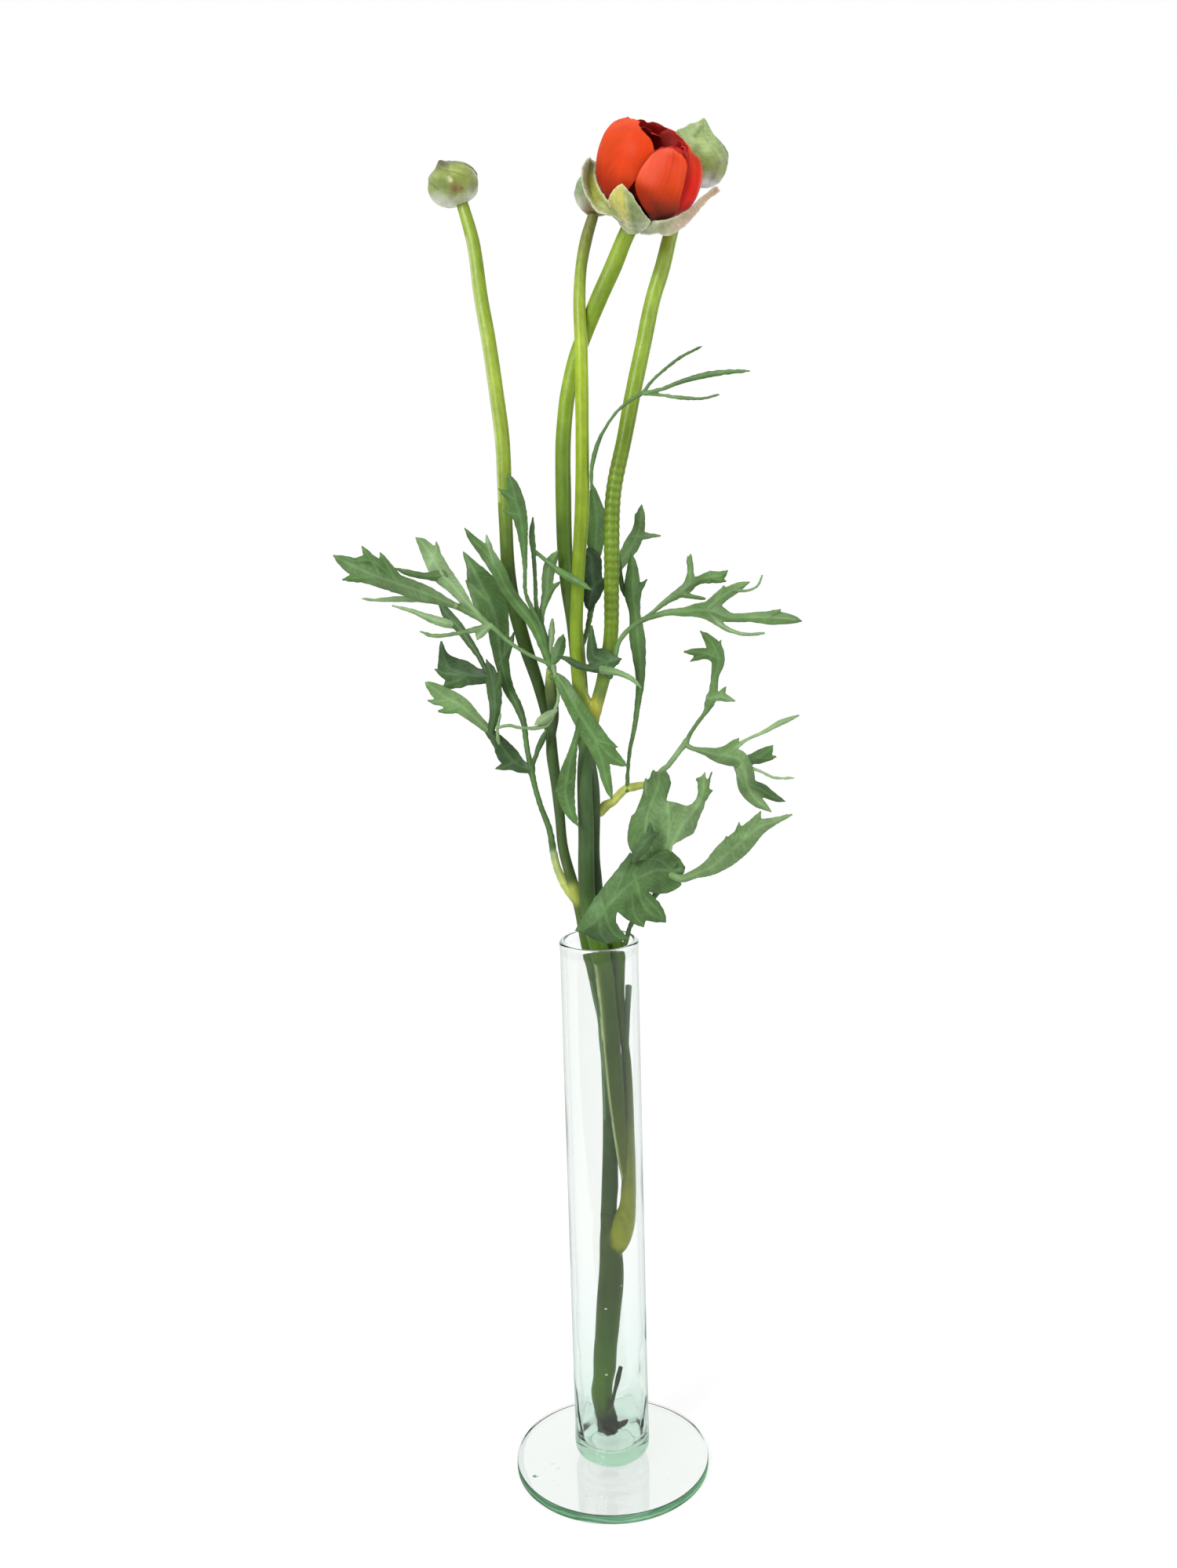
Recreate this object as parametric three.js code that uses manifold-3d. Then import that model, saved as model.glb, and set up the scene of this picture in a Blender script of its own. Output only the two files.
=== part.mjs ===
// A ranunculus stem with a red flower, three buds and its cut leaves, in a slim glass vase with a round foot.
// Millimetres, +Z up. The origin is the middle of the foot's flat underside, and -Y is the front.

import * as THREE from 'three';
import { mergeVertices } from 'three/addons/utils/BufferGeometryUtils.js';
import Module from 'manifold-3d';

const wasm = await Module();
wasm.setup();

// Vase
const vaseHeight = 224;
const tubeRadius = 15;
const wallThickness = 2;
const footRadius = 39.2;
const vaseFloorHeight = 12;
const vaseSides = 26;

// The glass's outer outline, in [radius, height], from the foot's middle to the lower end of the plain tube.
const footOutline = [
  [0, 0], [38.6, 0], [footRadius, 1], [footRadius, 3], [38.2, 3.9], [30, 4.1], [11.2, 4.4], [9.9, 5.2],
  [11.2, 6.5], [14.2, 7.7], [15.05, 10],
];

// The rounded lip, in [outwards from the tube's outside, up from the rim's height].
const lipOutline = [[0, -3], [0.3, -1], [-1, 0], [-2, -1.2]];

// The rounded bottom of the tube's inside, in [in from the wall, up from the floor].
const bowlOutline = [[0, 3.6], [1.2, 1.1], [4.2, 0]];

// Water
const waterLevel = 31;
const waterSides = 20;

// Gap left where two pieces meet
const seatGap = 0.3;

// Flower
const bloomRadius = 17.4;
const petalThickness = 0.8;
const sepalThickness = 1;
const receptacleDepth = 5.4;
const receptacleReach = 20;
const calyxInnerGap = 0.8;
const calyxThickness = 1.4;
const calyxReach = 24;
const bloomPlace = [829, 217, -10];
const bloomLeanRight = 23;
const bloomLeanForward = 20;
const degreesPerColumn = 28;
const fewestColumns = 3;
const domeSides = 12;
const domeSteps = 3;

// The bloom's core, in parts of the bloom's radius
const coreRadius = 0.5;
const coreDrop = 0.36;
const coreSides = 8;
const coreRows = 5;

// Foliage and stalks
const leafThickness = 0.75;
const narrowLeafThickness = 0.95;
const foldedLobeWidth = 19;
const midribFold = 0.11;
const stalkSides = 8;

// Buds
const budSepals = 5;
const budColumns = 15;
const budRows = 8;
const budOverlap = 0.05;
const budTwist = 0.12;
const budRoundness = 0.9;

// Points closer than this are one point
const mergeDistance = 1e-4;

// Places on the plant are [x, y, depth]: x and y in a pinhole view 1500 wide and 1999 high, and depth the
// distance behind the vase's axis in millimetres.
const focalLength = 1960;
const viewCentre = new THREE.Vector2(750, 999.5);
const eye = new THREE.Vector3(-2.3, -566, 399);
const pitch = THREE.MathUtils.degToRad(11.4);
const roll = THREE.MathUtils.degToRad(1.6);
const forward = new THREE.Vector3(0, Math.cos(pitch), -Math.sin(pitch));
const levelRight = new THREE.Vector3(1, 0, 0);
const levelDown = new THREE.Vector3(0, -Math.sin(pitch), -Math.cos(pitch));
const viewRight = levelRight.clone().multiplyScalar(Math.cos(roll)).addScaledVector(levelDown, Math.sin(roll));
const viewDown = levelDown.clone().multiplyScalar(Math.cos(roll)).addScaledVector(levelRight, -Math.sin(roll));

function spot(x, y, depth) {
  const ray = forward.clone();
  ray.addScaledVector(viewRight, (x - viewCentre.x) / focalLength);
  ray.addScaledVector(viewDown, (y - viewCentre.y) / focalLength);
  return ray.multiplyScalar((depth - eye.y) / ray.y).add(eye);
}

function millimetresPerPixel(place) {
  return place.clone().sub(eye).dot(forward) / focalLength;
}

// Solids and unions

function geometryFrom(points, faces) {
  const geometry = new THREE.BufferGeometry();
  const positions = points.flatMap((p) => [p.x, p.y, p.z]);
  geometry.setAttribute('position', new THREE.Float32BufferAttribute(positions, 3));
  geometry.setIndex(faces.flat());
  return geometry;
}

function solidFrom(geometry) {
  const bare = geometry.clone();
  bare.deleteAttribute('normal');
  bare.deleteAttribute('uv');
  const merged = mergeVertices(bare, mergeDistance);
  return new wasm.Manifold(new wasm.Mesh({
    numProp: 3,
    vertProperties: new Float32Array(merged.attributes.position.array),
    triVerts: new Uint32Array(merged.index.array),
  }));
}

function largestBody(solid) {
  const bodies = solid.decompose();
  return bodies.reduce((best, body) => (body.volume() > best.volume() ? body : best));
}

function geometryOf(solid) {
  const mesh = solid.getMesh();
  const geometry = new THREE.BufferGeometry();
  geometry.setAttribute('position', new THREE.BufferAttribute(new Float32Array(mesh.vertProperties), 3));
  geometry.setIndex(new THREE.BufferAttribute(new Uint32Array(mesh.triVerts), 1));
  geometry.computeVertexNormals();
  return geometry;
}

function unite(solids) {
  return wasm.Manifold.union(solids);
}

// A body turned about the vertical axis from an outline of [radius, height].
function turned(outline, sides) {
  const points = outline.map(([radius, height]) => new THREE.Vector2(radius, height));
  return outwards(new THREE.LatheGeometry(points, sides).rotateX(Math.PI / 2));
}

// Rings of equal length joined into one closed body.
function loft(rings) {
  const sides = rings[0].length;
  const points = rings.flat();
  const faces = [];
  for (let i = 0; i + 1 < rings.length; i++) {
    for (let j = 0; j < sides; j++) {
      const a = i * sides + j;
      const b = i * sides + ((j + 1) % sides);
      faces.push([a, b, b + sides], [a, b + sides, a + sides]);
    }
  }
  const last = (rings.length - 1) * sides;
  for (let j = 1; j + 1 < sides; j++) {
    faces.push([0, j + 1, j], [last, last + j, last + j + 1]);
  }
  return outwards(geometryFrom(points, faces));
}

// Flips every face of a closed geometry if its faces point inwards.
function outwards(geometry) {
  const p = geometry.attributes.position;
  const index = geometry.index.array;
  const [a, b, c] = [new THREE.Vector3(), new THREE.Vector3(), new THREE.Vector3()];
  let volume = 0;
  for (let i = 0; i < index.length; i += 3) {
    a.fromBufferAttribute(p, index[i]);
    b.fromBufferAttribute(p, index[i + 1]);
    c.fromBufferAttribute(p, index[i + 2]);
    volume += a.dot(b.cross(c));
  }
  if (volume < 0) {
    for (let i = 0; i < index.length; i += 3) {
      [index[i], index[i + 1]] = [index[i + 1], index[i]];
    }
  }
  return geometry;
}

function frameAlong(places, i) {
  const before = places[Math.max(i - 1, 0)];
  const after = places[Math.min(i + 1, places.length - 1)];
  const tangent = after.clone().sub(before).normalize();
  const view = places[i].clone().sub(eye).normalize();
  const side = tangent.clone().cross(view).normalize();
  return { tangent, side, normal: side.clone().cross(tangent) };
}

// A round stalk through stations [x, y, depth, width in pixels], grown by an extra radius where asked.
function stalk(stations, extra = 0) {
  const places = stations.map(([x, y, depth]) => spot(x, y, depth));
  const rings = places.map((place, i) => {
    const { side, normal } = frameAlong(places, i);
    const radius = stations[i][3] * millimetresPerPixel(place) / 2 + extra;
    return Array.from({ length: stalkSides }, (_, j) => {
      const angle = 2 * Math.PI * j / stalkSides;
      return place.clone()
        .addScaledVector(side, radius * Math.cos(angle))
        .addScaledVector(normal, radius * Math.sin(angle));
    });
  });
  return solidFrom(loft(rings));
}

// A leaf's lobe, tooth or leaf stalk through stations [x, y, depth, width in pixels, turn in degrees].
// Wide lobes are folded a little along the midrib; both faces are split alike.
function lobe(stations) {
  const places = stations.map(([x, y, depth]) => spot(x, y, depth));
  const wide = Math.max(...stations.map((station) => station[3])) >= foldedLobeWidth;
  const across = wide ? [-1, 0, 1] : [-1, 1];
  const thickness = wide ? leafThickness : narrowLeafThickness;
  const rings = places.map((place, i) => {
    const { tangent, side, normal } = frameAlong(places, i);
    const turn = THREE.MathUtils.degToRad(stations[i][4] ?? 0);
    side.applyAxisAngle(tangent, turn);
    normal.applyAxisAngle(tangent, turn);
    const half = stations[i][3] * millimetresPerPixel(place) / 2 / Math.cos(turn);
    const row = (level) => across.map((s) => place.clone()
      .addScaledVector(side, s * half)
      .addScaledVector(normal, level * thickness / 2 + (wide ? Math.abs(s) * half * 2 * midribFold : 0)));
    return [...row(1), ...row(-1).reverse()];
  });
  return solidFrom(sheet(rings, across.length));
}

// Joins rings that run over one face and back over the other, with the same diagonals on both.
function sheet(rings, across) {
  const sides = 2 * across;
  const faces = [];
  for (let i = 0; i + 1 < rings.length; i++) {
    for (let j = 0; j < sides; j++) {
      const a = i * sides + j;
      const b = i * sides + ((j + 1) % sides);
      if (j < across) {
        faces.push([a, b, b + sides], [a, b + sides, a + sides]);
      } else {
        faces.push([a, b, a + sides], [b, b + sides, a + sides]);
      }
    }
  }
  const last = (rings.length - 1) * sides;
  for (let j = 0; j + 1 < across; j++) {
    const k = sides - 1 - j;
    faces.push([j, k, j + 1], [j + 1, k, k - 1]);
    faces.push([last + j, last + j + 1, last + k], [last + j + 1, last + k - 1, last + k]);
  }
  return outwards(geometryFrom(rings.flat(), faces));
}

// The stem and its stalks, in stations of [x, y, depth, width].

const stemParts = {
  lowerStem: [
    [775.5, 1822, 0, 19], [774.5, 1810, 0, 23], [770.5, 1796, 0, 23.5], [767.5, 1778, 0, 24.5],
    [770, 1740, 0, 26.5], [773.5, 1692, 0, 28.5],
    [779, 1602, 0, 28], [777.5, 1582, 0, 25], [776, 1560, 0.5, 21], [775.5, 1545, 1.5, 20],
  ],
  middleStem: [
    [794, 1560, 0, 18], [799, 1535, 0.2, 14], [797.5, 1508, 0, 10], [793, 1475, -0.7, 13],
    [789.5, 1440, -1.2, 17], [785, 1396, -1.5, 21], [778, 1320, -2, 23], [773, 1269, -2, 22],
    [770, 1240, -2.2, 23], [765, 1214, -2.5, 23], [754, 1180, -2.8, 21],
    [750.5, 1160, -3, 21], [747, 1060, -3.5, 20], [747.5, 955, -4, 19], [753, 925, -4, 19],
    [755, 905, -4, 23], [756, 896, -4, 20],
  ],
  leftStem: [
    [777.5, 1582, 0, 20], [776, 1555, 1.5, 20], [777, 1520, 3, 20.5], [777.5, 1487, 4, 19.5],
    [777.7, 1396, 5.5, 19.5],
    [768, 1290, 6, 18], [757.7, 1240, 6, 18], [747, 1195, 5.5, 17], [739, 1155, 5, 16],
    [728, 1120, 5, 14], [717.5, 1080, 4, 13], [713.5, 1040, 3.5, 13], [709, 1000, 3, 14], [703.5, 960, 2, 15],
    [702, 938, 2, 15], [695, 905, 1.5, 14], [687, 876, 1, 15], [667, 815, 0, 18], [651, 751, 0, 18],
    [644.2, 660, 1.5, 17.5], [640, 560, 4.5, 19], [631, 490, 7, 18.5],
    [622, 430, 9.5, 18], [613, 380, 12, 17.5], [602, 305, 15.2, 16],
    [588, 256, 17.8, 14],
  ],
  rightStem: [
    [788, 1594, -0.8, 12], [789, 1586, -1.2, 21], [790.5, 1575, -1.2, 27], [793, 1560, -0.6, 30],
    [799, 1542, 0, 24], [801.2, 1520, 0.4, 20], [802, 1490, 0.5, 17.5], [802.5, 1460, 0.6, 15],
    [802.4, 1420, 0.8, 13.5], [801.2, 1380, 1.8, 12.5], [798, 1340, 3, 12.5], [792.5, 1300, 3.4, 14],
    [789.5, 1270, 3.5, 14.5], [787.5, 1242, 3.5, 19], [786, 1212, 3.8, 21], [777, 1185, 4, 18],
    [765, 1160, 4, 18], [757, 1110, 4, 18], [754.5, 1000, 4, 18], [746, 950, 4, 19],
    [738, 860, 4, 20], [733, 803, 3.5, 20], [723, 739, 3, 19.5], [718, 630, 3, 20],
    [718.5, 550, 3.5, 19.5], [724, 500, 4, 19], [733, 460, 4, 19], [747.5, 420, 3, 19.5], [763.5, 380, 1, 21],
    [781.5, 340, -0.5, 21], [797, 302, -2.5, 20], [802.5, 290.2, -3.2, 20],
  ],
  backLeftStalk: [
    [756, 910, -4, 18], [743, 888, -5, 17], [735.5, 832, -6, 16.5], [736.6, 739, -8, 16.2],
    [742, 640, -7.5, 18], [742, 560, -6, 16.5], [741.5, 500, -4, 16.5],
    [740.5, 440, -2.5, 16], [738.5, 380, 1, 15], [740.8, 340, 5, 14], [748.5, 300, 9, 14.5],
    [756, 275, 11, 13],
  ],
  backRightStalk: [
    [756, 912, -4, 18], [770, 862, -4, 18], [777, 825, -4, 18], [779.5, 740, -3, 18.8],
    [783, 620, -1, 19.4], [795.5, 560, 0.5, 19], [806, 505, 2, 19.5], [819.8, 440, 3.5, 19.6],
    [832.5, 380, 5, 19], [844.5, 340, 6.5, 19], [854.3, 300, 8, 17.5], [862, 275, 9.5, 15],
    [874, 253, 11.5, 13],
    [886, 240, 12.7, 12],
  ],
  leafyBranch: [
    [702, 940, 1.5, 13], [705, 915, 0, 14], [702, 880, -2, 15], [702, 852, -4, 11],
  ],
  cutLeafStalk: [
    [798.5, 1338, 2.5, 8], [800, 1295, 1.6, 7.5], [802, 1256, 1, 9],
  ],
  tornBark: [
    [772, 1801, -2, 8], [779, 1790, -4, 5.5], [783, 1778, -5, 4.5], [785.5, 1765, -5, 4],
    [787.5, 1753, -5, 6], [790.5, 1741, -5, 5],
  ],
  tornBase: [
    [776, 1812, 0, 14], [784, 1815, -1, 12], [790, 1815, -2, 7], [799, 1808, -3, 4],
  ],
};

// Leaves, in named lobes of stations [x, y, depth, width, turn].

const upperLeftLeaf = {
  rachis: [
    [702, 853, -5, 7], [699, 846, -6.8, 6], [690, 842, -7, 5], [675, 835, -6.5, 5], [648, 818, -7, 5],
    [628, 800, -8.5, 6],
    [605, 785, -10, 8], [575, 770, -13, 9], [545, 758, -15, 20, 20], [500, 742, -18, 24, 25],
    [460, 727, -21, 24, 20], [440, 717, -22, 16, 10], [425, 708, -23, 3],
  ],
  farUpperEdge: [[497, 733, -18, 18], [468, 714, -20, 14], [453, 716, -21, 10], [438, 710, -22, 3]],
  farUpperTooth: [[480, 726, -19.5, 16], [468, 707, -20, 10], [461, 696, -20, 3]],
  farSecondTooth: [[502, 735, -18, 16], [490, 716, -18.5, 10], [484, 704, -18.5, 3]],
  farLowerTooth: [[470, 736, -20.5, 16], [450, 737, -21, 10], [436, 739, -21.5, 3]],
  shoulder: [[622, 797, -9, 7], [600, 775, -8, 10], [580, 750, -6, 18, 15], [562, 730, -5, 25, 20],
    [549, 707, -3, 22, 10], [538, 692, -2, 12]],
  shoulderLeftTip: [[548, 704, -3, 16], [536, 690, -2, 9], [529, 685, -2, 3]],
  shoulderRightTip: [[552, 712, -3.5, 18], [556, 700, -2.5, 9], [556, 690, -2, 3]],
  shoulderLobe: [[562, 734, -5, 16], [540, 734, -8, 9], [520, 730, -11, 8], [502, 724, -13, 3]],
  narrowStrip: [[580, 772, -12.5, 8], [545, 765, -11, 8], [500, 764, -8, 7], [478, 765, -7, 4],
    [460, 763, -6, 3]],
  lowStrip: [[622, 797, -9, 6], [600, 804, -10, 7], [580, 808, -11, 5], [550, 810, -12, 5],
    [535, 805, -12.5, 3]],
  lowStripLobe: [[625, 798, -9, 6], [612, 808, -9.5, 11], [608, 816, -10, 4]],
  fanLeaflet: [
    [700, 846, -7, 9], [690, 820, -6, 10], [678, 793, -5.5, 14], [660, 770, -5.5, 16],
    [646, 750, -5.5, 16, -15],
    [634, 726, -5, 19, -20], [615, 700, -4, 15, -15], [603, 688, -4, 10], [592, 673, -4, 3],
  ],
  fanSideTip: [[628, 716, -4.6, 16], [623, 698, -4.5, 9], [620, 682, -4.5, 3]],
  tallLeaflet: [
    [697, 832, -6, 7], [690, 800, -6, 6], [680, 780, -6.5, 6], [671, 760, -7, 5], [669, 720, -8, 6],
    [667, 690, -8.5, 11], [664, 665, -9, 17, 20], [658, 640, -9, 21, 25], [653, 620, -9, 15, 15],
    [647, 603, -9, 3],
  ],
  tallUpperTooth: [[654, 636, -9, 14], [644, 629, -9, 8], [635, 623, -9, 3]],
  tallLowerTooth: [[658, 656, -9, 14], [649, 654, -9, 8], [641, 651, -9, 3]],
  slimLeaflet: [
    [702, 845, -6.5, 9], [696, 822, -5, 10], [690, 800, -4.5, 9], [684, 775, -4.5, 6], [682, 740, -5, 5],
    [680, 705, -5, 6], [678, 685, -5, 8], [679, 660, -5, 3],
  ],
  tendril: [[683, 704, -5, 5], [700, 718, -8, 6], [714, 729, -11, 9], [732, 739, -14, 10], [744, 746, -14, 8],
    [753, 752, -14, 3]],
  paleLeaflet: [
    [689, 800, -4.5, 7], [692, 775, -3.2, 8], [697, 757, -2.8, 13], [698, 738, -3, 15], [702, 718, -3, 15],
    [711, 702, -3, 4],
  ],
  paleTip: [[695, 762, -3, 10], [706, 748, -2.8, 7], [715, 741, -2.6, 3]],
  smallLobe: [[704, 846, -7, 8], [711, 832, -6, 15], [715, 819, -5, 12], [718, 808, -5, 3]],
  smallSpike: [[700, 832, -6, 7], [703, 806, -5, 8], [704, 786, -5, 3]],
  droopingStrip: [
    [705, 850, -7.3, 7], [710, 870, -7.5, 4], [711, 893, -8, 4], [706, 908, -8.5, 5], [697, 924, -8.5, 6],
    [683, 928, -8.5, 5], [665, 928, -8.5, 4], [648, 925, -9, 4], [630, 929, -10, 3],
  ],
  droopingCurl: [[708, 906, -8.5, 6], [697, 914, -9, 13], [688, 920, -9.5, 10], [681, 924, -9.5, 3]],
};

const lowerLeftLeaf = {
  leafStalk: [
    [738, 1152, 1.5, 8], [731, 1143, 1.5, 10], [721, 1128, 1.5, 10], [712, 1112, 1.5, 9], [705, 1085, 1, 9],
    [701, 1060, 0.5, 8], [690, 1030, 0.5, 7], [681, 1000, 0, 7], [677, 980, 0, 9],
  ],
  folded: [[677, 981, 0, 10], [662, 976, -1.5, 18, 30], [648, 964, -3, 26, 35], [637, 948, -4.5, 18, 30],
    [622, 931, -5.5, 10]],
  foldedTip: [[656, 972, -2, 16], [643, 977, -2.5, 10], [631, 980, -3, 3]],
  foldedCurl: [[636, 952, -4.5, 6], [634, 930, -6, 4], [639, 906, -6.5, 3]],
  farBlade: [[624, 932, -5.5, 10], [605, 915, -7, 15], [587, 899, -9, 22, 20], [568, 889, -11, 24, 25],
    [553, 878, -13, 15, 15], [541, 869, -14, 3]],
  farFirstTooth: [[570, 893, -11, 14], [556, 895, -12, 8], [545, 893, -12.5, 3]],
  farSecondTooth: [[582, 902, -9.5, 14], [568, 906, -10.5, 8], [557, 907, -11, 3]],
  uprightBlade: [[625, 934, -5.5, 9], [631, 905, -5.5, 14], [630, 880, -5, 19, -20],
    [626, 860, -4.5, 16, -15],
    [620, 841, -4, 3]],
  uprightBump: [[632, 878, -5, 12], [637, 864, -5, 8], [637, 852, -5, 3]],
  darkBlade: [[624, 862, -4.5, 18], [606, 862, -5, 22], [590, 858, -6, 32, 20], [574, 852, -7, 30, 20],
    [566, 838, -8, 14], [562, 816, -8.5, 3]],
  darkTooth: [[578, 860, -6.7, 22], [564, 858, -7.5, 10], [554, 853, -8, 3]],
  darkLowerTooth: [[586, 866, -6.3, 22], [572, 872, -7, 12], [564, 875, -7.5, 3]],
  darkRibbon: [[620, 856, -4.5, 6], [610, 836, -3.5, 7], [598, 818, -3, 10], [585, 800, -2.5, 12],
    [570, 783, -2, 13], [558, 762, -1.5, 3]],
  paleRibbon: [[580, 796, -2.3, 12], [563, 793, -3, 12], [545, 787, -3.5, 9], [528, 780, -4, 6],
    [500, 772, -4.5, 3]],
  centralBlade: [
    [677, 981, 0, 8], [671, 950, 0.5, 7], [667, 920, 1, 8], [659, 898, 1.5, 11], [648, 878, 2, 14],
    [641, 850, 2.5, 17], [637, 820, 3, 24, 15], [633, 790, 3.5, 31, 20], [624, 765, 4.5, 43, 25],
    [612, 742, 5.5, 33, 20], [602, 722, 6.5, 15, 10], [590, 703, 7.5, 3],
  ],
  centralTooth: [[616, 760, 5, 26], [602, 748, 5.5, 12], [593, 740, 6, 3]],
  centralLowTooth: [[640, 842, 2.6, 14], [650, 822, 2, 8], [655, 806, 1.5, 3]],
  stalkLeaflet: [[678, 978, 0, 6], [684, 960, -1.5, 6], [691, 943, -3, 8], [697, 930, -3.5, 3]],
};

const frontLeaf = {
  rachis: [
    [703, 862, -5.2, 8], [708, 862, -7.8, 9], [714, 868, -9, 15], [725, 886, -11.5, 20, 20],
    [742, 915, -13, 25, 20],
    [760, 943, -14, 29, 15], [778, 963, -13.5, 20, 10], [800, 977, -12, 3],
  ],
  rightTooth: [[768, 946, -13.8, 18], [779, 950, -13, 9], [788, 953, -12.5, 3]],
  lowerLobe: [[762, 952, -14, 24], [769, 976, -14, 16], [774, 998, -13.5, 12], [780, 1020, -13, 3]],
  hangingStalk: [[742, 918, -13, 12], [735, 938, -12, 8], [729, 962, -10.5, 12], [724, 985, -9.5, 20, -20],
    [721, 1010, -9, 23, -20], [726, 1033, -8.5, 15, -10], [737, 1053, -8.2, 3]],
  hangingTooth: [[722, 1000, -9.2, 16], [713, 1006, -9, 9], [706, 1010, -8.8, 3]],
};

const forkLeaf = {
  body: [[777, 862, -8.3, 8], [774, 850, -8.6, 18], [768, 842, -9, 30, 15], [758, 838, -9.5, 20, 10],
    [754, 818, -10, 11], [754, 796, -10, 3]],
  leftArm: [[770, 852, -8.8, 14], [752, 852, -10.5, 9], [735, 847, -12, 10], [722, 840, -12.5, 7],
    [710, 836, -13, 3]],
  rightSpike: [[768, 846, -9, 22], [784, 842, -9, 12], [792, 840, -9, 3]],
  trailingTip: [[768, 854, -9, 12], [789, 858, -8.5, 8], [806, 866, -8, 6], [818, 878, -7.5, 3]],
};

const rightLeaf = {
  leafStalk: [
    [784, 838, -7.5, 6], [789, 818, -8, 6], [800, 804, -8, 6], [820, 790, -8.5, 7], [835, 785, -9, 7],
    [850, 781, -9.5, 8], [870, 780, -10, 11], [890, 778, -10.5, 18, 15], [905, 779, -11, 24, 20],
    [930, 787, -11, 12, 10], [955, 787, -11, 12], [985, 788, -11, 17, -15], [1005, 789, -11, 13, -10],
    [1023, 792, -11, 3],
  ],
  mainTooth: [[980, 786, -11, 12], [990, 780, -11, 7], [995, 777, -11, 3]],
  raisedLobe: [[905, 774, -11, 18], [918, 762, -10, 16, 20], [932, 753, -9, 14, 20], [945, 746, -8, 9],
    [955, 742, -7, 3]],
  raisedTooth: [[916, 760, -10, 12], [921, 752, -10, 7], [923, 745, -10, 3]],
  raisedTail: [[936, 752, -8.8, 6], [952, 753, -8, 3.5], [964, 748, -7.5, 3], [973, 730, -7, 3]],
  lowerTail: [[908, 786, -11, 14], [922, 799, -12, 7], [945, 808, -13, 5], [978, 807, -14, 3]],
  upperBranch: [
    [818, 791, -8.5, 5], [835, 778, -7, 5], [850, 766, -6, 8], [864, 757, -5, 12], [878, 746, -4, 15, -20],
    [880, 728, -3.5, 8], [880, 703, -3, 3],
  ],
  upperSideTip: [[880, 724, -3.4, 7], [877, 714, -3, 5], [876, 706, -3, 3]],
  upperRightLobe: [[876, 748, -4, 13], [892, 739, -4, 11], [906, 736, -4.5, 15], [918, 734, -5, 12],
    [928, 727, -5, 3]],
  upperRightTooth: [[912, 738, -4.7, 12], [925, 741, -5, 3]],
  upperRightNotch: [[904, 738, -4.5, 11], [905, 728, -4.5, 3]],
  middleTip: [[868, 757, -5, 9], [884, 761, -6, 6], [903, 764, -7, 3]],
};

const middleRightLeaf = {
  leafStalk: [
    [766, 1034, 2, 12], [772, 1027, 2, 11], [782, 1022, 2, 9], [789, 1014, 2, 9], [797, 1006, 2.2, 9],
    [808, 1003, 2.5, 9], [822, 1000, 2.5, 8], [836, 989, 2.5, 7], [850, 977, 2, 7], [866, 957, 1.5, 7],
    [874, 946, 1, 8],
  ],
  upBranch: [
    [873, 949, 1, 7], [880, 935, 1.5, 5], [890, 920, 2, 5], [899, 908, 2.5, 6], [905, 894, 3, 13],
    [909, 880, 3.5, 11], [911, 862, 4.5, 10], [915, 843, 6, 17, 25], [911, 827, 7, 19, 20], [903, 815, 8, 12],
    [892, 804, 9, 3],
  ],
  upLeftLobe: [[912, 838, 6.3, 14], [895, 832, 6, 12], [883, 831, 6, 8], [870, 831, 6, 3]],
  upLeftTooth: [[898, 834, 6, 11], [888, 839, 6, 7], [880, 843, 6, 3]],
  upRightTooth: [[910, 832, 6.8, 16], [916, 822, 7, 7], [919, 816, 7, 3]],
  upLowLobe: [[905, 890, 3.1, 11], [918, 888, 3, 12], [928, 891, 2.5, 8], [937, 894, 2, 3]],
  upLowTooth: [[916, 888, 3, 9], [922, 880, 3, 6], [925, 875, 3, 3]],
  outBranch: [
    [874, 949, 1, 7], [882, 954, 0.5, 6], [896, 957, -0.5, 9], [912, 962, -1.5, 17, 20],
    [928, 964, -2.5, 24, 25],
    [942, 968, -3, 22, 20], [949, 984, -4, 23, -20], [952, 1002, -5, 23, -30], [962, 1018, -6, 17, -20],
    [983, 1035, -7, 3],
  ],
  outUpperTip: [[926, 958, -2.3, 15], [936, 948, -3, 10], [942, 940, -3, 3]],
  farSliver: [[930, 958, -2.5, 9], [950, 944, -4, 4], [975, 932, -5.5, 5], [998, 920, -7, 7],
    [1018, 912, -8, 3]],
  raisedLobe: [[944, 974, -3.2, 18], [958, 968, -1.5, 14, 30], [972, 963, 0, 18, 30], [985, 950, 1, 3]],
  raisedTip: [[966, 966, -0.6, 14], [980, 966, 0.5, 8], [991, 964, 1, 3]],
  darkLobe: [[954, 1000, -5, 16], [972, 1008, -4, 16], [986, 1016, -3.5, 10], [1001, 1022, -3, 3]],
  upperTail: [[946, 978, -3.6, 8], [966, 982, -3, 3.5], [986, 991, -3, 3.5], [1012, 992, -3, 3]],
  longStalk: [
    [799, 1007, 2.3, 6], [800, 985, 3, 4.5], [803, 955, 3.5, 5], [809, 925, 4, 6], [813, 895, 4, 8],
    [816, 868, 4, 11], [815, 842, 4, 16, 20], [812, 812, 4, 20, 25], [809, 782, 4, 14, 20],
    [806, 755, 4, 21, 25],
    [806, 725, 4, 14, 20], [805, 705, 4, 3],
  ],
  longRightTooth: [[810, 756, 4, 14], [818, 746, 4, 7], [825, 738, 4, 3]],
  longLeftLobe: [[806, 762, 4, 14], [796, 754, 4.5, 8], [791, 735, 5, 6], [789, 715, 5, 5], [788, 700, 5, 3]],
};

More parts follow.
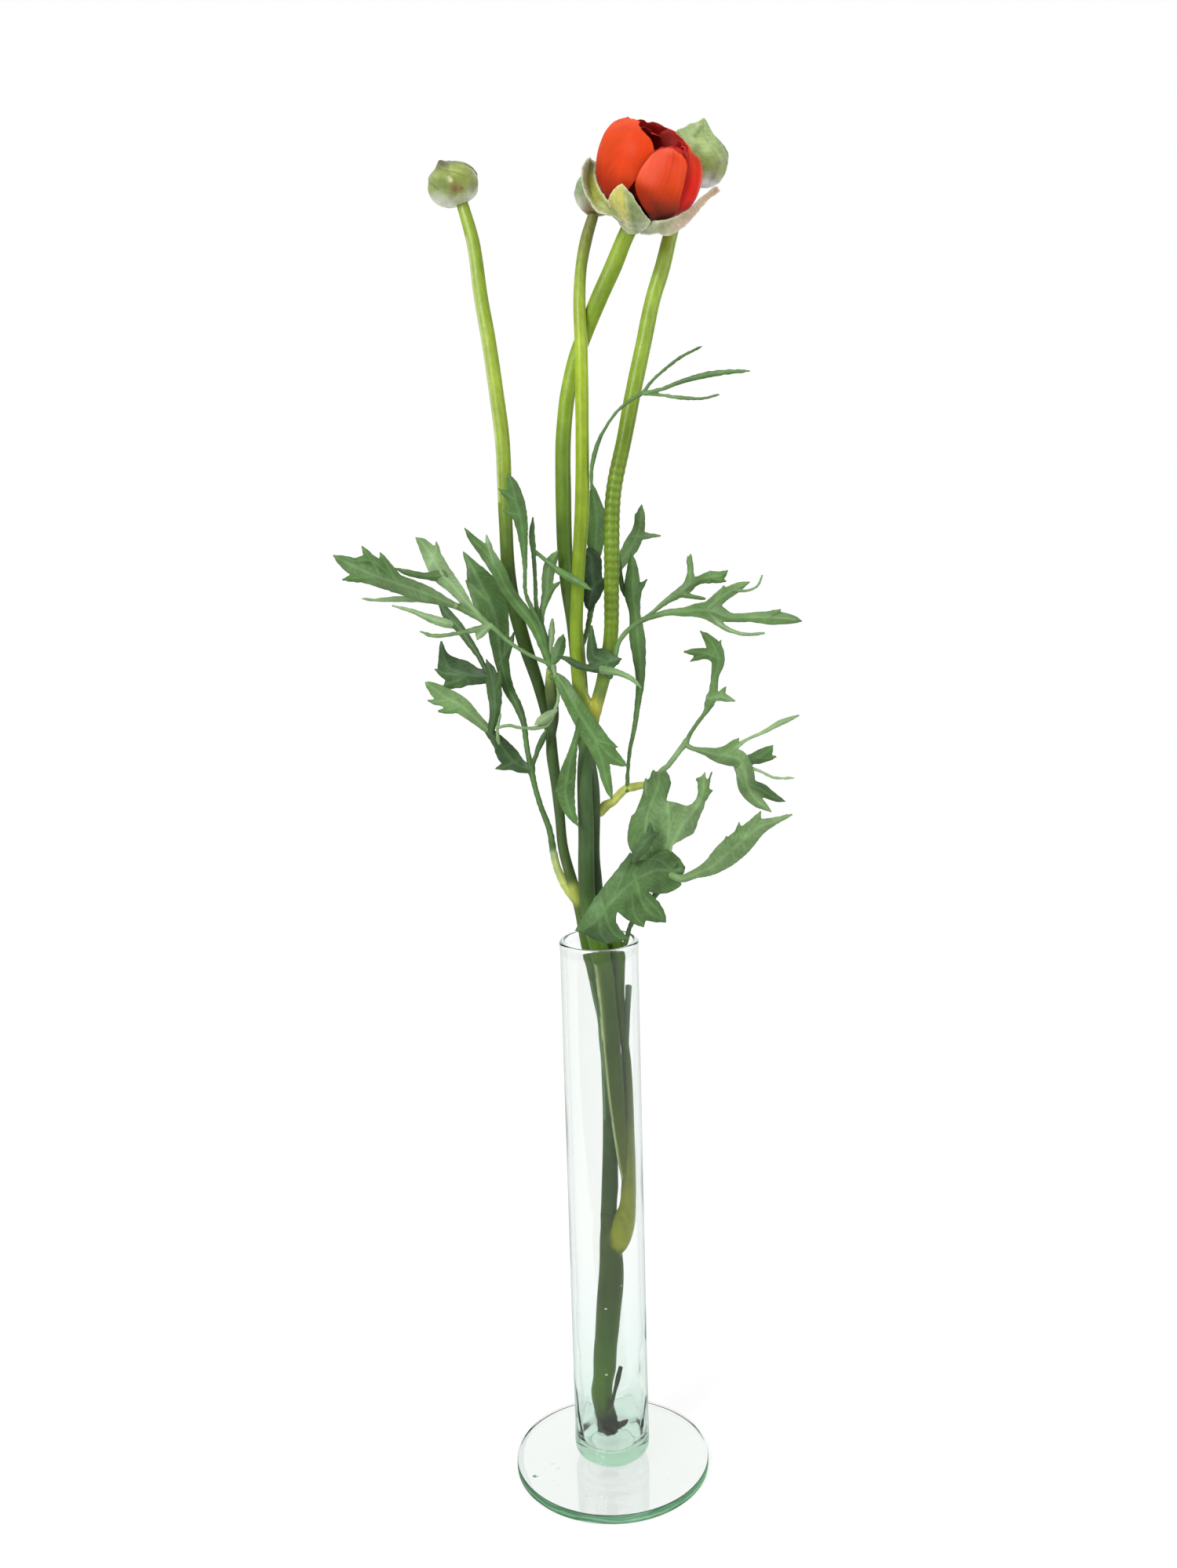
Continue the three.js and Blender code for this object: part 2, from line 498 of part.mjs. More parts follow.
const rimLeaf = {
  leafStalk: [
    [784, 1216, 7, 7], [796, 1204, 6, 6], [803, 1181, 4.3, 6], [818, 1160, 2, 6], [835, 1141, -1, 7],
    [852, 1118, -4, 9],
    [858, 1106, -5, 14],
  ],
  tallBlade: [
    [850, 1112, -3.5, 16], [836, 1092, -3.5, 30], [824, 1070, -2.6, 46, -20], [824, 1045, -1.5, 44, -25],
    [832, 1020, -1.2, 34, -20], [839, 1000, -1.6, 28, -10], [840, 986, -2.2, 14],
  ],
  tallLeftTip: [[834, 996, -1.8, 14], [833, 987, -2, 7], [833, 980, -2.2, 3]],
  tallSideTooth: [[824, 1012, -1.2, 12], [823, 1000, -1, 7], [823, 991, -1, 3]],
  web: [[846, 1092, -4, 20], [852, 1066, -4.6, 30], [853, 1044, -4.5, 36], [852, 1032, -4.5, 18]],
  foldedBlade: [
    [850, 1096, -4.2, 14], [858, 1076, -6, 24, 25], [870, 1052, -8, 34, 30],
    [884, 1034, -8, 24, 20], [895, 1014, -7.5, 14], [897, 1000, -7, 15], [898, 986, -7, 4],
  ],
  foldedRightTip: [[897, 1008, -7.2, 14], [904, 995, -7, 5], [907, 984, -7, 3]],
  foldedSideTip: [[894, 1016, -7.4, 16], [903, 1010, -7.5, 7], [909, 1007, -7.5, 3]],
  foldedLeftTip: [[896, 1002, -7, 12], [890, 996, -7, 6], [887, 993, -7, 3]],
  smallBlade: [[808, 1097, -9.4, 9], [813, 1086, -9, 14], [823, 1074, -8.6, 16], [828, 1062, -8, 10],
    [828, 1048, -7.4, 3]],
  smallTooth: [[824, 1071, -8.5, 14], [833, 1064, -8, 8], [841, 1061, -7.6, 3]],
  outBlade: [
    [850, 1112, -5, 10], [868, 1120, -6, 10], [886, 1114, -8, 12], [905, 1106, -10, 20, 15],
    [925, 1090, -12, 31, 20], [945, 1073, -14, 31, 20], [963, 1057, -15, 23, 15], [984, 1048, -16, 11],
    [1010, 1038, -17, 3],
  ],
  outUpperTip: [[950, 1066, -14.5, 24], [962, 1048, -15, 12], [970, 1034, -15, 3]],
  outFirstTooth: [[916, 1098, -11, 16], [911, 1093, -10.5, 8], [906, 1090, -10.5, 3]],
  outSecondTooth: [[932, 1084, -13, 22], [927, 1073, -12.5, 10], [925, 1066, -12.5, 3]],
  outThirdTooth: [[946, 1072, -14, 22], [942, 1058, -14, 9], [942, 1048, -14, 3]],
  frontBlade: [
    [852, 1110, -5.3, 42], [838, 1110, -7, 50], [818, 1117, -9.5, 50, 15], [797, 1132, -12, 50, 20],
    [778, 1152, -14.5, 48, 15], [762, 1172, -16.5, 34, 10], [742, 1186, -18, 8],
  ],
  frontMiddleLobe: [[812, 1128, -10, 30], [818, 1150, -10, 30], [828, 1164, -10, 24], [842, 1171, -10, 8]],
  frontMiddleTip: [[826, 1148, -10, 16], [838, 1160, -10, 18], [847, 1173, -10, 4]],
  frontInnerTip: [[806, 1150, -10.5, 20], [808, 1166, -11, 16], [818, 1179, -11, 4]],
  frontLowLobe: [[770, 1160, -14.5, 30], [776, 1180, -15.5, 22], [786, 1193, -16.5, 12], [801, 1197, -17, 4]],
  frontLowestTip: [[764, 1176, -15.7, 26], [766, 1190, -17, 20], [773, 1201, -17.5, 8]],
  upperCorner: [[850, 1104, -6.5, 22], [838, 1096, -7.5, 16], [822, 1096, -8.5, 4]],
  leftArm: [[790, 1126, -12, 16], [798, 1106, -10.6, 14], [805, 1092, -9.6, 8]],
};

const thinLeaf = {
  leafStalk: [
    [754, 622, -8.2, 3.5], [754, 598, -9, 5], [758, 578, -9, 6], [764, 560, -9, 5], [773, 543, -9, 4],
    [790, 521, -9, 4], [806, 509, -9, 4.5], [822, 500, -9, 5],
  ],
  upperStrip: [[820, 500, -9, 5], [829, 488, -8, 4], [848, 470, -6, 4], [865, 457, -4, 4], [895, 441, -2, 3]],
  middleStrip: [
    [820, 501, -9, 5], [840, 497, -10, 5], [870, 486, -11, 6], [900, 478, -12, 8], [930, 474, -13, 6],
    [956, 473, -14, 3],
  ],
  lowerStrip: [[820, 502, -9, 4], [845, 504, -9, 4], [868, 507, -9, 5], [895, 508, -9, 3.5],
    [920, 502, -9, 3]],
};

const backLeaf = {
  leafStalk: [[736, 838, 5.5, 6], [746, 812, 8, 6], [752, 785, 9.5, 7], [757, 755, 10, 9]],
  upBlade: [[757, 762, 10, 8], [757, 720, 10.5, 12], [759, 690, 10.5, 22, 15], [760, 660, 10.5, 25, 20],
    [757, 638, 10.5, 16, 10], [755, 617, 10.5, 3]],
  rightBlade: [[756, 760, 10, 8], [769, 744, 9.5, 9], [784, 727, 9, 12], [795, 711, 9, 16, 20],
    [806, 693, 9, 20, 20], [814, 674, 9, 15, 15], [816, 658, 9, 12], [818, 643, 9, 3]],
  rightSideTip: [[810, 684, 9, 14], [827, 683, 9, 7], [843, 683, 9, 3]],
  rightTooth: [[815, 666, 9, 10], [811, 659, 9, 5], [809, 653, 9, 3]],
  darkBlade: [[757, 765, 10, 8], [759, 745, 9.3, 24], [753, 762, 8.8, 20, 20], [750, 779, 8.5, 3]],
  darkUpperBlade: [[758, 752, 9.8, 16], [754, 730, 9.2, 26, 15], [752, 710, 9, 22, 10], [744, 702, 9, 4]],
};

const stemSolid = unite(Object.values(stemParts).map((stations) => stalk(stations)));
const stemClearance = unite(Object.values(stemParts).map((stations) => stalk(stations, seatGap)));

// Each leaf's lobes, the x of its root, and how far it swings backwards (negative: forwards) for each step of x
// away from its root.
const leaves = {
  upper_left_leaf: { lobes: upperLeftLeaf, rootX: 702, slope: -0.09 },
  lower_left_leaf: { lobes: lowerLeftLeaf, rootX: 690, slope: 0.12 },
  front_leaf: { lobes: frontLeaf, rootX: 706, slope: -0.03 },
  fork_leaf: { lobes: forkLeaf, rootX: 777, slope: -0.04 },
  right_leaf: { lobes: rightLeaf, rootX: 784, slope: -0.1 },
  middle_right_leaf: { lobes: middleRightLeaf, rootX: 800, slope: 0.1 },
  rim_leaf: { lobes: rimLeaf, rootX: 850, slope: -0.06 },
  thin_leaf: { lobes: thinLeaf, rootX: 754, slope: -0.05 },
  back_leaf: { lobes: backLeaf, rootX: 750, slope: 0.08 },
};

function swung(stations, rootX, slope) {
  return stations.map(([x, y, depth, ...rest]) => [x, y, depth + slope * Math.abs(x - rootX), ...rest]);
}

function leafGeometry({ lobes, rootX, slope }) {
  const grown = unite(Object.values(lobes).map((stations) => lobe(swung(stations, rootX, slope))));
  return geometryOf(largestBody(grown.subtract(stemClearance)));
}

// The flower: petals and sepals are patches of a globe. Polar angles run from 0 at the receptacle to 180 at the
// open top, and azimuth 0 faces the front, growing to the right.

const bloomCentre = spot(...bloomPlace);
const leanRight = THREE.MathUtils.degToRad(bloomLeanRight);
const leanForward = THREE.MathUtils.degToRad(bloomLeanForward);
const bloomAxis = new THREE.Vector3(
  Math.sin(leanRight) * Math.cos(leanForward),
  -Math.sin(leanForward),
  Math.cos(leanRight) * Math.cos(leanForward),
);
const towardsEye = eye.clone().sub(bloomCentre).normalize();
const bloomFront = towardsEye.addScaledVector(bloomAxis, -towardsEye.dot(bloomAxis)).normalize();
const bloomRight = bloomFront.clone().cross(bloomAxis).negate();

function onBloom(polar, azimuth, radius) {
  const p = THREE.MathUtils.degToRad(polar);
  const a = THREE.MathUtils.degToRad(azimuth);
  return bloomCentre.clone()
    .addScaledVector(bloomAxis, -Math.cos(p) * radius)
    .addScaledVector(bloomFront, Math.sin(p) * Math.cos(a) * radius)
    .addScaledVector(bloomRight, Math.sin(p) * Math.sin(a) * radius);
}

// Rows are [polar angle, left azimuth, right azimuth, left radius, middle radius, right radius], radii in parts of
// the bloom's radius.
function patch(rows, thickness) {
  const widest = Math.max(...rows.map((row) => row[2] - row[1]));
  const columns = Math.max(fewestColumns, Math.ceil(widest / degreesPerColumn)) + 1;
  const rings = rows.map(([polar, left, right, leftRadius, middleRadius, rightRadius]) => {
    const row = (level) => Array.from({ length: columns }, (_, j) => {
      const s = j / (columns - 1);
      const straight = THREE.MathUtils.lerp(leftRadius, rightRadius, s);
      const bulge = (middleRadius - (leftRadius + rightRadius) / 2) * (1 - (2 * s - 1) ** 2);
      const radius = bloomRadius * (straight + bulge) + level * thickness / 2;
      return onBloom(polar, THREE.MathUtils.lerp(left, right, s), radius);
    });
    return [...row(1), ...row(-1).reverse()];
  });
  return solidFrom(sheet(rings, columns));
}

const petals = {
  leftFront: [
    [12, -96, -10, 0.985, 0.985, 0.985], [32, -92, -24, 1, 1, 0.98], [50, -98, -22, 1.04, 1.03, 0.97],
    [78, -122, -14, 1.08, 1.05, 0.97], [98, -130, -6, 1.1, 1.09, 0.97], [118, -128, -4, 1.11, 1.12, 0.98],
    [131, -110, -16, 1.08, 1.07, 1], [140, -80, -48, 1.02, 1.01, 1],
  ],
  rightFront: [
    [12, 2, 80, 0.985, 0.985, 0.985], [36, 24, 60, 1.02, 1.03, 1.02], [48, 22, 57, 1.04, 1.05, 1.03],
    [64, 2, 56, 1.05, 1.06, 1.03], [78, -9, 47, 1.05, 1.06, 1.03], [94, -10, 43, 1.05, 1.06, 1.03],
    [110, -7, 42, 1.05, 1.05, 1.02], [121, 0, 40, 1.03, 1.02, 1.01], [128, 10, 33, 1.01, 1, 1],
  ],
  rightSide: [
    [12, 62, 130, 0.93, 0.93, 0.93], [40, 58, 120, 0.93, 1, 1], [60, 54, 118, 0.93, 1.03, 1.01],
    [84, 48, 118, 0.93, 1.03, 1.01], [104, 47, 112, 0.93, 1.01, 1], [121, 46, 90, 0.94, 0.99, 0.98],
    [135, 49, 59, 0.97, 0.97, 0.96],
  ],
  backRight: [
    [12, 104, 172, 0.87, 0.87, 0.87], [40, 92, 186, 0.89, 0.93, 0.92], [70, 86, 190, 0.89, 0.94, 0.93],
    [100, 84, 190, 0.87, 0.92, 0.93], [122, 92, 188, 0.85, 0.9, 0.93], [134, 110, 184, 0.87, 0.9, 0.93],
    [143, 138, 174, 0.89, 0.91, 0.93],
  ],
  backLeft: [
    [12, 176, 256, 0.96, 0.96, 0.96], [40, 158, 266, 1.02, 1.02, 0.96], [70, 148, 274, 1.03, 1.05, 0.97],
    [100, 146, 276, 1.01, 1.03, 0.97], [122, 150, 270, 0.99, 0.99, 0.96], [132, 157, 262, 0.97, 0.96, 0.95],
    [142, 176, 244, 0.96, 0.95, 0.94],
  ],
};

// A cap of a round shell about the bloom's centre, at the receptacle's end of its axis.
function domeCap(inner, outer, reach) {
  const arc = (radius) => Array.from({ length: domeSteps + 1 }, (_, i) => {
    const polar = THREE.MathUtils.degToRad(reach * i / domeSteps);
    return [radius * Math.sin(polar), -radius * Math.cos(polar)];
  });
  const cap = turned([...arc(outer), ...arc(inner).reverse()], domeSides);
  cap.applyQuaternion(new THREE.Quaternion().setFromUnitVectors(new THREE.Vector3(0, 0, 1), bloomAxis));
  cap.translate(bloomCentre.x, bloomCentre.y, bloomCentre.z);
  return solidFrom(cap);
}

// Rings of narrow petals inside the bloom. Angles are in degrees, radii in parts of the bloom's radius.
const innerRings = [
  { count: 4, turn: 30, halfSpread: 56, reach: 138, radius: 0.79 },
  { count: 3, turn: 0, halfSpread: 58, reach: 132, radius: 0.64 },
];
const innerPetalStart = 16;
const innerPetalSpreads = [0.7, 1, 0.92, 0.45];
const innerPetalLean = [-0.05, 0, 0.03];

function innerPetal(azimuth, { halfSpread, reach, radius }) {
  const rows = innerPetalSpreads.map((spread, i) => {
    const polar = THREE.MathUtils.lerp(innerPetalStart, reach, i / (innerPetalSpreads.length - 1));
    const half = spread * halfSpread;
    return [polar, azimuth - half, azimuth + half, ...innerPetalLean.map((lean) => radius + lean)];
  });
  return patch(rows, petalThickness);
}

function receptacle() {
  const outer = bloomRadius + calyxInnerGap - seatGap;
  return domeCap(outer - receptacleDepth, outer, receptacleReach);
}

function heartCore() {
  const core = new THREE.SphereGeometry(bloomRadius * coreRadius, coreSides, coreRows);
  core.translate(...bloomCentre.clone().addScaledVector(bloomAxis, -bloomRadius * coreDrop).toArray());
  return solidFrom(core);
}

function petalGeometry() {
  const solids = Object.values(petals).map((rows) => patch(rows, petalThickness));
  for (const ring of innerRings) {
    for (let i = 0; i < ring.count; i++) {
      solids.push(innerPetal(ring.turn + 360 * i / ring.count, ring));
    }
  }
  solids.push(receptacle(), heartCore());
  return geometryOf(largestBody(unite(solids)));
}

const sepals = {
  front: [
    [10, -80, 40, 1.09, 1.09, 1.09], [28, -52, 30, 1.1, 1.14, 1.12], [44, -46, 23, 1.11, 1.17, 1.13],
    [58, -38, 4, 1.12, 1.17, 1.13], [70, -29, -10, 1.12, 1.15, 1.13], [76, -24, -18, 1.13, 1.13, 1.13],
  ],
  left: [
    [10, -140, -40, 1.09, 1.09, 1.09], [24, -122, -50, 1.14, 1.22, 1.14], [38, -122, -56, 1.16, 1.32, 1.18],
    [52, -118, -62, 1.2, 1.34, 1.22], [66, -110, -70, 1.25, 1.33, 1.25], [76, -100, -78, 1.24, 1.27, 1.24],
    [83, -92, -84, 1.21, 1.21, 1.21],
  ],
  right: [
    [10, 40, 150, 1.09, 1.09, 1.09], [20, 34, 118, 1.11, 1.17, 1.13], [32, 42, 116, 1.12, 1.24, 1.16],
    [46, 50, 114, 1.12, 1.24, 1.16], [62, 60, 110, 1.14, 1.22, 1.18], [78, 72, 104, 1.2, 1.23, 1.2],
    [90, 82, 97, 1.3, 1.3, 1.3], [98, 87, 92, 1.4, 1.4, 1.4],
  ],
};

function sepalGeometry() {
  const solids = Object.values(sepals).map((rows) => patch(rows, sepalThickness));
  const inner = bloomRadius + calyxInnerGap;
  solids.push(domeCap(inner, inner + calyxThickness, calyxReach));
  return geometryOf(largestBody(unite(solids).subtract(stemClearance)));
}

// Buds: a squashed ball whose five sepals overlap like shingles round the axis, with the sepal tips at the top.

function budBody(base, top, width) {
  const axis = top.clone().sub(base);
  const height = axis.length();
  axis.normalize();
  const front = eye.clone().sub(base).normalize();
  front.addScaledVector(axis, -front.dot(axis)).normalize();
  const side = axis.clone().cross(front);
  const points = [];
  const faces = [];
  const centre = base.clone().addScaledVector(axis, height / 2);
  for (let i = 1; i < budRows; i++) {
    const polar = Math.PI * i / budRows;
    for (let j = 0; j < budColumns; j++) {
      const turn = j / budColumns * budSepals + i * budTwist;
      const step = budOverlap * (turn - Math.floor(turn));
      const azimuth = 2 * Math.PI * j / budColumns;
      const radius = width / 2 * Math.sin(polar) ** budRoundness * (1 - step);
      points.push(centre.clone()
        .addScaledVector(axis, -Math.cos(polar) * height / 2)
        .addScaledVector(front, radius * Math.cos(azimuth))
        .addScaledVector(side, radius * Math.sin(azimuth)));
    }
  }
  const rows = budRows - 1;
  for (let i = 0; i + 1 < rows; i++) {
    for (let j = 0; j < budColumns; j++) {
      const a = i * budColumns + j;
      const b = i * budColumns + ((j + 1) % budColumns);
      faces.push([a, b, b + budColumns], [a, b + budColumns, a + budColumns]);
    }
  }
  const bottom = points.push(base.clone()) - 1;
  const apex = points.push(top.clone()) - 1;
  for (let j = 0; j < budColumns; j++) {
    const next = (j + 1) % budColumns;
    faces.push([bottom, next, j], [apex, (rows - 1) * budColumns + j, (rows - 1) * budColumns + next]);
  }
  return solidFrom(outwards(geometryFrom(points, faces)));
}

function budGeometry(bud) {
  const solids = [budBody(spot(...bud.base), spot(...bud.top), bud.width)];
  for (const tip of bud.tips) {
    solids.push(stalk(tip));
  }
  return geometryOf(largestBody(unite(solids).subtract(stemClearance)));
}

const leftBud = {
  base: [586, 262, 18],
  top: [569, 209, 18],
  width: 18.4,
  tips: [
    [[571, 222, 17, 20], [566, 210, 16, 12], [560, 205, 16, 4]],
    [[572, 224, 19, 22], [571, 211, 20, 12], [569, 205, 20, 5]],
  ],
};

const backLeftBud = {
  base: [757, 274, 12],
  top: [764, 216, 15],
  width: 15.4,
  tips: [[[763, 230, 14, 20], [764, 218, 15, 12], [762, 209, 15, 3]]],
};

const backRightBud = {
  base: [892, 239, 13],
  top: [902, 173, 13],
  width: 17.2,
  tips: [
    [[893, 196, 12, 46], [887, 180, 10, 32], [891, 166, 9, 16], [897, 154, 8, 3]],
    [[884, 192, 12, 34], [874, 178, 11, 22], [866, 169, 11, 6]],
  ],
};

// The vase and its water

function vaseGeometry() {
  const inner = tubeRadius - wallThickness;
  const outline = [
    ...footOutline,
    ...lipOutline.map(([out, up]) => [tubeRadius + out, vaseHeight + up]),
    ...bowlOutline.map(([inwards, up]) => [inner - inwards, vaseFloorHeight + up]),
    [0, vaseFloorHeight],
  ];
  return geometryOf(solidFrom(turned(outline, vaseSides)));
}

function waterGeometry() {
  const edge = tubeRadius - wallThickness - seatGap;
  const floor = vaseFloorHeight + seatGap;
  const bowl = bowlOutline.map(([inwards, up]) => [edge - inwards, floor + up]);
  const outline = [[0, floor], ...bowl.reverse(), [edge, waterLevel], [0, waterLevel]];
  const pool = solidFrom(turned(outline, waterSides));
  return geometryOf(largestBody(pool.subtract(stemClearance)));
}

// The object

const glassTint = 0xcfe8d8;
const glassOpacity = 0.35;
const waterTint = 0xe8f4f0;
const waterOpacity = 0.3;
const leafGreen = 0x4f7a45;
const stalkGreen = 0x9fb648;
const petalRed = 0xf0481c;
const sepalGreen = 0xa9b878;
const budGreen = 0x8aa06a;
const wetRoughness = 0.05;
const petalRoughness = 0.45;
const stalkRoughness = 0.5;
const leafRoughness = 0.6;

const group = new THREE.Group();

function addPiece(name, geometry, color, roughness, extra = {}) {
  const material = new THREE.MeshStandardMaterial({ color, roughness, metalness: 0, ...extra });
  const mesh = new THREE.Mesh(geometry, material);
  mesh.name = name;
  group.add(mesh);
}

addPiece('vase', vaseGeometry(), glassTint, wetRoughness, { transparent: true, opacity: glassOpacity });
addPiece('water', waterGeometry(), waterTint, wetRoughness, { transparent: true, opacity: waterOpacity });
addPiece('main_stem', geometryOf(stemSolid), stalkGreen, stalkRoughness);
for (const [name, leaf] of Object.entries(leaves)) {
  addPiece(name, leafGeometry(leaf), leafGreen, leafRoughness);
}
addPiece('bloom_petals', petalGeometry(), petalRed, petalRoughness);
addPiece('bloom_sepals', sepalGeometry(), sepalGreen, leafRoughness);
addPiece('left_bud', budGeometry(leftBud), budGreen, leafRoughness);
addPiece('back_left_bud', budGeometry(backLeftBud), budGreen, leafRoughness);
addPiece('back_right_bud', budGeometry(backRightBud), budGreen, leafRoughness);

export default group;
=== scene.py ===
"""A ranunculus stem with a red flower, three buds and cut leaves, in a slim vase with a round foot."""

import math

import bmesh
import bpy
import numpy as np
from mathutils import Matrix


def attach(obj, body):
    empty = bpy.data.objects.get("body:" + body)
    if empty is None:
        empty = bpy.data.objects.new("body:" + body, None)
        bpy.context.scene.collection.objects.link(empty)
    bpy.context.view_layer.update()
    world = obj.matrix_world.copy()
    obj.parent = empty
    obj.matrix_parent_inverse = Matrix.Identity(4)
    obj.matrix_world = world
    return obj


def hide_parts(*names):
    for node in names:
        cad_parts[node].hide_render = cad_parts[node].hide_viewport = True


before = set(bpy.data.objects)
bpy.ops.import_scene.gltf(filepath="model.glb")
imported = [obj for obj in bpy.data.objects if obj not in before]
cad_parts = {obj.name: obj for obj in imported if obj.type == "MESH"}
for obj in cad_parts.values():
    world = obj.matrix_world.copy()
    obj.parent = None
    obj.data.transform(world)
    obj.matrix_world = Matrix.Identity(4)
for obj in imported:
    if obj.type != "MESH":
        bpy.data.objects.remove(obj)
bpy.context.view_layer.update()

MM = 0.001

# The camera, and the places that are drawn in its picture: [x, y] in pixels of 1500 x 1999, and a depth in
# millimetres behind the vase's axis.

FOCAL = 1960.0
CENTRE = (750.0, 999.5)
EYE = np.array([-2.3, -566.0, 399.0])
PITCH = math.radians(11.4)
ROLL = math.radians(1.6)
PICTURE_HEIGHT = 1999.0
SENSOR = 36.0

FORWARD = np.array([0.0, math.cos(PITCH), -math.sin(PITCH)])
LEVEL_RIGHT = np.array([1.0, 0.0, 0.0])
LEVEL_DOWN = np.array([0.0, -math.sin(PITCH), -math.cos(PITCH)])
RIGHT = math.cos(ROLL) * LEVEL_RIGHT + math.sin(ROLL) * LEVEL_DOWN
DOWN = math.cos(ROLL) * LEVEL_DOWN - math.sin(ROLL) * LEVEL_RIGHT
PIXEL = 0.282  # millimetres a pixel among the leaves


def spot(x, y, depth):
    """Places in millimetres of drawn pixels."""
    x, y, depth = np.broadcast_arrays(np.asarray(x, float), np.asarray(y, float), np.asarray(depth, float))
    ray = FORWARD + ((x - CENTRE[0]) / FOCAL)[..., None] * RIGHT + ((y - CENTRE[1]) / FOCAL)[..., None] * DOWN
    reach = (depth - EYE[1]) / ray[..., 1]
    return EYE + reach[..., None] * ray


def add_camera():
    data = bpy.data.cameras.new("camera")
    data.sensor_width = SENSOR
    data.lens = FOCAL / PICTURE_HEIGHT * SENSOR
    data.clip_start = 0.01
    data.clip_end = 50
    camera = bpy.data.objects.new("camera", data)
    columns = Matrix((RIGHT, -DOWN, -FORWARD)).transposed()
    camera.matrix_world = Matrix.Translation(EYE * MM) @ columns.to_4x4()
    bpy.context.scene.collection.objects.link(camera)
    bpy.context.scene.camera = camera


# Mesh tools. Points are in millimetres until a piece is made.

def hermite(t):
    """The weights of a cubic's start, start slope, end and end slope."""
    return 2 * t**3 - 3 * t**2 + 1, t**3 - 2 * t**2 + t, 3 * t**2 - 2 * t**3, t**3 - t**2


def smooth(stations, step, columns=5):
    """Rows of numbers on a smooth curve through the stations, about a step apart in the first two."""
    rows = np.array([list(s) + [0] * (columns - len(s)) for s in stations], float)
    along = np.r_[0, np.cumsum(np.hypot(np.diff(rows[:, 0]), np.diff(rows[:, 1])))]
    slope = np.gradient(rows, along, axis=0)
    s = np.linspace(0, along[-1], max(3, int(along[-1] / step) + 1))
    k = np.clip(np.searchsorted(along, s, side="right") - 1, 0, len(rows) - 2)
    h = (along[k + 1] - along[k])[:, None]
    a, b, c, d = hermite((s - along[k])[:, None] / h)
    return a * rows[k] + b * h * slope[k] + c * rows[k + 1] + d * h * slope[k + 1]


def unit(v):
    return v / np.maximum(np.linalg.norm(v, axis=-1, keepdims=True), 1e-12)


def face_normals(points, faces):
    """Vertex normals of a polygon mesh."""
    out = np.zeros_like(points)
    for size in {len(f) for f in faces}:
        group = np.array([f for f in faces if len(f) == size])
        corner = points[group]
        normal = np.zeros((len(group), 3))
        for i in range(1, size - 1):
            normal += np.cross(corner[:, i] - corner[:, 0], corner[:, i + 1] - corner[:, 0])
        for i in range(size):
            np.add.at(out, group[:, i], normal)
    return unit(out)


def shell(points, faces, half, tint, under=None):
    """A closed body of two faces about a sheet, with half its thickness given at each vertex.
    The underside takes its own attributes where they are given."""
    count = len(points)
    normal = face_normals(points, faces)
    lifted = np.concatenate([points + normal * half[:, None], points - normal * half[:, None]])
    edges = {(a, b): True for face in faces for a, b in zip(face, face[1:] + face[:1])}
    sides = [(b, a, a + count, b + count) for a, b in edges if (b, a) not in edges]
    both = [tuple(f) for f in faces] + [tuple(i + count for i in reversed(f)) for f in faces] + sides
    under = under or tint
    return lifted, both, {key: np.concatenate([value, under[key]]) for key, value in tint.items()}


def grid_faces(rows, columns, closed=False):
    """The quads of a grid of points, row by row."""
    faces = []
    for i in range(rows - 1):
        for j in range(columns if closed else columns - 1):
            a, b = i * columns + j, i * columns + (j + 1) % columns
            faces.append([a, b, b + columns, a + columns])
    return faces


def capped_faces(rings, sides):
    """The faces of a closed body of rings: quads round it and a flat cap at each end."""
    faces = grid_faces(rings, sides, closed=True)
    faces.append(list(range(sides))[::-1])
    faces.append([(rings - 1) * sides + j for j in range(sides)])
    return faces


def merged(parts):
    """Several bodies as one: their points, faces and attributes."""
    points, faces, tints, base = [], [], {}, 0
    for p, f, tint in parts:
        points.append(p)
        faces += [tuple(i + base for i in face) for face in f]
        for key, value in tint.items():
            tints.setdefault(key, []).append(value)
        base += len(p)
    return np.concatenate(points), faces, {key: np.concatenate(value) for key, value in tints.items()}


def piece(name, body, nodes, material):
    """A piece of the object from points in millimetres, faces, and colours at each vertex."""
    points, faces, tint = body
    mesh = bpy.data.meshes.new(name)
    mesh.from_pydata((points * MM).tolist(), [], faces)
    for key, value in tint.items():
        layer = mesh.attributes.new(key, "FLOAT_COLOR", "POINT")
        rgba = np.concatenate([value, np.ones((len(value), 1))], axis=1)
        layer.data.foreach_set("color", rgba.astype(np.float32).ravel())
    mesh.validate()
    clean = bmesh.new()
    clean.from_mesh(mesh)
    bmesh.ops.dissolve_degenerate(clean, dist=1e-6, edges=clean.edges)
    bmesh.ops.recalc_face_normals(clean, faces=clean.faces)
    clean.to_mesh(mesh)
    clean.free()
    mesh.shade_smooth()
    made = bpy.data.objects.new(name, mesh)
    bpy.context.scene.collection.objects.link(made)
    made.data.materials.append(material)
    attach(made, "root")
    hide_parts(*nodes)


def linear(rgb):
    """Linear colour of 8-bit screen colours."""
    c = np.asarray(rgb, float) / 255
    return np.where(c <= 0.04045, c / 12.92, ((c + 0.055) / 1.055) ** 2.4)


def ramp(value, stops):
    """Colours between given stops of (value, screen colour)."""
    at = [s[0] for s in stops]
    colours = np.array([linear(s[1]) for s in stops])
    return np.stack([np.interp(value, at, colours[:, i]) for i in range(3)], axis=-1)


def mix(a, b, share):
    share = np.asarray(share)[..., None]
    return a * (1 - share) + b * share


def step_up(low, high, value):
    """A smooth rise from 0 to 1 between two values."""
    t = np.clip((value - low) / (high - low), 0, 1)
    return t * t * (3 - 2 * t)


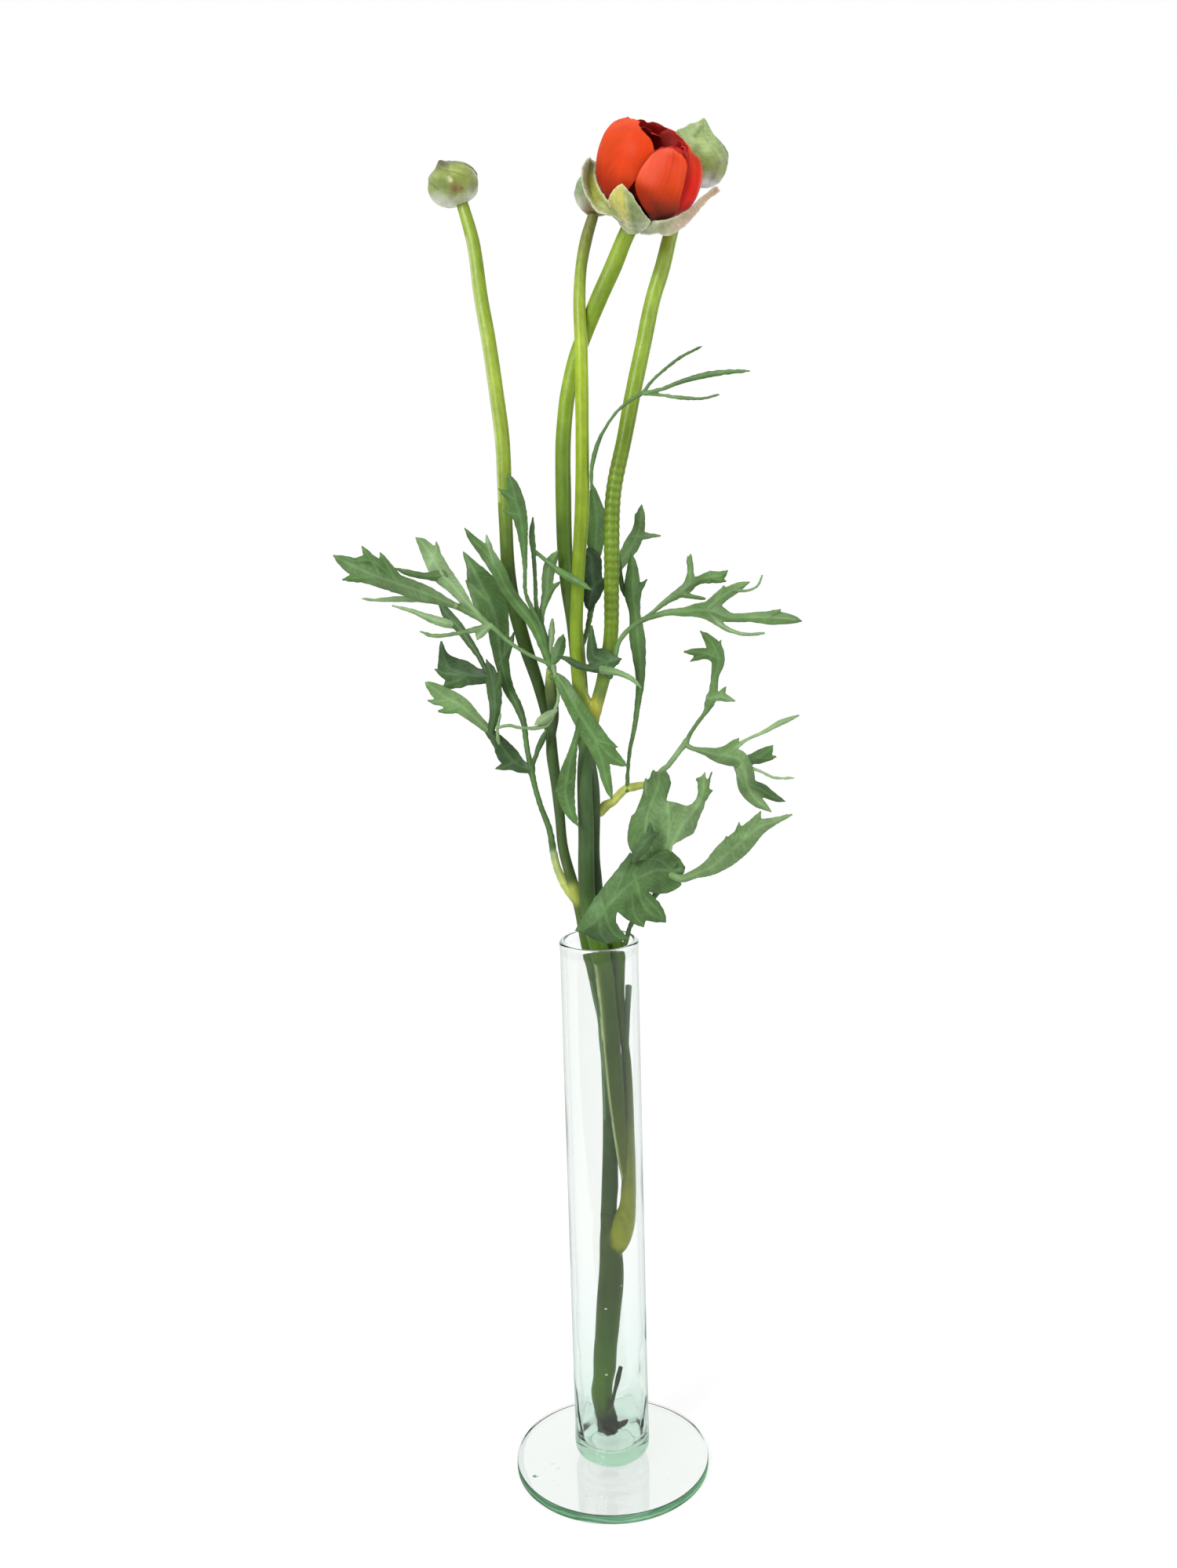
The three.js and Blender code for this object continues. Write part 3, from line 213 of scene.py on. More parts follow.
def band(value, rise, fall):
    """1 between a rise and a fall, each a pair of values, or None where there is none."""
    start = step_up(*rise, value) if rise else 1
    end = 1 - step_up(*fall, value) if fall else 1
    return start * end


RIPPLE_OCTAVES = 2
RIPPLE_WAVES = 5
RIPPLE_PEAK = 3.2


def ripple(points, size, seed):
    """Smooth noise of about -1 to 1 at points in millimetres, from sine waves of a given length."""
    waves = np.random.default_rng(seed)
    out = np.zeros(len(points))
    for octave in range(RIPPLE_OCTAVES):
        for _ in range(RIPPLE_WAVES):
            direction = unit(waves.normal(size=3))
            phase = waves.uniform(0, 2 * math.pi)
            wave = 2 * math.pi / (size * waves.uniform(0.7, 1.4) / 2**octave)
            out += np.sin(points @ direction * wave + phase) / 2**octave
    return out / RIPPLE_PEAK


# Materials

def new_material(name):
    material = bpy.data.materials.new(name)
    material.use_nodes = True
    return material, material.node_tree, material.node_tree.nodes["Principled BSDF"]


def node(tree, kind, inputs=(), **settings):
    made = tree.nodes.new(kind)
    for key, value in settings.items():
        setattr(made, key, value)
    for key, value in dict(inputs).items():
        if isinstance(value, bpy.types.NodeSocket):
            tree.links.new(value, made.inputs[key])
        else:
            made.inputs[key].default_value = value
    return made


def noise(tree, scale, detail=3.0, stretch=(1, 1, 1)):
    place = node(tree, "ShaderNodeTexCoord").outputs["Object"]
    mapped = node(tree, "ShaderNodeMapping", {"Vector": place, "Scale": stretch}).outputs["Vector"]
    inputs = {"Vector": mapped, "Scale": scale, "Detail": detail}
    return node(tree, "ShaderNodeTexNoise", inputs).outputs["Fac"]


def remap(tree, value, low, high, start=0.3, end=0.7):
    ranged = node(tree, "ShaderNodeMapRange", {
        "Value": value, "From Min": start, "From Max": end, "To Min": low, "To Max": high})
    return ranged.outputs["Result"]


def scaled_colour(tree, colour, factor):
    """A colour made lighter or darker by a factor."""
    inputs = {0: colour, "Scale": factor}
    return node(tree, "ShaderNodeVectorMath", inputs, operation="SCALE").outputs["Vector"]


def bump(tree, height, distance, strength=0.5):
    inputs = {"Height": height, "Distance": distance, "Strength": strength}
    return node(tree, "ShaderNodeBump", inputs).outputs["Normal"]


def times(tree, a, b):
    return node(tree, "ShaderNodeMath", {0: a, 1: b}, operation="MULTIPLY").outputs[0]


def object_axes(tree):
    """The surface's own x, y and z, in metres."""
    place = node(tree, "ShaderNodeTexCoord").outputs["Object"]
    return node(tree, "ShaderNodeSeparateXYZ", {0: place}).outputs


def tinted(tree):
    return node(tree, "ShaderNodeAttribute", attribute_name="tint").outputs["Color"]


SHEEN_ROUGHNESS = 0.4
SOFT_RADIUS = (1.0, 0.6, 0.25)
SOFT_SCALE = 0.0012
DULL_SPECULAR = 0.06
DULL_FADE = 0.004


def living(name, roughness, coarse, fine, depth, sheen=0.0, soft=0.0, specular=0.35, spread=0.14,
           dull_below=0.0):
    """Plant tissue: its own tint with mottling at two scales, cells as bump, and the gloss a little uneven.
    The gloss is dull below a height in metres."""
    material, tree, shader = new_material(name)
    mottle = noise(tree, coarse, 4)
    cells = noise(tree, fine, 5)
    shade = times(tree, remap(tree, mottle, 1 - spread, 1 + spread),
                  remap(tree, cells, 1 - spread / 2, 1 + spread / 2))
    tree.links.new(scaled_colour(tree, tinted(tree), shade), shader.inputs["Base Color"])
    tree.links.new(remap(tree, cells, roughness - 0.08, roughness + 0.1), shader.inputs["Roughness"])
    tree.links.new(bump(tree, cells, depth), shader.inputs["Normal"])
    shader.inputs["Specular IOR Level"].default_value = specular
    if dull_below:
        height = object_axes(tree)["Z"]
        gloss = remap(tree, height, DULL_SPECULAR, specular, dull_below - DULL_FADE, dull_below + DULL_FADE)
        tree.links.new(gloss, shader.inputs["Specular IOR Level"])
    shader.inputs["Sheen Weight"].default_value = sheen
    shader.inputs["Sheen Roughness"].default_value = SHEEN_ROUGHNESS
    if soft:
        shader.inputs["Subsurface Weight"].default_value = soft
        shader.inputs["Subsurface Radius"].default_value = SOFT_RADIUS
        shader.inputs["Subsurface Scale"].default_value = SOFT_SCALE
    return material


def glass_material(name, ior, absorbed, density):
    """Clear glass or water, tinted by its thickness, with a faint streak along its height."""
    material, tree, shader = new_material(name)
    shader.inputs["Base Color"].default_value = (1, 1, 1, 1)
    shader.inputs["Transmission Weight"].default_value = 1.0
    shader.inputs["IOR"].default_value = ior
    streak = noise(tree, 60, 2, (1, 1, 0.25))
    tree.links.new(remap(tree, streak, 0.0, 0.008), shader.inputs["Roughness"])
    tree.links.new(bump(tree, streak, 0.0003, 0.12), shader.inputs["Normal"])
    inside = node(tree, "ShaderNodeVolumeAbsorption", {"Color": (*absorbed, 1), "Density": density})
    tree.links.new(inside.outputs[0], tree.nodes["Material Output"].inputs["Volume"])
    return material, tree, shader


def colour_bands(tree, value, bands):
    """A colour ramp; its first two bands are the ones at 0 and 1."""
    made = node(tree, "ShaderNodeValToRGB", {"Fac": value})
    stops = made.color_ramp.elements
    for i, (place, colour) in enumerate(bands):
        stop = stops[i] if i < 2 else stops.new(place)
        stop.position, stop.color = place, (*linear(colour), 1)
    return made.outputs["Color"]


EDGE_REACH = (0.03895, 0.03915)  # metres from the axis
EDGE_HEIGHT = 0.0039
EDGE_SHARE = 0.85
EDGE_BANDS = [
    (0.0, (170, 214, 184)), (1.0, (120, 168, 138)), (0.12, (66, 118, 84)), (0.3, (118, 172, 132)),
    (0.48, (150, 196, 156)), (0.62, (84, 140, 100)), (0.8, (112, 164, 128)), (0.9, (70, 118, 88)),
]
THICK_HEIGHT = 0.1
THICK_BANDS = [
    (0.0, (255, 255, 255)), (1.0, (255, 255, 255)), (0.046, (255, 255, 255)), (0.055, (242, 252, 246)),
    (0.2, (242, 251, 247)), (0.5, (249, 253, 252)), (0.8, (253, 254, 254)),
]
# Painted light: the pale glow given off at the glass tube's sides.
SIDE_GLOW_SHARE = 0.75
SIDE_GLOW_GRAZING = (0.62, 0.93)
SIDE_GLOW_START = (0.0042, 0.008)
SIDE_GLOW_FADE = (0.02, 0.12)
SIDE_GLOW_LOW = (176, 208, 192)
SIDE_GLOW_HIGH = (222, 233, 229)


def edge_glow(tree, axes):
    """Soft green light in uneven bands up the foot's edge, and where it is seen."""
    flat = node(tree, "ShaderNodeCombineXYZ", {"X": axes["X"], "Y": axes["Y"]}).outputs[0]
    reach = node(tree, "ShaderNodeVectorMath", {0: flat}, operation="LENGTH").outputs["Value"]
    on_edge = remap(tree, reach, 0, EDGE_SHARE, *EDGE_REACH)
    outside = remap(tree, node(tree, "ShaderNodeNewGeometry").outputs["Backfacing"], 1, 0, 0, 1)
    share = times(tree, on_edge, outside)
    height = node(tree, "ShaderNodeMath", {
        0: remap(tree, axes["Z"], 0, 1, 0, EDGE_HEIGHT),
        1: remap(tree, noise(tree, 60, 3, (1, 1, 4)), -0.22, 0.22)}, operation="ADD").outputs[0]
    streaks = remap(tree, noise(tree, 34, 2, (1, 1, 3)), 0.7, 1.25)
    colour = scaled_colour(tree, colour_bands(tree, height, EDGE_BANDS), streaks)
    return share, node(tree, "ShaderNodeEmission", {"Color": colour}).outputs[0]


def painted_side_glow(tree, axes):
    """Painted light: a pale glow given off at a tube's sides, where its wall is seen along its length."""
    grazing = node(tree, "ShaderNodeLayerWeight", {"Blend": 0.5}).outputs["Facing"]
    share = times(tree, remap(tree, grazing, 0, SIDE_GLOW_SHARE, *SIDE_GLOW_GRAZING),
                  remap(tree, axes["Z"], 0, 1, *SIDE_GLOW_START))
    ends = [node(tree, "ShaderNodeRGB").outputs[0] for _ in range(2)]
    for end, colour in zip(ends, (SIDE_GLOW_LOW, SIDE_GLOW_HIGH)):
        end.default_value = (*linear(colour), 1)
    side_glow_colour = node(tree, "ShaderNodeMix", {0: remap(tree, axes["Z"], 0, 1, *SIDE_GLOW_FADE)}, data_type="RGBA")
    tree.links.new(ends[0], side_glow_colour.inputs[6])
    tree.links.new(ends[1], side_glow_colour.inputs[7])
    return share, node(tree, "ShaderNodeEmission", {"Color": side_glow_colour.outputs[2]}).outputs[0]


def edged_glass(name, ior, absorbed, density):
    """Glass that is greener low down, with a painted pale glow at its sides and green light in the foot's
    edge.
    """
    material, tree, shader = glass_material(name, ior, absorbed, density)
    axes = object_axes(tree)
    low = remap(tree, axes["Z"], 0, 1, 0, THICK_HEIGHT)
    tree.links.new(colour_bands(tree, low, THICK_BANDS), shader.inputs["Base Color"])
    surface = shader.outputs[0]
    for share, light in (painted_side_glow(tree, axes), edge_glow(tree, axes)):
        surface = node(tree, "ShaderNodeMixShader", {0: share, 1: surface, 2: light}).outputs[0]
    tree.links.new(surface, tree.nodes["Material Output"].inputs["Surface"])
    return material


LEAF = living("leaf", 0.5, 90, 1400, 0.00012, sheen=0.08, specular=0.4, spread=0.1)
STEM = living("stem", 0.38, 120, 900, 0.0001, soft=0.12, specular=0.45, spread=0.1, dull_below=0.224)
PETAL = living("petal", 0.5, 70, 1600, 0.00006, soft=0.15, specular=0.14, spread=0.07)
SEPAL = living("sepal", 0.55, 220, 1500, 0.00012, sheen=0.2, soft=0.2, spread=0.14)
BUD = living("bud", 0.55, 260, 1500, 0.00014, sheen=0.3, soft=0.2, spread=0.16)
GLASS = edged_glass("glass", 1.5, (0.45, 0.76, 0.55), 24)
WATER, _, WATER_SHADER = glass_material("water", 1.04, (0.7, 0.94, 0.8), 4)
WATER_SHADER.inputs["Alpha"].default_value = 0.3


# Vase and water

UNDERSIDE_PROFILE = [[0.01, 0], [20, 0], [38.2, 0]]
EDGE_PROFILE = [
    [38.2, 0], [38.8, 0.04], [39.12, 0.22], [39.2, 0.6], [39.2, 2.0], [39.2, 3.3], [39.12, 3.7],
    [38.85, 3.88], [38.2, 3.95],
]
FOOT_PROFILE = [[38.2, 3.95], [30, 4.1], [20, 4.25], [13, 4.35], [11.2, 4.45]]
NECK_PROFILE = [
    [11.2, 4.45], [10.2, 4.65], [9.85, 5.2], [10.0, 5.9], [11.0, 6.4], [12.6, 6.9], [14.0, 7.6], [14.8, 8.6],
    [15.05, 10.2], [15.05, 15], [15, 22],
]
TUBE_PROFILE = [[15, 22], [15, 60], [15, 120], [15, 180], [15, 216]]
LIP_PROFILE = [
    [15, 216], [15.05, 220], [15.22, 222], [15.2, 223.2], [14.7, 223.85], [14, 224], [13.3, 223.8],
    [12.95, 223], [12.95, 221.5], [13, 216],
]
INNER_TUBE_PROFILE = [[13, 216], [13, 180], [13, 120], [13, 60], [13, 22]]
FLOOR_PROFILE = [[13, 22], [13, 16.5], [12.7, 14.4], [11.7, 12.9], [10.2, 12.3], [8, 12.05], [4, 12],
                 [0.01, 12]]
SECTIONS = [  # each with the step of its rings
    (UNDERSIDE_PROFILE, 4), (EDGE_PROFILE, 0.16), (FOOT_PROFILE, 2), (NECK_PROFILE, 0.35), (TUBE_PROFILE, 6),
    (LIP_PROFILE, 0.5), (INNER_TUBE_PROFILE, 6), (FLOOR_PROFILE, 0.9),
]
WATER_LEVEL = 31.0
VASE_SIDES = 112
INNER_RADIUS = 13.0
WALL_BITE = 0.06
FOOT_TOP = 5
FOOT_MIDDLE = 2.0
BORE_RADIUS = 13.2
BORE_HEIGHT = (13, 215)
BUBBLES = [  # [x, y, depth, height, width]
    [683, 1882, -24, 1.0, 2.8], [704, 1866, -12, 0.5, 1.8], [711, 1872, -15, 0.5, 1.6],
    [772, 1668, -14, 0.9, 1.1], [773, 1752, -14, 1.0, 1.2], [791, 1638, -12.6, 0.6, 0.6],
    [748, 1907, -31, 0.45, 0.6], [884, 1855, -3, 0.3, 0.4], [853, 1886, -22, 0.35, 0.4],
    [741, 1749, -10.4, 0.3, 0.5], [800, 1838, -8, 0.35, 0.45], [757, 1842, -9, 0.3, 0.4],
]


def lathe(profile, sides, wobble=None):
    """A closed body turned about the vase's axis. The profile's ends lie on the axis."""
    turn = np.linspace(0, 2 * math.pi, sides, endpoint=False)
    ring = np.stack([np.cos(turn), np.sin(turn), np.zeros(sides)], axis=1)
    points = (ring[None] * profile[:, None, :1]) + np.array([0, 0, 1.0]) * profile[:, None, 1:2]
    if wobble is not None:
        points = wobble(points)
    return points.reshape(-1, 3), capped_faces(len(profile), sides), {}


POLE = 0.02


def ball(centre, radii, across=14, down=9):
    """A closed ball of three radii, with its poles up and down."""
    polar = np.linspace(POLE, math.pi - POLE, down)
    turn = np.linspace(0, 2 * math.pi, across, endpoint=False)
    unit_ball = np.stack([
        np.sin(polar)[:, None] * np.cos(turn), np.sin(polar)[:, None] * np.sin(turn),
        np.cos(polar)[:, None] * np.ones(across)], axis=-1).reshape(-1, 3)
    return centre + unit_ball * np.asarray(radii), capped_faces(down, across), {}


def blown(points):
    """The walls of hand-blown glass: a little uneven, most of all low inside the tube."""
    flat = points.reshape(-1, 3)
    radius = np.hypot(flat[:, 0], flat[:, 1])
    height = flat[:, 2]
    inside = (radius < BORE_RADIUS) & (height > BORE_HEIGHT[0]) & (height < BORE_HEIGHT[1])
    low = 1 - step_up(30, 90, height)
    dents = ripple(flat, 26, 3) * (0.05 + 0.12 * low)
    dents = dents + ripple(flat * np.array([1, 1, 0.55]), 8, 6) * 0.3 * low
    shift = np.where(inside, dents, ripple(flat, 60, 4) * 0.05)
    shift *= step_up(1, 5, height) * (1 - 0.8 * step_up(150, 220, height))
    flat = flat.copy()
    flat[:, :2] *= (1 + shift / np.maximum(radius, 5))[:, None]
    return flat.reshape(points.shape)


def vase_body():
    profile = np.concatenate([
        smooth(section, step, 2)[1 if i else 0:] for i, (section, step) in enumerate(SECTIONS)])
    bodies = [lathe(profile, VASE_SIDES, blown)]
    for x, y, depth, size, length in BUBBLES:
        place = spot(x, y, depth)
        if place[2] < FOOT_TOP:
            place[2] = FOOT_MIDDLE
        points, faces, tint = ball(place, (length / 2, size / 2, size / 2))
        bodies.append((points, [f[::-1] for f in faces], tint))
    return merged(bodies)


def water_body():
    """The pool meets the glass and climbs a little at its edge."""
    edge, level = INNER_RADIUS + WALL_BITE, WATER_LEVEL
    profile = np.array([
        [0.01, 11.96], [4, 11.96], [8, 12.0], [10.2, 12.24], [11.75, 12.84], [12.76, 14.38], [edge, 16.5],
        [edge, 21], [edge, 26], [edge, level - 0.2], [edge, level + 0.2], [12.7, level + 0.05],
        [12.0, level - 0.08], [10.4, level - 0.1], [5, level - 0.1], [0.01, level - 0.1]])
    return lathe(profile, VASE_SIDES)


# The stem. Stations are [x, y, depth, width], with the width in pixels. Its colours are given down the
# picture's y, for each stalk.

STEM_PARTS = {
    "lower_stem": [
        [776, 1822, 0, 20], [775, 1810, 0, 24], [771, 1796, 0, 24], [767.5, 1778, 0, 25],
        [770, 1740, 0, 26.5], [773.5, 1692, 0, 28.5], [779, 1602, 0, 28], [777.5, 1582, 0, 25],
        [776, 1560, 0.5, 21], [775.5, 1545, 1.5, 20],
    ],
    "middle_stem": [
        [794, 1560, 0, 18], [799, 1535, 0.2, 14], [797.5, 1508, 0, 10], [793, 1475, -0.7, 13],
        [789.5, 1440, -1.2, 17], [785, 1396, -1.5, 21], [778, 1320, -2, 23], [773, 1269, -2, 22],
        [770, 1240, -2.2, 23], [765, 1214, -2.5, 23], [754, 1180, -2.8, 21], [750.5, 1160, -3, 21],
        [747, 1060, -3.5, 20], [747.5, 955, -4, 19], [753, 925, -4, 19], [755, 905, -4, 23],
        [756, 896, -4, 20],
    ],
    "left_stem": [
        [777.5, 1582, 0, 20], [776, 1555, 1.5, 20], [777, 1520, 3, 20.5], [777.5, 1487, 4, 19.5],
        [777.7, 1396, 5.5, 19.5], [768, 1290, 6, 18], [757.7, 1240, 6, 18], [747, 1195, 5.5, 17],
        [739, 1155, 5, 16], [728, 1120, 5, 14], [717.5, 1080, 4, 13], [713.5, 1040, 3.5, 13],
        [709, 1000, 3, 14], [703.5, 960, 2, 15], [702, 938, 2, 15], [695, 905, 1.5, 14], [687, 876, 1, 15],
        [667, 815, 0, 18], [651, 751, 0, 18], [644.2, 660, 1.5, 17.5], [640, 560, 4.5, 19],
        [631, 490, 7, 18.5], [622, 430, 9.5, 18], [613, 380, 12, 17.5], [602, 305, 15.2, 16],
        [588, 256, 17.8, 14],
    ],
    "right_stem": [
        [788, 1594, -0.8, 12], [789, 1586, -1.2, 21], [790.5, 1575, -1.2, 27], [793, 1560, -0.6, 30],
        [799, 1542, 0, 24], [801.2, 1520, 0.4, 20], [802, 1490, 0.5, 17.5], [802.5, 1460, 0.6, 15],
        [802.4, 1420, 0.8, 13.5], [801.2, 1380, 1.8, 12.5], [798, 1340, 3, 12.5], [792.5, 1300, 3.4, 14],
        [789.5, 1270, 3.5, 14.5], [787.5, 1242, 3.5, 19], [786, 1212, 3.8, 21], [777, 1185, 4, 18],
        [765, 1160, 4, 18], [757, 1110, 4, 18], [754.5, 1000, 4, 18], [746, 950, 4, 19], [738, 860, 4, 20],
        [733, 803, 3.5, 20], [723, 739, 3, 19.5], [718, 630, 3, 20], [718.5, 550, 3.5, 19.5],
        [724, 500, 4, 19], [733, 460, 4, 19], [747.5, 420, 3, 19.5], [763.5, 380, 1, 21],
        [781.5, 340, -0.5, 21], [797, 302, -2.5, 20], [802.5, 290.2, -3.2, 20],
    ],
    "back_left_stalk": [
        [756, 910, -4, 18], [743, 888, -5, 17], [735.5, 832, -6, 16.5], [736.6, 739, -8, 16.2],
        [742, 640, -7.5, 18], [742, 560, -6, 16.5], [741.5, 500, -4, 16.5], [740.5, 440, -2.5, 16],
        [738.5, 380, 1, 15], [740.8, 340, 5, 14], [748.5, 300, 9, 14.5], [756, 275, 11, 13],
    ],
    "back_right_stalk": [
        [756, 912, -4, 18], [770, 862, -4, 18], [777, 825, -4, 18], [779.5, 740, -3, 18.8],
        [783, 620, -1, 19.4], [795.5, 560, 0.5, 19], [806, 505, 2, 19.5], [819.8, 440, 3.5, 19.6],
        [832.5, 380, 5, 19], [844.5, 340, 6.5, 19], [854.3, 300, 8, 17.5], [862, 275, 9.5, 15],
        [874, 253, 11.5, 13], [886, 240, 12.7, 12],
    ],
    "leafy_branch": [
        [702, 940, 1.5, 13], [705, 915, 0, 14], [702, 880, -2, 15], [702, 852, -4, 11],
    ],
    "cut_leaf_stalk": [
        [798.5, 1338, 2.5, 8], [800, 1295, 1.6, 7.5], [802, 1256, 1, 9],
    ],
    "torn_bark": [
        [772, 1801, -2, 8], [779, 1790, -4, 5.5], [783, 1778, -5, 4.5], [785.5, 1765, -5, 4],
        [787.5, 1753, -5, 6], [790.5, 1741, -5, 5],
    ],
    "torn_base": [
        [776, 1812, 0, 14], [784, 1815, -1, 12], [790, 1815, -2, 7], [795, 1812, -2.5, 6], [799, 1808, -3, 3],
    ],
}

STEM_SIDES = 20
STEM_STEP = 3.0
STALK_RIBS = 6
LIGHT_STALK = [(250, (150, 172, 62)), (330, (138, 166, 50)), (480, (152, 174, 54)), (600, (134, 160, 42)),
               (660, (98, 126, 36)), (760, (58, 82, 26)), (900, (54, 78, 30)), (960, (70, 96, 50)),
               (1060, (74, 98, 52)), (1110, (78, 100, 48)), (1160, (80, 108, 46)), (1300, (70, 108, 42)),
               (1500, (52, 84, 26)), (1560, (62, 92, 28))]
STALK_COLOURS = {
    "left_stem": LIGHT_STALK,
    "right_stem": [(290, (146, 172, 52)), (380, (122, 150, 34)), (490, (140, 168, 40)), (560, (112, 144, 32)),
                   (700, (80, 112, 30)), (770, (78, 104, 38)), (900, (70, 92, 48)), (1120, (60, 84, 46)),
                   (1200, (80, 112, 36)), (1360, (72, 106, 30)), (1410, (100, 118, 22)),
                   (1460, (120, 134, 22)), (1545, (150, 162, 30)), (1580, (160, 172, 40)),
                   (1590, (110, 124, 36))],
    "back_left_stalk": [(275, (112, 116, 56)), (310, (120, 130, 60)), (350, (144, 166, 62)),
                        (470, (156, 180, 42)), (600, (134, 160, 26)), (740, (118, 144, 30)),
                        (840, (126, 154, 38)), (890, (138, 160, 60)), (915, (176, 180, 66))],
    "back_right_stalk": [(240, (146, 168, 64)), (320, (146, 172, 62)), (470, (138, 166, 48)),
                         (540, (110, 136, 24)), (620, (110, 138, 36)), (800, (108, 136, 32)),
                         (840, (112, 140, 44)), (880, (112, 138, 62)), (915, (170, 174, 62))],
    "middle_stem": [(896, (172, 176, 60)), (925, (100, 122, 52)), (960, (72, 100, 56)), (1100, (66, 94, 52)),
                    (1210, (78, 112, 32)), (1320, (64, 92, 24)), (1420, (76, 98, 30)), (1480, (92, 112, 30)),
                    (1560, (140, 152, 40))],
    "lower_stem": [(1545, (66, 88, 26)), (1600, (66, 90, 24)), (1640, (66, 90, 20)), (1700, (70, 104, 24)),
                   (1770, (88, 128, 30)), (1794, (74, 96, 36)), (1803, (42, 44, 36))],
    "leafy_branch": [(850, (120, 138, 60)), (900, (60, 84, 48)), (940, (74, 98, 56))],
    "cut_leaf_stalk": [(1256, (84, 124, 90)), (1300, (64, 100, 62)), (1335, (92, 130, 84))],
    "torn_bark": [(1741, (44, 58, 34)), (1792, (70, 84, 44))],
    "torn_base": [(1806, (120, 74, 56)), (1813, (84, 62, 48)), (1816, (52, 50, 42))],
}
NODE_RINGS = [[790, 1573, -0.6, 27, (158, 166, 50)], [755, 903, -4, 27, (186, 186, 70)],
              [702, 852, -4, 14, (150, 168, 80)], [733, 1140, 3, 18, (176, 186, 84)]]

# Painted highlights and reflections, as pale stripes down the sides of stalks.
STALK_HIGHLIGHT_STRIPES = [  # stalk, first y, last y, share of the way to the right edge, colour
    ("middle_stem", 1225, 1500, -0.92, (196, 212, 168)), ("left_stem", 1245, 1570, -0.95, (120, 160, 132)),
    ("lower_stem", 1560, 1790, 0.92, (150, 186, 140)), ("left_stem", 300, 640, -0.95, (190, 204, 140)),
    ("lower_stem", 1600, 1790, -0.95, (124, 158, 112)), ("right_stem", 1400, 1560, 0.95, (96, 140, 108)),
]


def line_places(line):
    """The places in millimetres of rows that start with x, y and depth."""
    return spot(line[:, 0], line[:, 1], line[:, 2])


def tube(samples, ribs=0.02, seed=1):
    """A closed stalk with faint lengthwise ribs and a slightly uneven girth."""
    along = np.arange(len(samples))[:, None]
    places = line_places(samples)
    tangent = unit(np.gradient(places, axis=0))
    view = unit(places - EYE)
    side = unit(np.cross(tangent, view))
    normal = np.cross(side, tangent)
    turn = np.linspace(0, 2 * math.pi, STEM_SIDES, endpoint=False)
    scale = np.linalg.norm(places - EYE, axis=1) / FOCAL
    rib = np.cos(turn * STALK_RIBS + 0.01 * along)
    swell = np.sin(along * 0.11 + seed) * 0.5 + np.sin(along * 0.31 + seed * 2) * 0.5
    radius = (samples[:, 3] * scale / 2)[:, None] * (1 + ribs * rib + 0.012 * swell)
    rings = places[:, None] + radius[..., None] * (
        np.cos(turn)[None, :, None] * side[:, None] + np.sin(turn)[None, :, None] * normal[:, None])
    return rings.reshape(-1, 3), capped_faces(len(samples), STEM_SIDES), {}


RIDGE_PITCH = 0.62
RIDGE_HEIGHT = 0.045
RIDGE_RISE, RIDGE_FALL = (560, 610), (770, 830)


def cross_ridges(samples):
    """Fine ridges across the back right stalk's middle, in its width."""
    out = samples.copy()
    y = out[:, 1]
    out[:, 3] *= 1 + RIDGE_HEIGHT * band(y, RIDGE_RISE, RIDGE_FALL) * np.sin(y * RIDGE_PITCH)
    return out


def plain_object(name, body):
    mesh = bpy.data.meshes.new(name)
    mesh.from_pydata(body[0].tolist(), [], body[1])
    made = bpy.data.objects.new(name, mesh)
    bpy.context.scene.collection.objects.link(made)
    return made


def united(bodies):
    """One closed body from several that overlap."""
    parts = [plain_object(f"part_{i}", body) for i, body in enumerate(bodies)]
    first = parts[0]
    for other in parts[1:]:
        joined = first.modifiers.new("join", "BOOLEAN")
        joined.operation = "UNION"
        joined.solver = "MANIFOLD"
        joined.object = other
    graph = bpy.context.evaluated_depsgraph_get()
    mesh = bpy.data.meshes.new_from_object(first.evaluated_get(graph))
    points = np.array([v.co[:] for v in mesh.vertices])
    faces = [tuple(f.vertices) for f in mesh.polygons]
    for part in parts:
        bpy.data.objects.remove(part)
    return points, faces


def relaxed(points, faces, weight, rounds):
    """Laplacian smoothing, in the share that each vertex's weight gives."""
    pairs = np.array(sorted({tuple(sorted(e)) for f in faces for e in zip(f, f[1:] + f[:1])}))
    degree = np.zeros(len(points))
    np.add.at(degree, pairs.ravel(), 1)
    for _ in range(rounds):
        total = np.zeros_like(points)
        np.add.at(total, pairs[:, 0], points[pairs[:, 1]])
        np.add.at(total, pairs[:, 1], points[pairs[:, 0]])
        points = points + (total / degree[:, None] - points) * weight[:, None]
    return points


POINT_BLOCK = 4000


def nearest(points, samples):
    """The index of the nearest sample to each point, and its distance."""
    index, distance = [], []
    for start in range(0, len(points), POINT_BLOCK):
        gap = np.linalg.norm(points[start:start + POINT_BLOCK, None] - samples[None], axis=2)
        index.append(gap.argmin(axis=1))
        distance.append(gap.min(axis=1))
    return np.concatenate(index), np.concatenate(distance)


COLLAR = [  # aside, down, share of the width
    (-1, 11, 0.72), (0, 5, 0.94), (0, 0, 1), (1, -6, 0.9), (1, -12, 0.66),
]
COLLAR_LEAST_WIDTH = 20
FORKS = [[784, 1560, 1], [797, 1535, 1], [755, 905, -4], [748, 890, -4.5], [768, 880, -4], [702, 940, 1.5],
         [768, 1300, 4], [797, 1330, 2.5]]
FORK_SOFTNESS = 0.55
FORK_REACH = (2.5, 7.5)
HIGHLIGHT_STRIPE_WIDTH = 0.22
DARK_BASE_TOP, DARK_BASE_FADE = 1800, 24
TORN_HEIGHT = (19, 24)
TUBE_TOP = (216, 228)


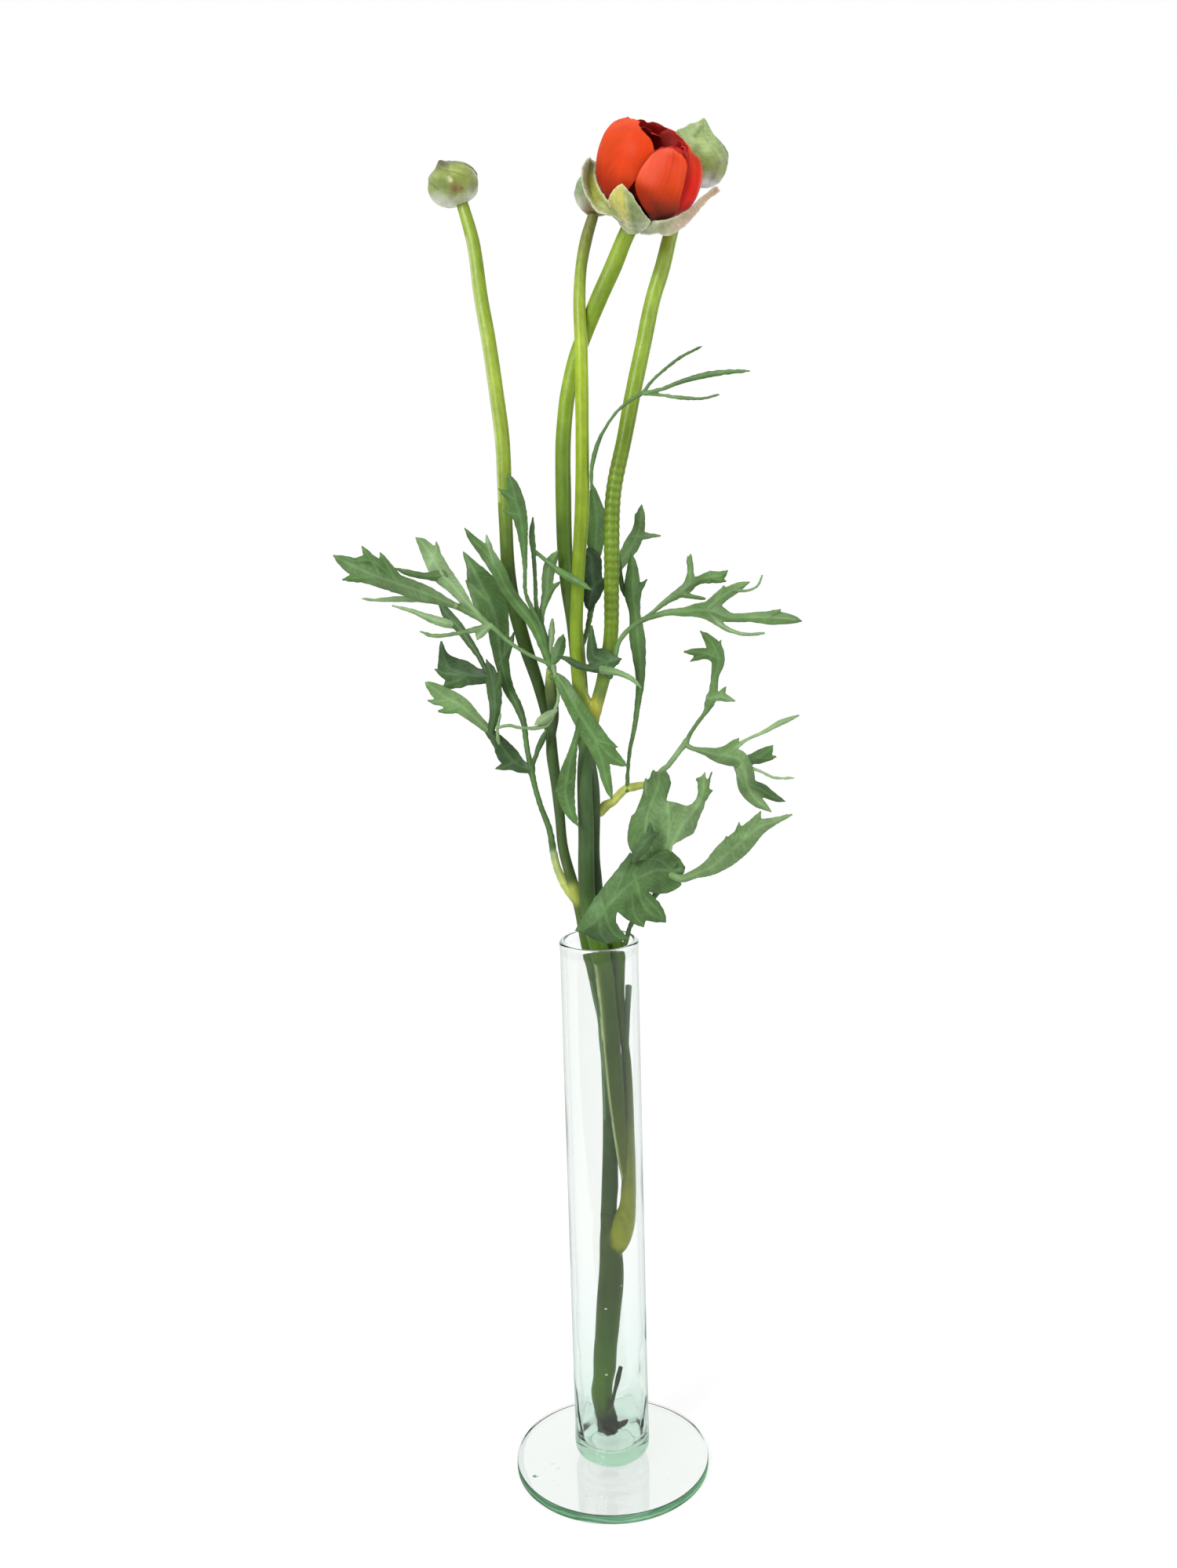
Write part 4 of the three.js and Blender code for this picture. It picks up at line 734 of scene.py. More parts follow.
def stem_solid(lines):
    """All stalks and the thicker nodes as one body, softened at the forks."""
    bodies = [tube(line, seed=i + 1) for i, line in enumerate(lines.values())]
    for x, y, depth, width, _ in NODE_RINGS:
        if width > COLLAR_LEAST_WIDTH:
            collar = [[x + aside, y + down, depth, width * share] for aside, down, share in COLLAR]
            bodies.append(tube(smooth(collar, 1.6, 4), ribs=0.03, seed=width))
    points, faces = united(bodies)
    places = spot(*np.array(FORKS, float).T)
    gap = np.linalg.norm(points[:, None] - places[None], axis=2).min(axis=1)
    return relaxed(points, faces, FORK_SOFTNESS * (1 - step_up(*FORK_REACH, gap)), 7), faces


def stalk_tints(points, lines):
    """The colour of the stalk that each point belongs to, and the picture's y there."""
    tint, row, closest = np.zeros((len(points), 3)), np.zeros(len(points)), np.full(len(points), np.inf)
    for name, line in lines.items():
        index, gap = nearest(points, line_places(line))
        gap = gap - line[index, 3] * PIXEL / 2
        own = gap < closest
        y = line[index[own], 1]
        colour = ramp(y, STALK_COLOURS[name])
        if name == "back_right_stalk":
            # Painted highlights and shade: the colour brightens and darkens in bands with the ridges across
            # this stalk.
            colour = colour * (1 + 0.2 * np.sin(y * RIDGE_PITCH) * band(y, RIDGE_RISE, RIDGE_FALL))[:, None]
        tint[own], row[own], closest[own] = colour, y, gap[own]
    return tint, row


def painted_highlight_stripes(points, tint, lines):
    """Painted highlights and reflections: pale stripes down the sides of some stalks, where the light runs
    along them.
    """
    for name, first, last, edge, colour in STALK_HIGHLIGHT_STRIPES:
        line = lines[name]
        index, gap = nearest(points, line_places(line))
        half = line[index, 3] * PIXEL / 2
        side = (points - line_places(line[index])) @ RIGHT / half
        on = (gap < half + 0.3) & (line[index, 1] > first) & (line[index, 1] < last)
        tint = mix(tint, linear(colour), on * np.exp(-((side - edge) / HIGHLIGHT_STRIPE_WIDTH) ** 2))
    return tint


def stem_body():
    lines = {name: smooth(stations, STEM_STEP, 4) for name, stations in STEM_PARTS.items()}
    lines["back_right_stalk"] = cross_ridges(lines["back_right_stalk"])
    points, faces = stem_solid(lines)
    tint, row = stalk_tints(points, lines)
    tint = painted_highlight_stripes(points, tint, lines)
    for x, y, depth, width, colour in NODE_RINGS:
        near = np.linalg.norm(points - spot(x, y, depth), axis=1)
        tint = mix(tint, linear(colour), 0.8 * (1 - step_up(2.0, 6.5, near)))
    streak = ripple(points * np.array([1, 1, 0.12]), 1.6, 11)
    tint = tint * (1 + 0.1 * streak + 0.05 * ripple(points, 14, 12))[:, None]
    dark = step_up(0, 1, (row - DARK_BASE_TOP) / DARK_BASE_FADE)
    tint = mix(tint, linear((44, 40, 34)) * (1 + 0.5 * ripple(points, 3, 5))[:, None], dark * 0.9)
    tint = mix(tint, linear((112, 100, 70)), 0.5 * dark * step_up(0.1, 0.7, ripple(points, 1.4, 8)))
    tint[:, 2] *= 1 - 0.3 * (1 - step_up(*TUBE_TOP, points[:, 2]))
    torn = 1 - step_up(*TORN_HEIGHT, points[:, 2])
    rough = np.stack([ripple(points, 1.8, 80 + k) for k in range(3)], axis=1)
    points = points + rough * (0.4 * torn)[:, None]
    return points, faces, {"tint": np.clip(tint, 0.005, 1)}


# Leaves. Each leaf is a few blades that overlap; a blade is one smooth sheet over the lobes that it lists.
# Stations are [x, y, depth, width, tilt], with the tilt across the lobe in degrees.

UPPER_LEFT_LEAF = {
    "rachis": [
        [702, 853, -5, 7], [699, 846, -6.8, 6], [690, 842, -7, 5], [675, 835, -6.5, 5], [648, 818, -7, 5],
        [628, 800, -8.5, 6], [605, 785, -10, 8], [575, 770, -13, 9], [545, 758, -15, 20, 20],
        [500, 742, -18, 24, 25], [460, 727, -21, 24, 20], [440, 717, -22, 16, 10], [425, 708, -23, 3],
    ],
    "far_upper_edge": [[497, 733, -18, 18], [468, 714, -20, 14], [453, 716, -21, 10], [438, 710, -22, 3]],
    "far_upper_tooth": [[480, 726, -19.5, 16], [468, 707, -20, 10], [461, 696, -20, 3]],
    "far_second_tooth": [[502, 735, -18, 16], [490, 716, -18.5, 10], [484, 704, -18.5, 3]],
    "far_lower_tooth": [[470, 736, -20.5, 16], [450, 737, -21, 10], [436, 739, -21.5, 3]],
    "shoulder": [[622, 797, -9, 7], [600, 775, -8, 10], [580, 750, -6, 18, 15], [562, 730, -5, 25, 20],
        [549, 707, -3, 22, 10], [538, 692, -2, 12]],
    "shoulder_left_tip": [[548, 704, -3, 16], [536, 690, -2, 9], [529, 685, -2, 3]],
    "shoulder_right_tip": [[552, 712, -3.5, 18], [556, 700, -2.5, 9], [556, 690, -2, 3]],
    "shoulder_lobe": [[562, 734, -5, 16], [540, 734, -8, 9], [520, 730, -11, 8], [502, 724, -13, 3]],
    "narrow_strip": [[580, 772, -12.5, 8], [545, 765, -11, 8], [500, 764, -8, 7], [478, 765, -7, 4],
                     [460, 763, -6, 3]],
    "low_strip": [[622, 797, -9, 6], [600, 804, -10, 7], [580, 808, -11, 5], [550, 810, -12, 5],
                  [535, 805, -12.5, 3]],
    "low_strip_lobe": [[625, 798, -9, 6], [612, 808, -9.5, 11], [608, 816, -10, 4]],
    "fan_leaflet": [
        [700, 846, -7, 9], [690, 820, -6, 10], [678, 793, -5.5, 14], [660, 770, -5.5, 16],
        [646, 750, -5.5, 16, -15], [634, 726, -5, 19, -20], [615, 700, -4, 15, -15], [603, 688, -4, 10],
        [592, 673, -4, 3],
    ],
    "fan_side_tip": [[628, 716, -4.6, 16], [623, 698, -4.5, 9], [620, 682, -4.5, 3]],
    "tall_leaflet": [
        [697, 832, -6, 7], [690, 800, -6, 6], [680, 780, -6.5, 6], [671, 760, -7, 5], [669, 720, -8, 6],
        [667, 690, -8.5, 11], [664, 665, -9, 17, 20], [658, 640, -9, 21, 25], [653, 620, -9, 15, 15],
        [647, 603, -9, 3],
    ],
    "tall_upper_tooth": [[654, 636, -9, 14], [644, 629, -9, 8], [635, 623, -9, 3]],
    "tall_lower_tooth": [[658, 656, -9, 14], [649, 654, -9, 8], [641, 651, -9, 3]],
    "slim_leaflet": [
        [702, 845, -6.5, 9], [696, 822, -5, 10], [690, 800, -4.5, 9], [684, 775, -4.5, 6], [682, 740, -5, 5],
        [680, 705, -5, 6], [678, 685, -5, 8], [679, 660, -5, 3],
    ],
    "tendril": [[683, 704, -5, 5], [700, 718, -8, 6], [714, 729, -11, 9], [732, 739, -14, 10],
                [744, 746, -14, 8], [753, 752, -14, 3]],
    "pale_leaflet": [
        [689, 800, -4.5, 7], [692, 775, -3.2, 8], [697, 757, -2.8, 13], [698, 738, -3, 15],
        [702, 718, -3, 15], [711, 702, -3, 4],
    ],
    "pale_tip": [[695, 762, -3, 10], [706, 748, -2.8, 7], [715, 741, -2.6, 3]],
    "small_lobe": [[704, 846, -7, 8], [711, 832, -6, 15], [715, 819, -5, 12], [718, 808, -5, 3]],
    "small_spike": [[700, 832, -6, 7], [703, 806, -5, 8], [704, 786, -5, 3]],
    "drooping_strip": [
        [705, 850, -7.3, 7], [710, 870, -7.5, 4], [711, 893, -8, 4], [706, 908, -8.5, 5], [697, 924, -8.5, 6],
        [683, 928, -8.5, 5], [665, 928, -8.5, 4], [648, 925, -9, 4], [630, 929, -10, 3],
    ],
    "drooping_curl": [[708, 906, -8.5, 6], [697, 914, -9, 13], [688, 920, -9.5, 10], [681, 924, -9.5, 3]],
}

LOWER_LEFT_LEAF = {
    "sheath": [[737, 1152, 1.5, 9], [729, 1141, 1.5, 12], [719, 1126, 1.5, 11], [711, 1108, 1.4, 9],
               [706, 1088, 1, 7]],
    "leaf_stalk": [
        [738, 1152, 1.5, 8], [731, 1143, 1.5, 10], [721, 1128, 1.5, 10], [712, 1112, 1.5, 9],
        [705, 1085, 1, 9], [701, 1060, 0.5, 8], [690, 1030, 0.5, 7], [681, 1000, 0, 7], [677, 980, 0, 9],
    ],
    "folded": [[677, 981, 0, 10], [662, 976, -1.5, 18, 30], [648, 964, -3, 26, 35], [637, 948, -4.5, 18, 30],
        [622, 931, -5.5, 10]],
    "folded_tip": [[656, 972, -2, 16], [643, 977, -2.5, 10], [631, 980, -3, 3]],
    "folded_curl": [[636, 952, -4.5, 6], [634, 930, -6, 4], [639, 906, -6.5, 3]],
    "far_blade": [[624, 932, -5.5, 10], [605, 915, -7, 15], [587, 899, -9, 22, 20], [568, 889, -11, 24, 25],
        [553, 878, -13, 15, 15], [541, 869, -14, 3]],
    "far_first_tooth": [[570, 893, -11, 14], [556, 895, -12, 8], [545, 893, -12.5, 3]],
    "far_second_tooth": [[582, 902, -9.5, 14], [568, 906, -10.5, 8], [557, 907, -11, 3]],
    "upright_blade": [[625, 934, -5.5, 9], [631, 905, -5.5, 14], [630, 880, -5, 19, -20],
                      [626, 860, -4.5, 16, -15], [620, 841, -4, 3]],
    "upright_bump": [[632, 878, -5, 12], [637, 864, -5, 8], [637, 852, -5, 3]],
    "dark_blade": [[624, 862, -4.5, 18], [606, 862, -5, 22], [590, 858, -6, 32, 20], [574, 852, -7, 30, 20],
        [566, 838, -8, 14], [562, 816, -8.5, 3]],
    "dark_tooth": [[578, 860, -6.7, 22], [564, 858, -7.5, 10], [554, 853, -8, 3]],
    "dark_lower_tooth": [[586, 866, -6.3, 22], [572, 872, -7, 12], [564, 875, -7.5, 3]],
    "dark_ribbon": [[620, 856, -4.5, 6], [610, 836, -3.5, 7], [598, 818, -3, 10], [585, 800, -2.5, 12],
        [570, 783, -2, 13], [558, 762, -1.5, 3]],
    "pale_ribbon": [[580, 796, -2.3, 12], [563, 793, -3, 12], [545, 787, -3.5, 9], [528, 780, -4, 6],
                    [500, 772, -4.5, 3]],
    "central_blade": [
        [677, 981, 0, 8], [671, 950, 0.5, 7], [667, 920, 1, 8], [659, 898, 1.5, 11], [648, 878, 2, 14],
        [641, 850, 2.5, 17], [637, 820, 3, 24, 15], [633, 790, 3.5, 31, 20], [624, 765, 4.5, 43, 25],
        [612, 742, 5.5, 33, 20], [602, 722, 6.5, 15, 10], [590, 703, 7.5, 3],
    ],
    "central_tooth": [[616, 760, 5, 26], [602, 748, 5.5, 12], [593, 740, 6, 3]],
    "central_low_tooth": [[640, 842, 2.6, 14], [650, 822, 2, 8], [655, 806, 1.5, 3]],
    "stalk_leaflet": [[678, 978, 0, 6], [684, 960, -1.5, 6], [691, 943, -3, 8], [697, 930, -3.5, 3]],
}

FRONT_LEAF = {
    "rachis": [
        [703, 862, -5.2, 8], [708, 862, -7.8, 9], [714, 868, -9, 15], [725, 886, -11.5, 20, 20],
        [742, 915, -13, 25, 20], [760, 943, -14, 29, 15], [778, 963, -13.5, 20, 10], [800, 977, -12, 3],
    ],
    "right_tooth": [[768, 946, -13.8, 18], [779, 950, -13, 9], [788, 953, -12.5, 3]],
    "lower_lobe": [[762, 952, -14, 24], [769, 976, -14, 16], [774, 998, -13.5, 12], [780, 1020, -13, 3]],
    "hanging_stalk": [[742, 918, -13, 12], [735, 938, -12, 8], [729, 962, -10.5, 12],
                      [724, 985, -9.5, 20, -20], [721, 1010, -9, 23, -20], [726, 1033, -8.5, 15, -10],
                      [737, 1053, -8.2, 3]],
    "hanging_tooth": [[722, 1000, -9.2, 16], [713, 1006, -9, 9], [706, 1010, -8.8, 3]],
}

FORK_LEAF = {
    "body": [[777, 862, -8.3, 8], [774, 850, -8.6, 18], [768, 842, -9, 30, 15], [758, 838, -9.5, 20, 10],
        [754, 818, -10, 11], [754, 796, -10, 3]],
    "left_arm": [[770, 852, -8.8, 14], [752, 852, -10.5, 9], [735, 847, -12, 10], [722, 840, -12.5, 7],
                 [710, 836, -13, 3]],
    "right_spike": [[768, 846, -9, 22], [784, 842, -9, 12], [792, 840, -9, 3]],
    "trailing_tip": [[768, 854, -9, 12], [789, 858, -8.5, 8], [806, 866, -8, 6], [818, 878, -7.5, 3]],
}

RIGHT_LEAF = {
    "leaf_stalk": [
        [784, 838, -7.5, 6], [789, 818, -8, 6], [800, 804, -8, 6], [820, 790, -8.5, 7], [835, 785, -9, 7],
        [850, 781, -9.5, 8], [870, 780, -10, 11], [890, 778, -10.5, 18, 15], [905, 779, -11, 24, 20],
        [930, 787, -11, 12, 10], [955, 787, -11, 12], [985, 788, -11, 17, -15], [1005, 789, -11, 13, -10],
        [1023, 792, -11, 3],
    ],
    "main_tooth": [[980, 786, -11, 12], [990, 780, -11, 7], [995, 777, -11, 3]],
    "raised_lobe": [[905, 774, -11, 18], [918, 762, -10, 16, 20], [932, 753, -9, 14, 20], [945, 746, -8, 9],
                    [955, 742, -7, 3]],
    "raised_tooth": [[916, 760, -10, 12], [921, 752, -10, 7], [923, 745, -10, 3]],
    "raised_tail": [[936, 752, -8.8, 6], [952, 753, -8, 3.5], [964, 748, -7.5, 3], [973, 730, -7, 3]],
    "lower_tail": [[908, 786, -11, 14], [922, 799, -12, 7], [945, 808, -13, 5], [978, 807, -14, 3]],
    "upper_branch": [
        [818, 791, -8.5, 5], [835, 778, -7, 5], [850, 766, -6, 8], [864, 757, -5, 12],
        [878, 746, -4, 15, -20], [880, 728, -3.5, 8], [880, 703, -3, 3],
    ],
    "upper_side_tip": [[880, 724, -3.4, 7], [877, 714, -3, 5], [876, 706, -3, 3]],
    "upper_right_lobe": [[876, 748, -4, 13], [892, 739, -4, 11], [906, 736, -4.5, 15], [918, 734, -5, 12],
                         [928, 727, -5, 3]],
    "upper_right_tooth": [[912, 738, -4.7, 12], [925, 741, -5, 3]],
    "upper_right_notch": [[904, 738, -4.5, 11], [905, 728, -4.5, 3]],
    "middle_tip": [[868, 757, -5, 9], [884, 761, -6, 6], [903, 764, -7, 3]],
}

MIDDLE_RIGHT_LEAF = {
    "sheath": [[766, 1034, 2, 13], [772, 1027, 2, 12], [782, 1021, 2, 10], [789, 1013, 2, 10],
               [797, 1006, 2.2, 10], [808, 1003, 2.5, 10], [819, 1001, 2.5, 8]],
    "leaf_stalk": [
        [766, 1034, 2, 12], [772, 1027, 2, 11], [782, 1022, 2, 9], [789, 1014, 2, 9], [797, 1006, 2.2, 9],
        [808, 1003, 2.5, 9], [822, 1000, 2.5, 8], [836, 989, 2.5, 7], [850, 977, 2, 7], [866, 957, 1.5, 7],
        [874, 946, 1, 8],
    ],
    "up_branch": [
        [873, 949, 1, 7], [880, 935, 1.5, 5], [890, 920, 2, 5], [899, 908, 2.5, 6], [905, 894, 3, 13],
        [909, 880, 3.5, 11], [911, 862, 4.5, 10], [915, 843, 6, 17, 25], [911, 827, 7, 19, 20],
        [903, 815, 8, 12], [892, 804, 9, 3],
    ],
    "up_left_lobe": [[912, 838, 6.3, 14], [895, 832, 6, 12], [883, 831, 6, 8], [870, 831, 6, 3]],
    "up_left_tooth": [[898, 834, 6, 11], [888, 839, 6, 7], [880, 843, 6, 3]],
    "up_right_tooth": [[910, 832, 6.8, 16], [916, 822, 7, 7], [919, 816, 7, 3]],
    "up_low_lobe": [[905, 890, 3.1, 11], [918, 888, 3, 12], [928, 891, 2.5, 8], [937, 894, 2, 3]],
    "up_low_tooth": [[916, 888, 3, 9], [922, 880, 3, 6], [925, 875, 3, 3]],
    "out_branch": [
        [874, 949, 1, 7], [882, 954, 0.5, 6], [896, 957, -0.5, 9], [912, 962, -1.5, 17, 20],
        [928, 964, -2.5, 24, 25], [942, 968, -3, 22, 20], [949, 984, -4, 23, -20], [952, 1002, -5, 23, -30],
        [962, 1018, -6, 17, -20], [983, 1035, -7, 3],
    ],
    "out_upper_tip": [[926, 958, -2.3, 15], [936, 948, -3, 10], [942, 940, -3, 3]],
    "far_sliver": [[930, 958, -2.5, 9], [950, 944, -4, 4], [975, 932, -5.5, 5], [998, 920, -7, 7],
                   [1018, 912, -8, 3]],
    "raised_lobe": [[944, 974, -3.2, 18], [958, 968, -1.5, 14, 30], [972, 963, 0, 18, 30], [985, 950, 1, 3]],
    "raised_tip": [[966, 966, -0.6, 14], [980, 966, 0.5, 8], [991, 964, 1, 3]],
    "dark_lobe": [[954, 1000, -5, 16], [972, 1008, -4, 16], [986, 1016, -3.5, 10], [1001, 1022, -3, 3]],
    "upper_tail": [[946, 978, -3.6, 8], [966, 982, -3, 3.5], [986, 991, -3, 3.5], [1012, 992, -3, 3]],
    "long_stalk": [
        [799, 1007, 2.3, 6], [800, 985, 3, 4.5], [803, 955, 3.5, 5], [809, 925, 4, 6], [813, 895, 4, 8],
        [816, 868, 4, 11], [815, 842, 4, 16, 20], [812, 812, 4, 20, 25], [809, 782, 4, 14, 20],
        [806, 755, 4, 21, 25], [806, 725, 4, 14, 20], [805, 705, 4, 3],
    ],
    "long_right_tooth": [[810, 756, 4, 14], [818, 746, 4, 7], [825, 738, 4, 3]],
    "long_left_lobe": [[806, 762, 4, 14], [796, 754, 4.5, 8], [791, 735, 5, 6], [789, 715, 5, 5],
                       [788, 700, 5, 3]],
}

RIM_LEAF = {
    "leaf_stalk": [
        [784, 1216, 7, 7], [796, 1204, 6, 6], [803, 1181, 4.3, 6], [818, 1160, 2, 6], [835, 1141, -1, 7],
        [852, 1118, -4, 9], [858, 1106, -5, 14],
    ],
    "tall_blade": [
        [850, 1112, -3.5, 16], [836, 1092, -3.5, 30], [824, 1070, -2.6, 46, -20], [824, 1045, -1.5, 44, -25],
        [832, 1020, -1.2, 34, -20], [839, 1000, -1.6, 28, -10], [840, 986, -2.2, 14],
    ],
    "tall_left_tip": [[834, 996, -1.8, 14], [833, 987, -2, 7], [833, 980, -2.2, 3]],
    "tall_side_tooth": [[824, 1012, -1.2, 12], [823, 1000, -1, 7], [823, 991, -1, 3]],
    "web": [[846, 1092, -4, 20], [852, 1066, -4.6, 30], [853, 1044, -4.5, 36], [852, 1032, -4.5, 18]],
    "folded_blade": [
        [850, 1096, -4.2, 14], [858, 1076, -6, 24, 25], [870, 1052, -8, 34, 30],
        [884, 1034, -8, 24, 20], [895, 1014, -7.5, 14], [897, 1000, -7, 15], [898, 986, -7, 4],
    ],
    "folded_right_tip": [[897, 1008, -7.2, 14], [904, 995, -7, 5], [907, 984, -7, 3]],
    "folded_side_tip": [[894, 1016, -7.4, 16], [903, 1010, -7.5, 7], [909, 1007, -7.5, 3]],
    "folded_left_tip": [[896, 1002, -7, 12], [890, 996, -7, 6], [887, 993, -7, 3]],
    "small_blade": [[808, 1097, -9.4, 9], [813, 1086, -9, 14], [823, 1074, -8.6, 16], [828, 1062, -8, 10],
                    [828, 1048, -7.4, 3]],
    "small_tooth": [[824, 1071, -8.5, 14], [833, 1064, -8, 8], [841, 1061, -7.6, 3]],
    "out_blade": [
        [850, 1112, -5, 10], [868, 1120, -6, 10], [886, 1114, -8, 12], [905, 1106, -10, 20, 15],
        [925, 1090, -12, 31, 20], [945, 1073, -14, 31, 20], [963, 1057, -15, 23, 15], [984, 1048, -16, 11],
        [1010, 1038, -17, 3],
    ],
    "out_upper_tip": [[950, 1066, -14.5, 24], [962, 1048, -15, 12], [970, 1034, -15, 3]],
    "out_first_tooth": [[916, 1098, -11, 16], [911, 1093, -10.5, 8], [906, 1090, -10.5, 3]],
    "out_second_tooth": [[932, 1084, -13, 22], [927, 1073, -12.5, 10], [925, 1066, -12.5, 3]],
    "out_third_tooth": [[946, 1072, -14, 22], [942, 1058, -14, 9], [942, 1048, -14, 3]],
    "front_blade": [
        [852, 1110, -5.3, 42], [838, 1110, -7, 50], [818, 1117, -9.5, 50, 15], [797, 1132, -12, 50, 20],
        [778, 1152, -14.5, 48, 15], [762, 1172, -16.5, 34, 10], [742, 1186, -18, 8],
    ],
    "front_middle_lobe": [[812, 1128, -10, 30], [818, 1150, -10, 30], [828, 1164, -10, 24],
                          [842, 1171, -10, 8]],
    "front_middle_tip": [[826, 1148, -10, 16], [838, 1160, -10, 18], [847, 1173, -10, 4]],
    "front_inner_tip": [[806, 1150, -10.5, 20], [808, 1166, -11, 16], [818, 1179, -11, 4]],
    "front_low_lobe": [[770, 1160, -14.5, 30], [776, 1180, -15.5, 22], [786, 1193, -16.5, 12],
                       [801, 1197, -17, 4]],
    "front_lowest_tip": [[764, 1176, -15.7, 26], [766, 1190, -17, 20], [773, 1201, -17.5, 8]],
    "upper_corner": [[850, 1104, -6.5, 22], [838, 1096, -7.5, 16], [822, 1096, -8.5, 4]],
    "left_arm": [[790, 1126, -12, 16], [798, 1106, -10.6, 14], [805, 1092, -9.6, 8]],
}
TALL_OUTLINE = [
    (803, 1083), (801, 1078), (799.5, 1070), (800, 1060), (802, 1050), (805, 1040), (809, 1036), (812, 1030),
    (815, 1022), (818, 1014), (819.5, 1008), (820, 1000), (822, 993), (823.5, 991), (825, 994), (826, 996),
    (829, 988), (832, 982), (833, 979), (834.5, 984), (840, 984), (845, 982), (848, 980), (851, 986),
    (853, 990), (855, 997), (854, 1004), (852, 1010), (850, 1016), (849, 1021), (855, 1021.5), (862, 1023),
    (870, 1026), (876, 1027), (882, 1024.5), (887, 1019), (889, 1013), (889.5, 1006), (889, 998), (887, 994),
    (888, 992), (892, 991), (896, 987), (899, 983.5), (899.5, 990), (901, 994), (903, 992), (905, 987),
    (908, 982), (906.5, 990), (905, 997), (904, 1005), (906, 1007), (909.5, 1006.5), (906, 1011), (903, 1015),
    (902, 1019), (899, 1022), (897, 1030), (893, 1038), (890, 1046), (887, 1055), (884, 1062), (879, 1066),
    (870, 1070), (862, 1074), (857, 1078), (856, 1090), (858, 1104), (854, 1116), (842, 1112), (828, 1104),
    (812, 1098),
]
FRONT_OUTLINE = [
    (732, 1187), (739, 1176), (748, 1160), (756, 1147), (765, 1135), (775, 1122), (785, 1110), (795, 1097),
    (803, 1087), (809, 1090), (808, 1097), (816, 1097), (824, 1095), (832, 1090), (840, 1085.5), (848, 1083),
    (856, 1084.5), (859, 1088), (865, 1093), (870, 1100), (873.5, 1106), (872, 1112), (866, 1120),
    (869, 1128), (860, 1135), (850, 1139), (838, 1140), (827, 1137), (834, 1144), (841, 1151), (846, 1160),
    (849, 1168), (849, 1175.5), (836, 1176), (823, 1173), (820, 1182), (813, 1180), (806, 1177), (796, 1170),
    (786.5, 1162), (785, 1168), (785.5, 1176), (790, 1184), (797, 1192), (804, 1198), (793, 1199),
    (784, 1200), (775, 1203.5), (764, 1200), (755, 1197), (746, 1191), (738, 1187),
]

THIN_LEAF = {
    "leaf_stalk": [
        [754, 622, -8.2, 3.5], [754, 598, -9, 5], [758, 578, -9, 6], [764, 560, -9, 5], [773, 543, -9, 4],
        [790, 521, -9, 4], [806, 509, -9, 4.5], [822, 500, -9, 5],
    ],
    "upper_strip": [[820, 500, -9, 5], [829, 488, -8, 4], [848, 470, -6, 4], [865, 457, -4, 4],
                    [895, 441, -2, 3]],
    "middle_strip": [
        [820, 501, -9, 5], [840, 497, -10, 5], [870, 486, -11, 6], [900, 478, -12, 8], [930, 474, -13, 6],
        [956, 473, -14, 3],
    ],
    "lower_strip": [[820, 502, -9, 4], [845, 504, -9, 4], [868, 507, -9, 5], [895, 508, -9, 3.5],
                    [920, 502, -9, 3]],
}

BACK_LEAF = {
    "leaf_stalk": [[736, 838, 5.5, 6], [746, 812, 8, 6], [752, 785, 9.5, 7], [757, 755, 10, 9]],
    "up_blade": [[757, 762, 10, 8], [757, 720, 10.5, 12], [759, 690, 10.5, 22, 15], [760, 660, 10.5, 25, 20],
        [757, 638, 10.5, 16, 10], [755, 617, 10.5, 3]],
    "right_blade": [[756, 760, 10, 8], [769, 744, 9.5, 9], [784, 727, 9, 12], [795, 711, 9, 16, 20],
        [806, 693, 9, 20, 20], [814, 674, 9, 15, 15], [816, 658, 9, 12], [818, 643, 9, 3]],
    "right_side_tip": [[810, 684, 9, 14], [827, 683, 9, 7], [843, 683, 9, 3]],
    "right_tooth": [[815, 666, 9, 10], [811, 659, 9, 5], [809, 653, 9, 3]],
    "dark_blade": [[757, 765, 10, 8], [759, 745, 9.3, 24], [753, 762, 8.8, 20, 20], [750, 779, 8.5, 3]],
    "dark_upper_blade": [[758, 752, 9.8, 16], [754, 730, 9.2, 26, 15], [752, 710, 9, 22, 10],
                         [744, 702, 9, 4]],
}

CELL = 1.5
FILLET = 3.5
BLEND = 2.6
LOBE_STEP = 1.2
LOBE_FOLD = 0.13
LEAST_WIDTH = 1.8
TIP_WIDTH = 4
TIP_ROWS = 7
SHEET_MARGIN = 6
LOBE_REACH = 16
BLOCK = 6000
LEAF_HALF, EDGE_HALF = 0.17, 0.06
STALK_HALF, RIB_HALF = 0.36, 0.22
FLUTTER = 0.45
VEIN_PITCH, VEIN_SLANT, VEIN_GROOVE = 7.5, 1.1, 0.10
DARK_LEAF, MID_LEAF, PALE_LEAF = linear((40, 66, 38)), linear((84, 121, 60)), linear((150, 178, 128))
SHEATH = linear((200, 206, 96))


def lobe_samples(stations, root_x, slope, tone):
    """A lobe's fine rows, deeper away from the leaf's root, with a tip that narrows to a point."""
    line = smooth(stations, LOBE_STEP)
    line[:, 2] += slope * np.abs(line[:, 0] - root_x)
    line[:, 3] = np.maximum(line[:, 3], LEAST_WIDTH)
    if stations[-1][3] <= TIP_WIDTH:
        tail = np.clip((np.arange(len(line)) - (len(line) - 1 - TIP_ROWS)) / TIP_ROWS, 0, 1)
        line[:, 3] *= 1 - 0.55 * tail
    return line, tone


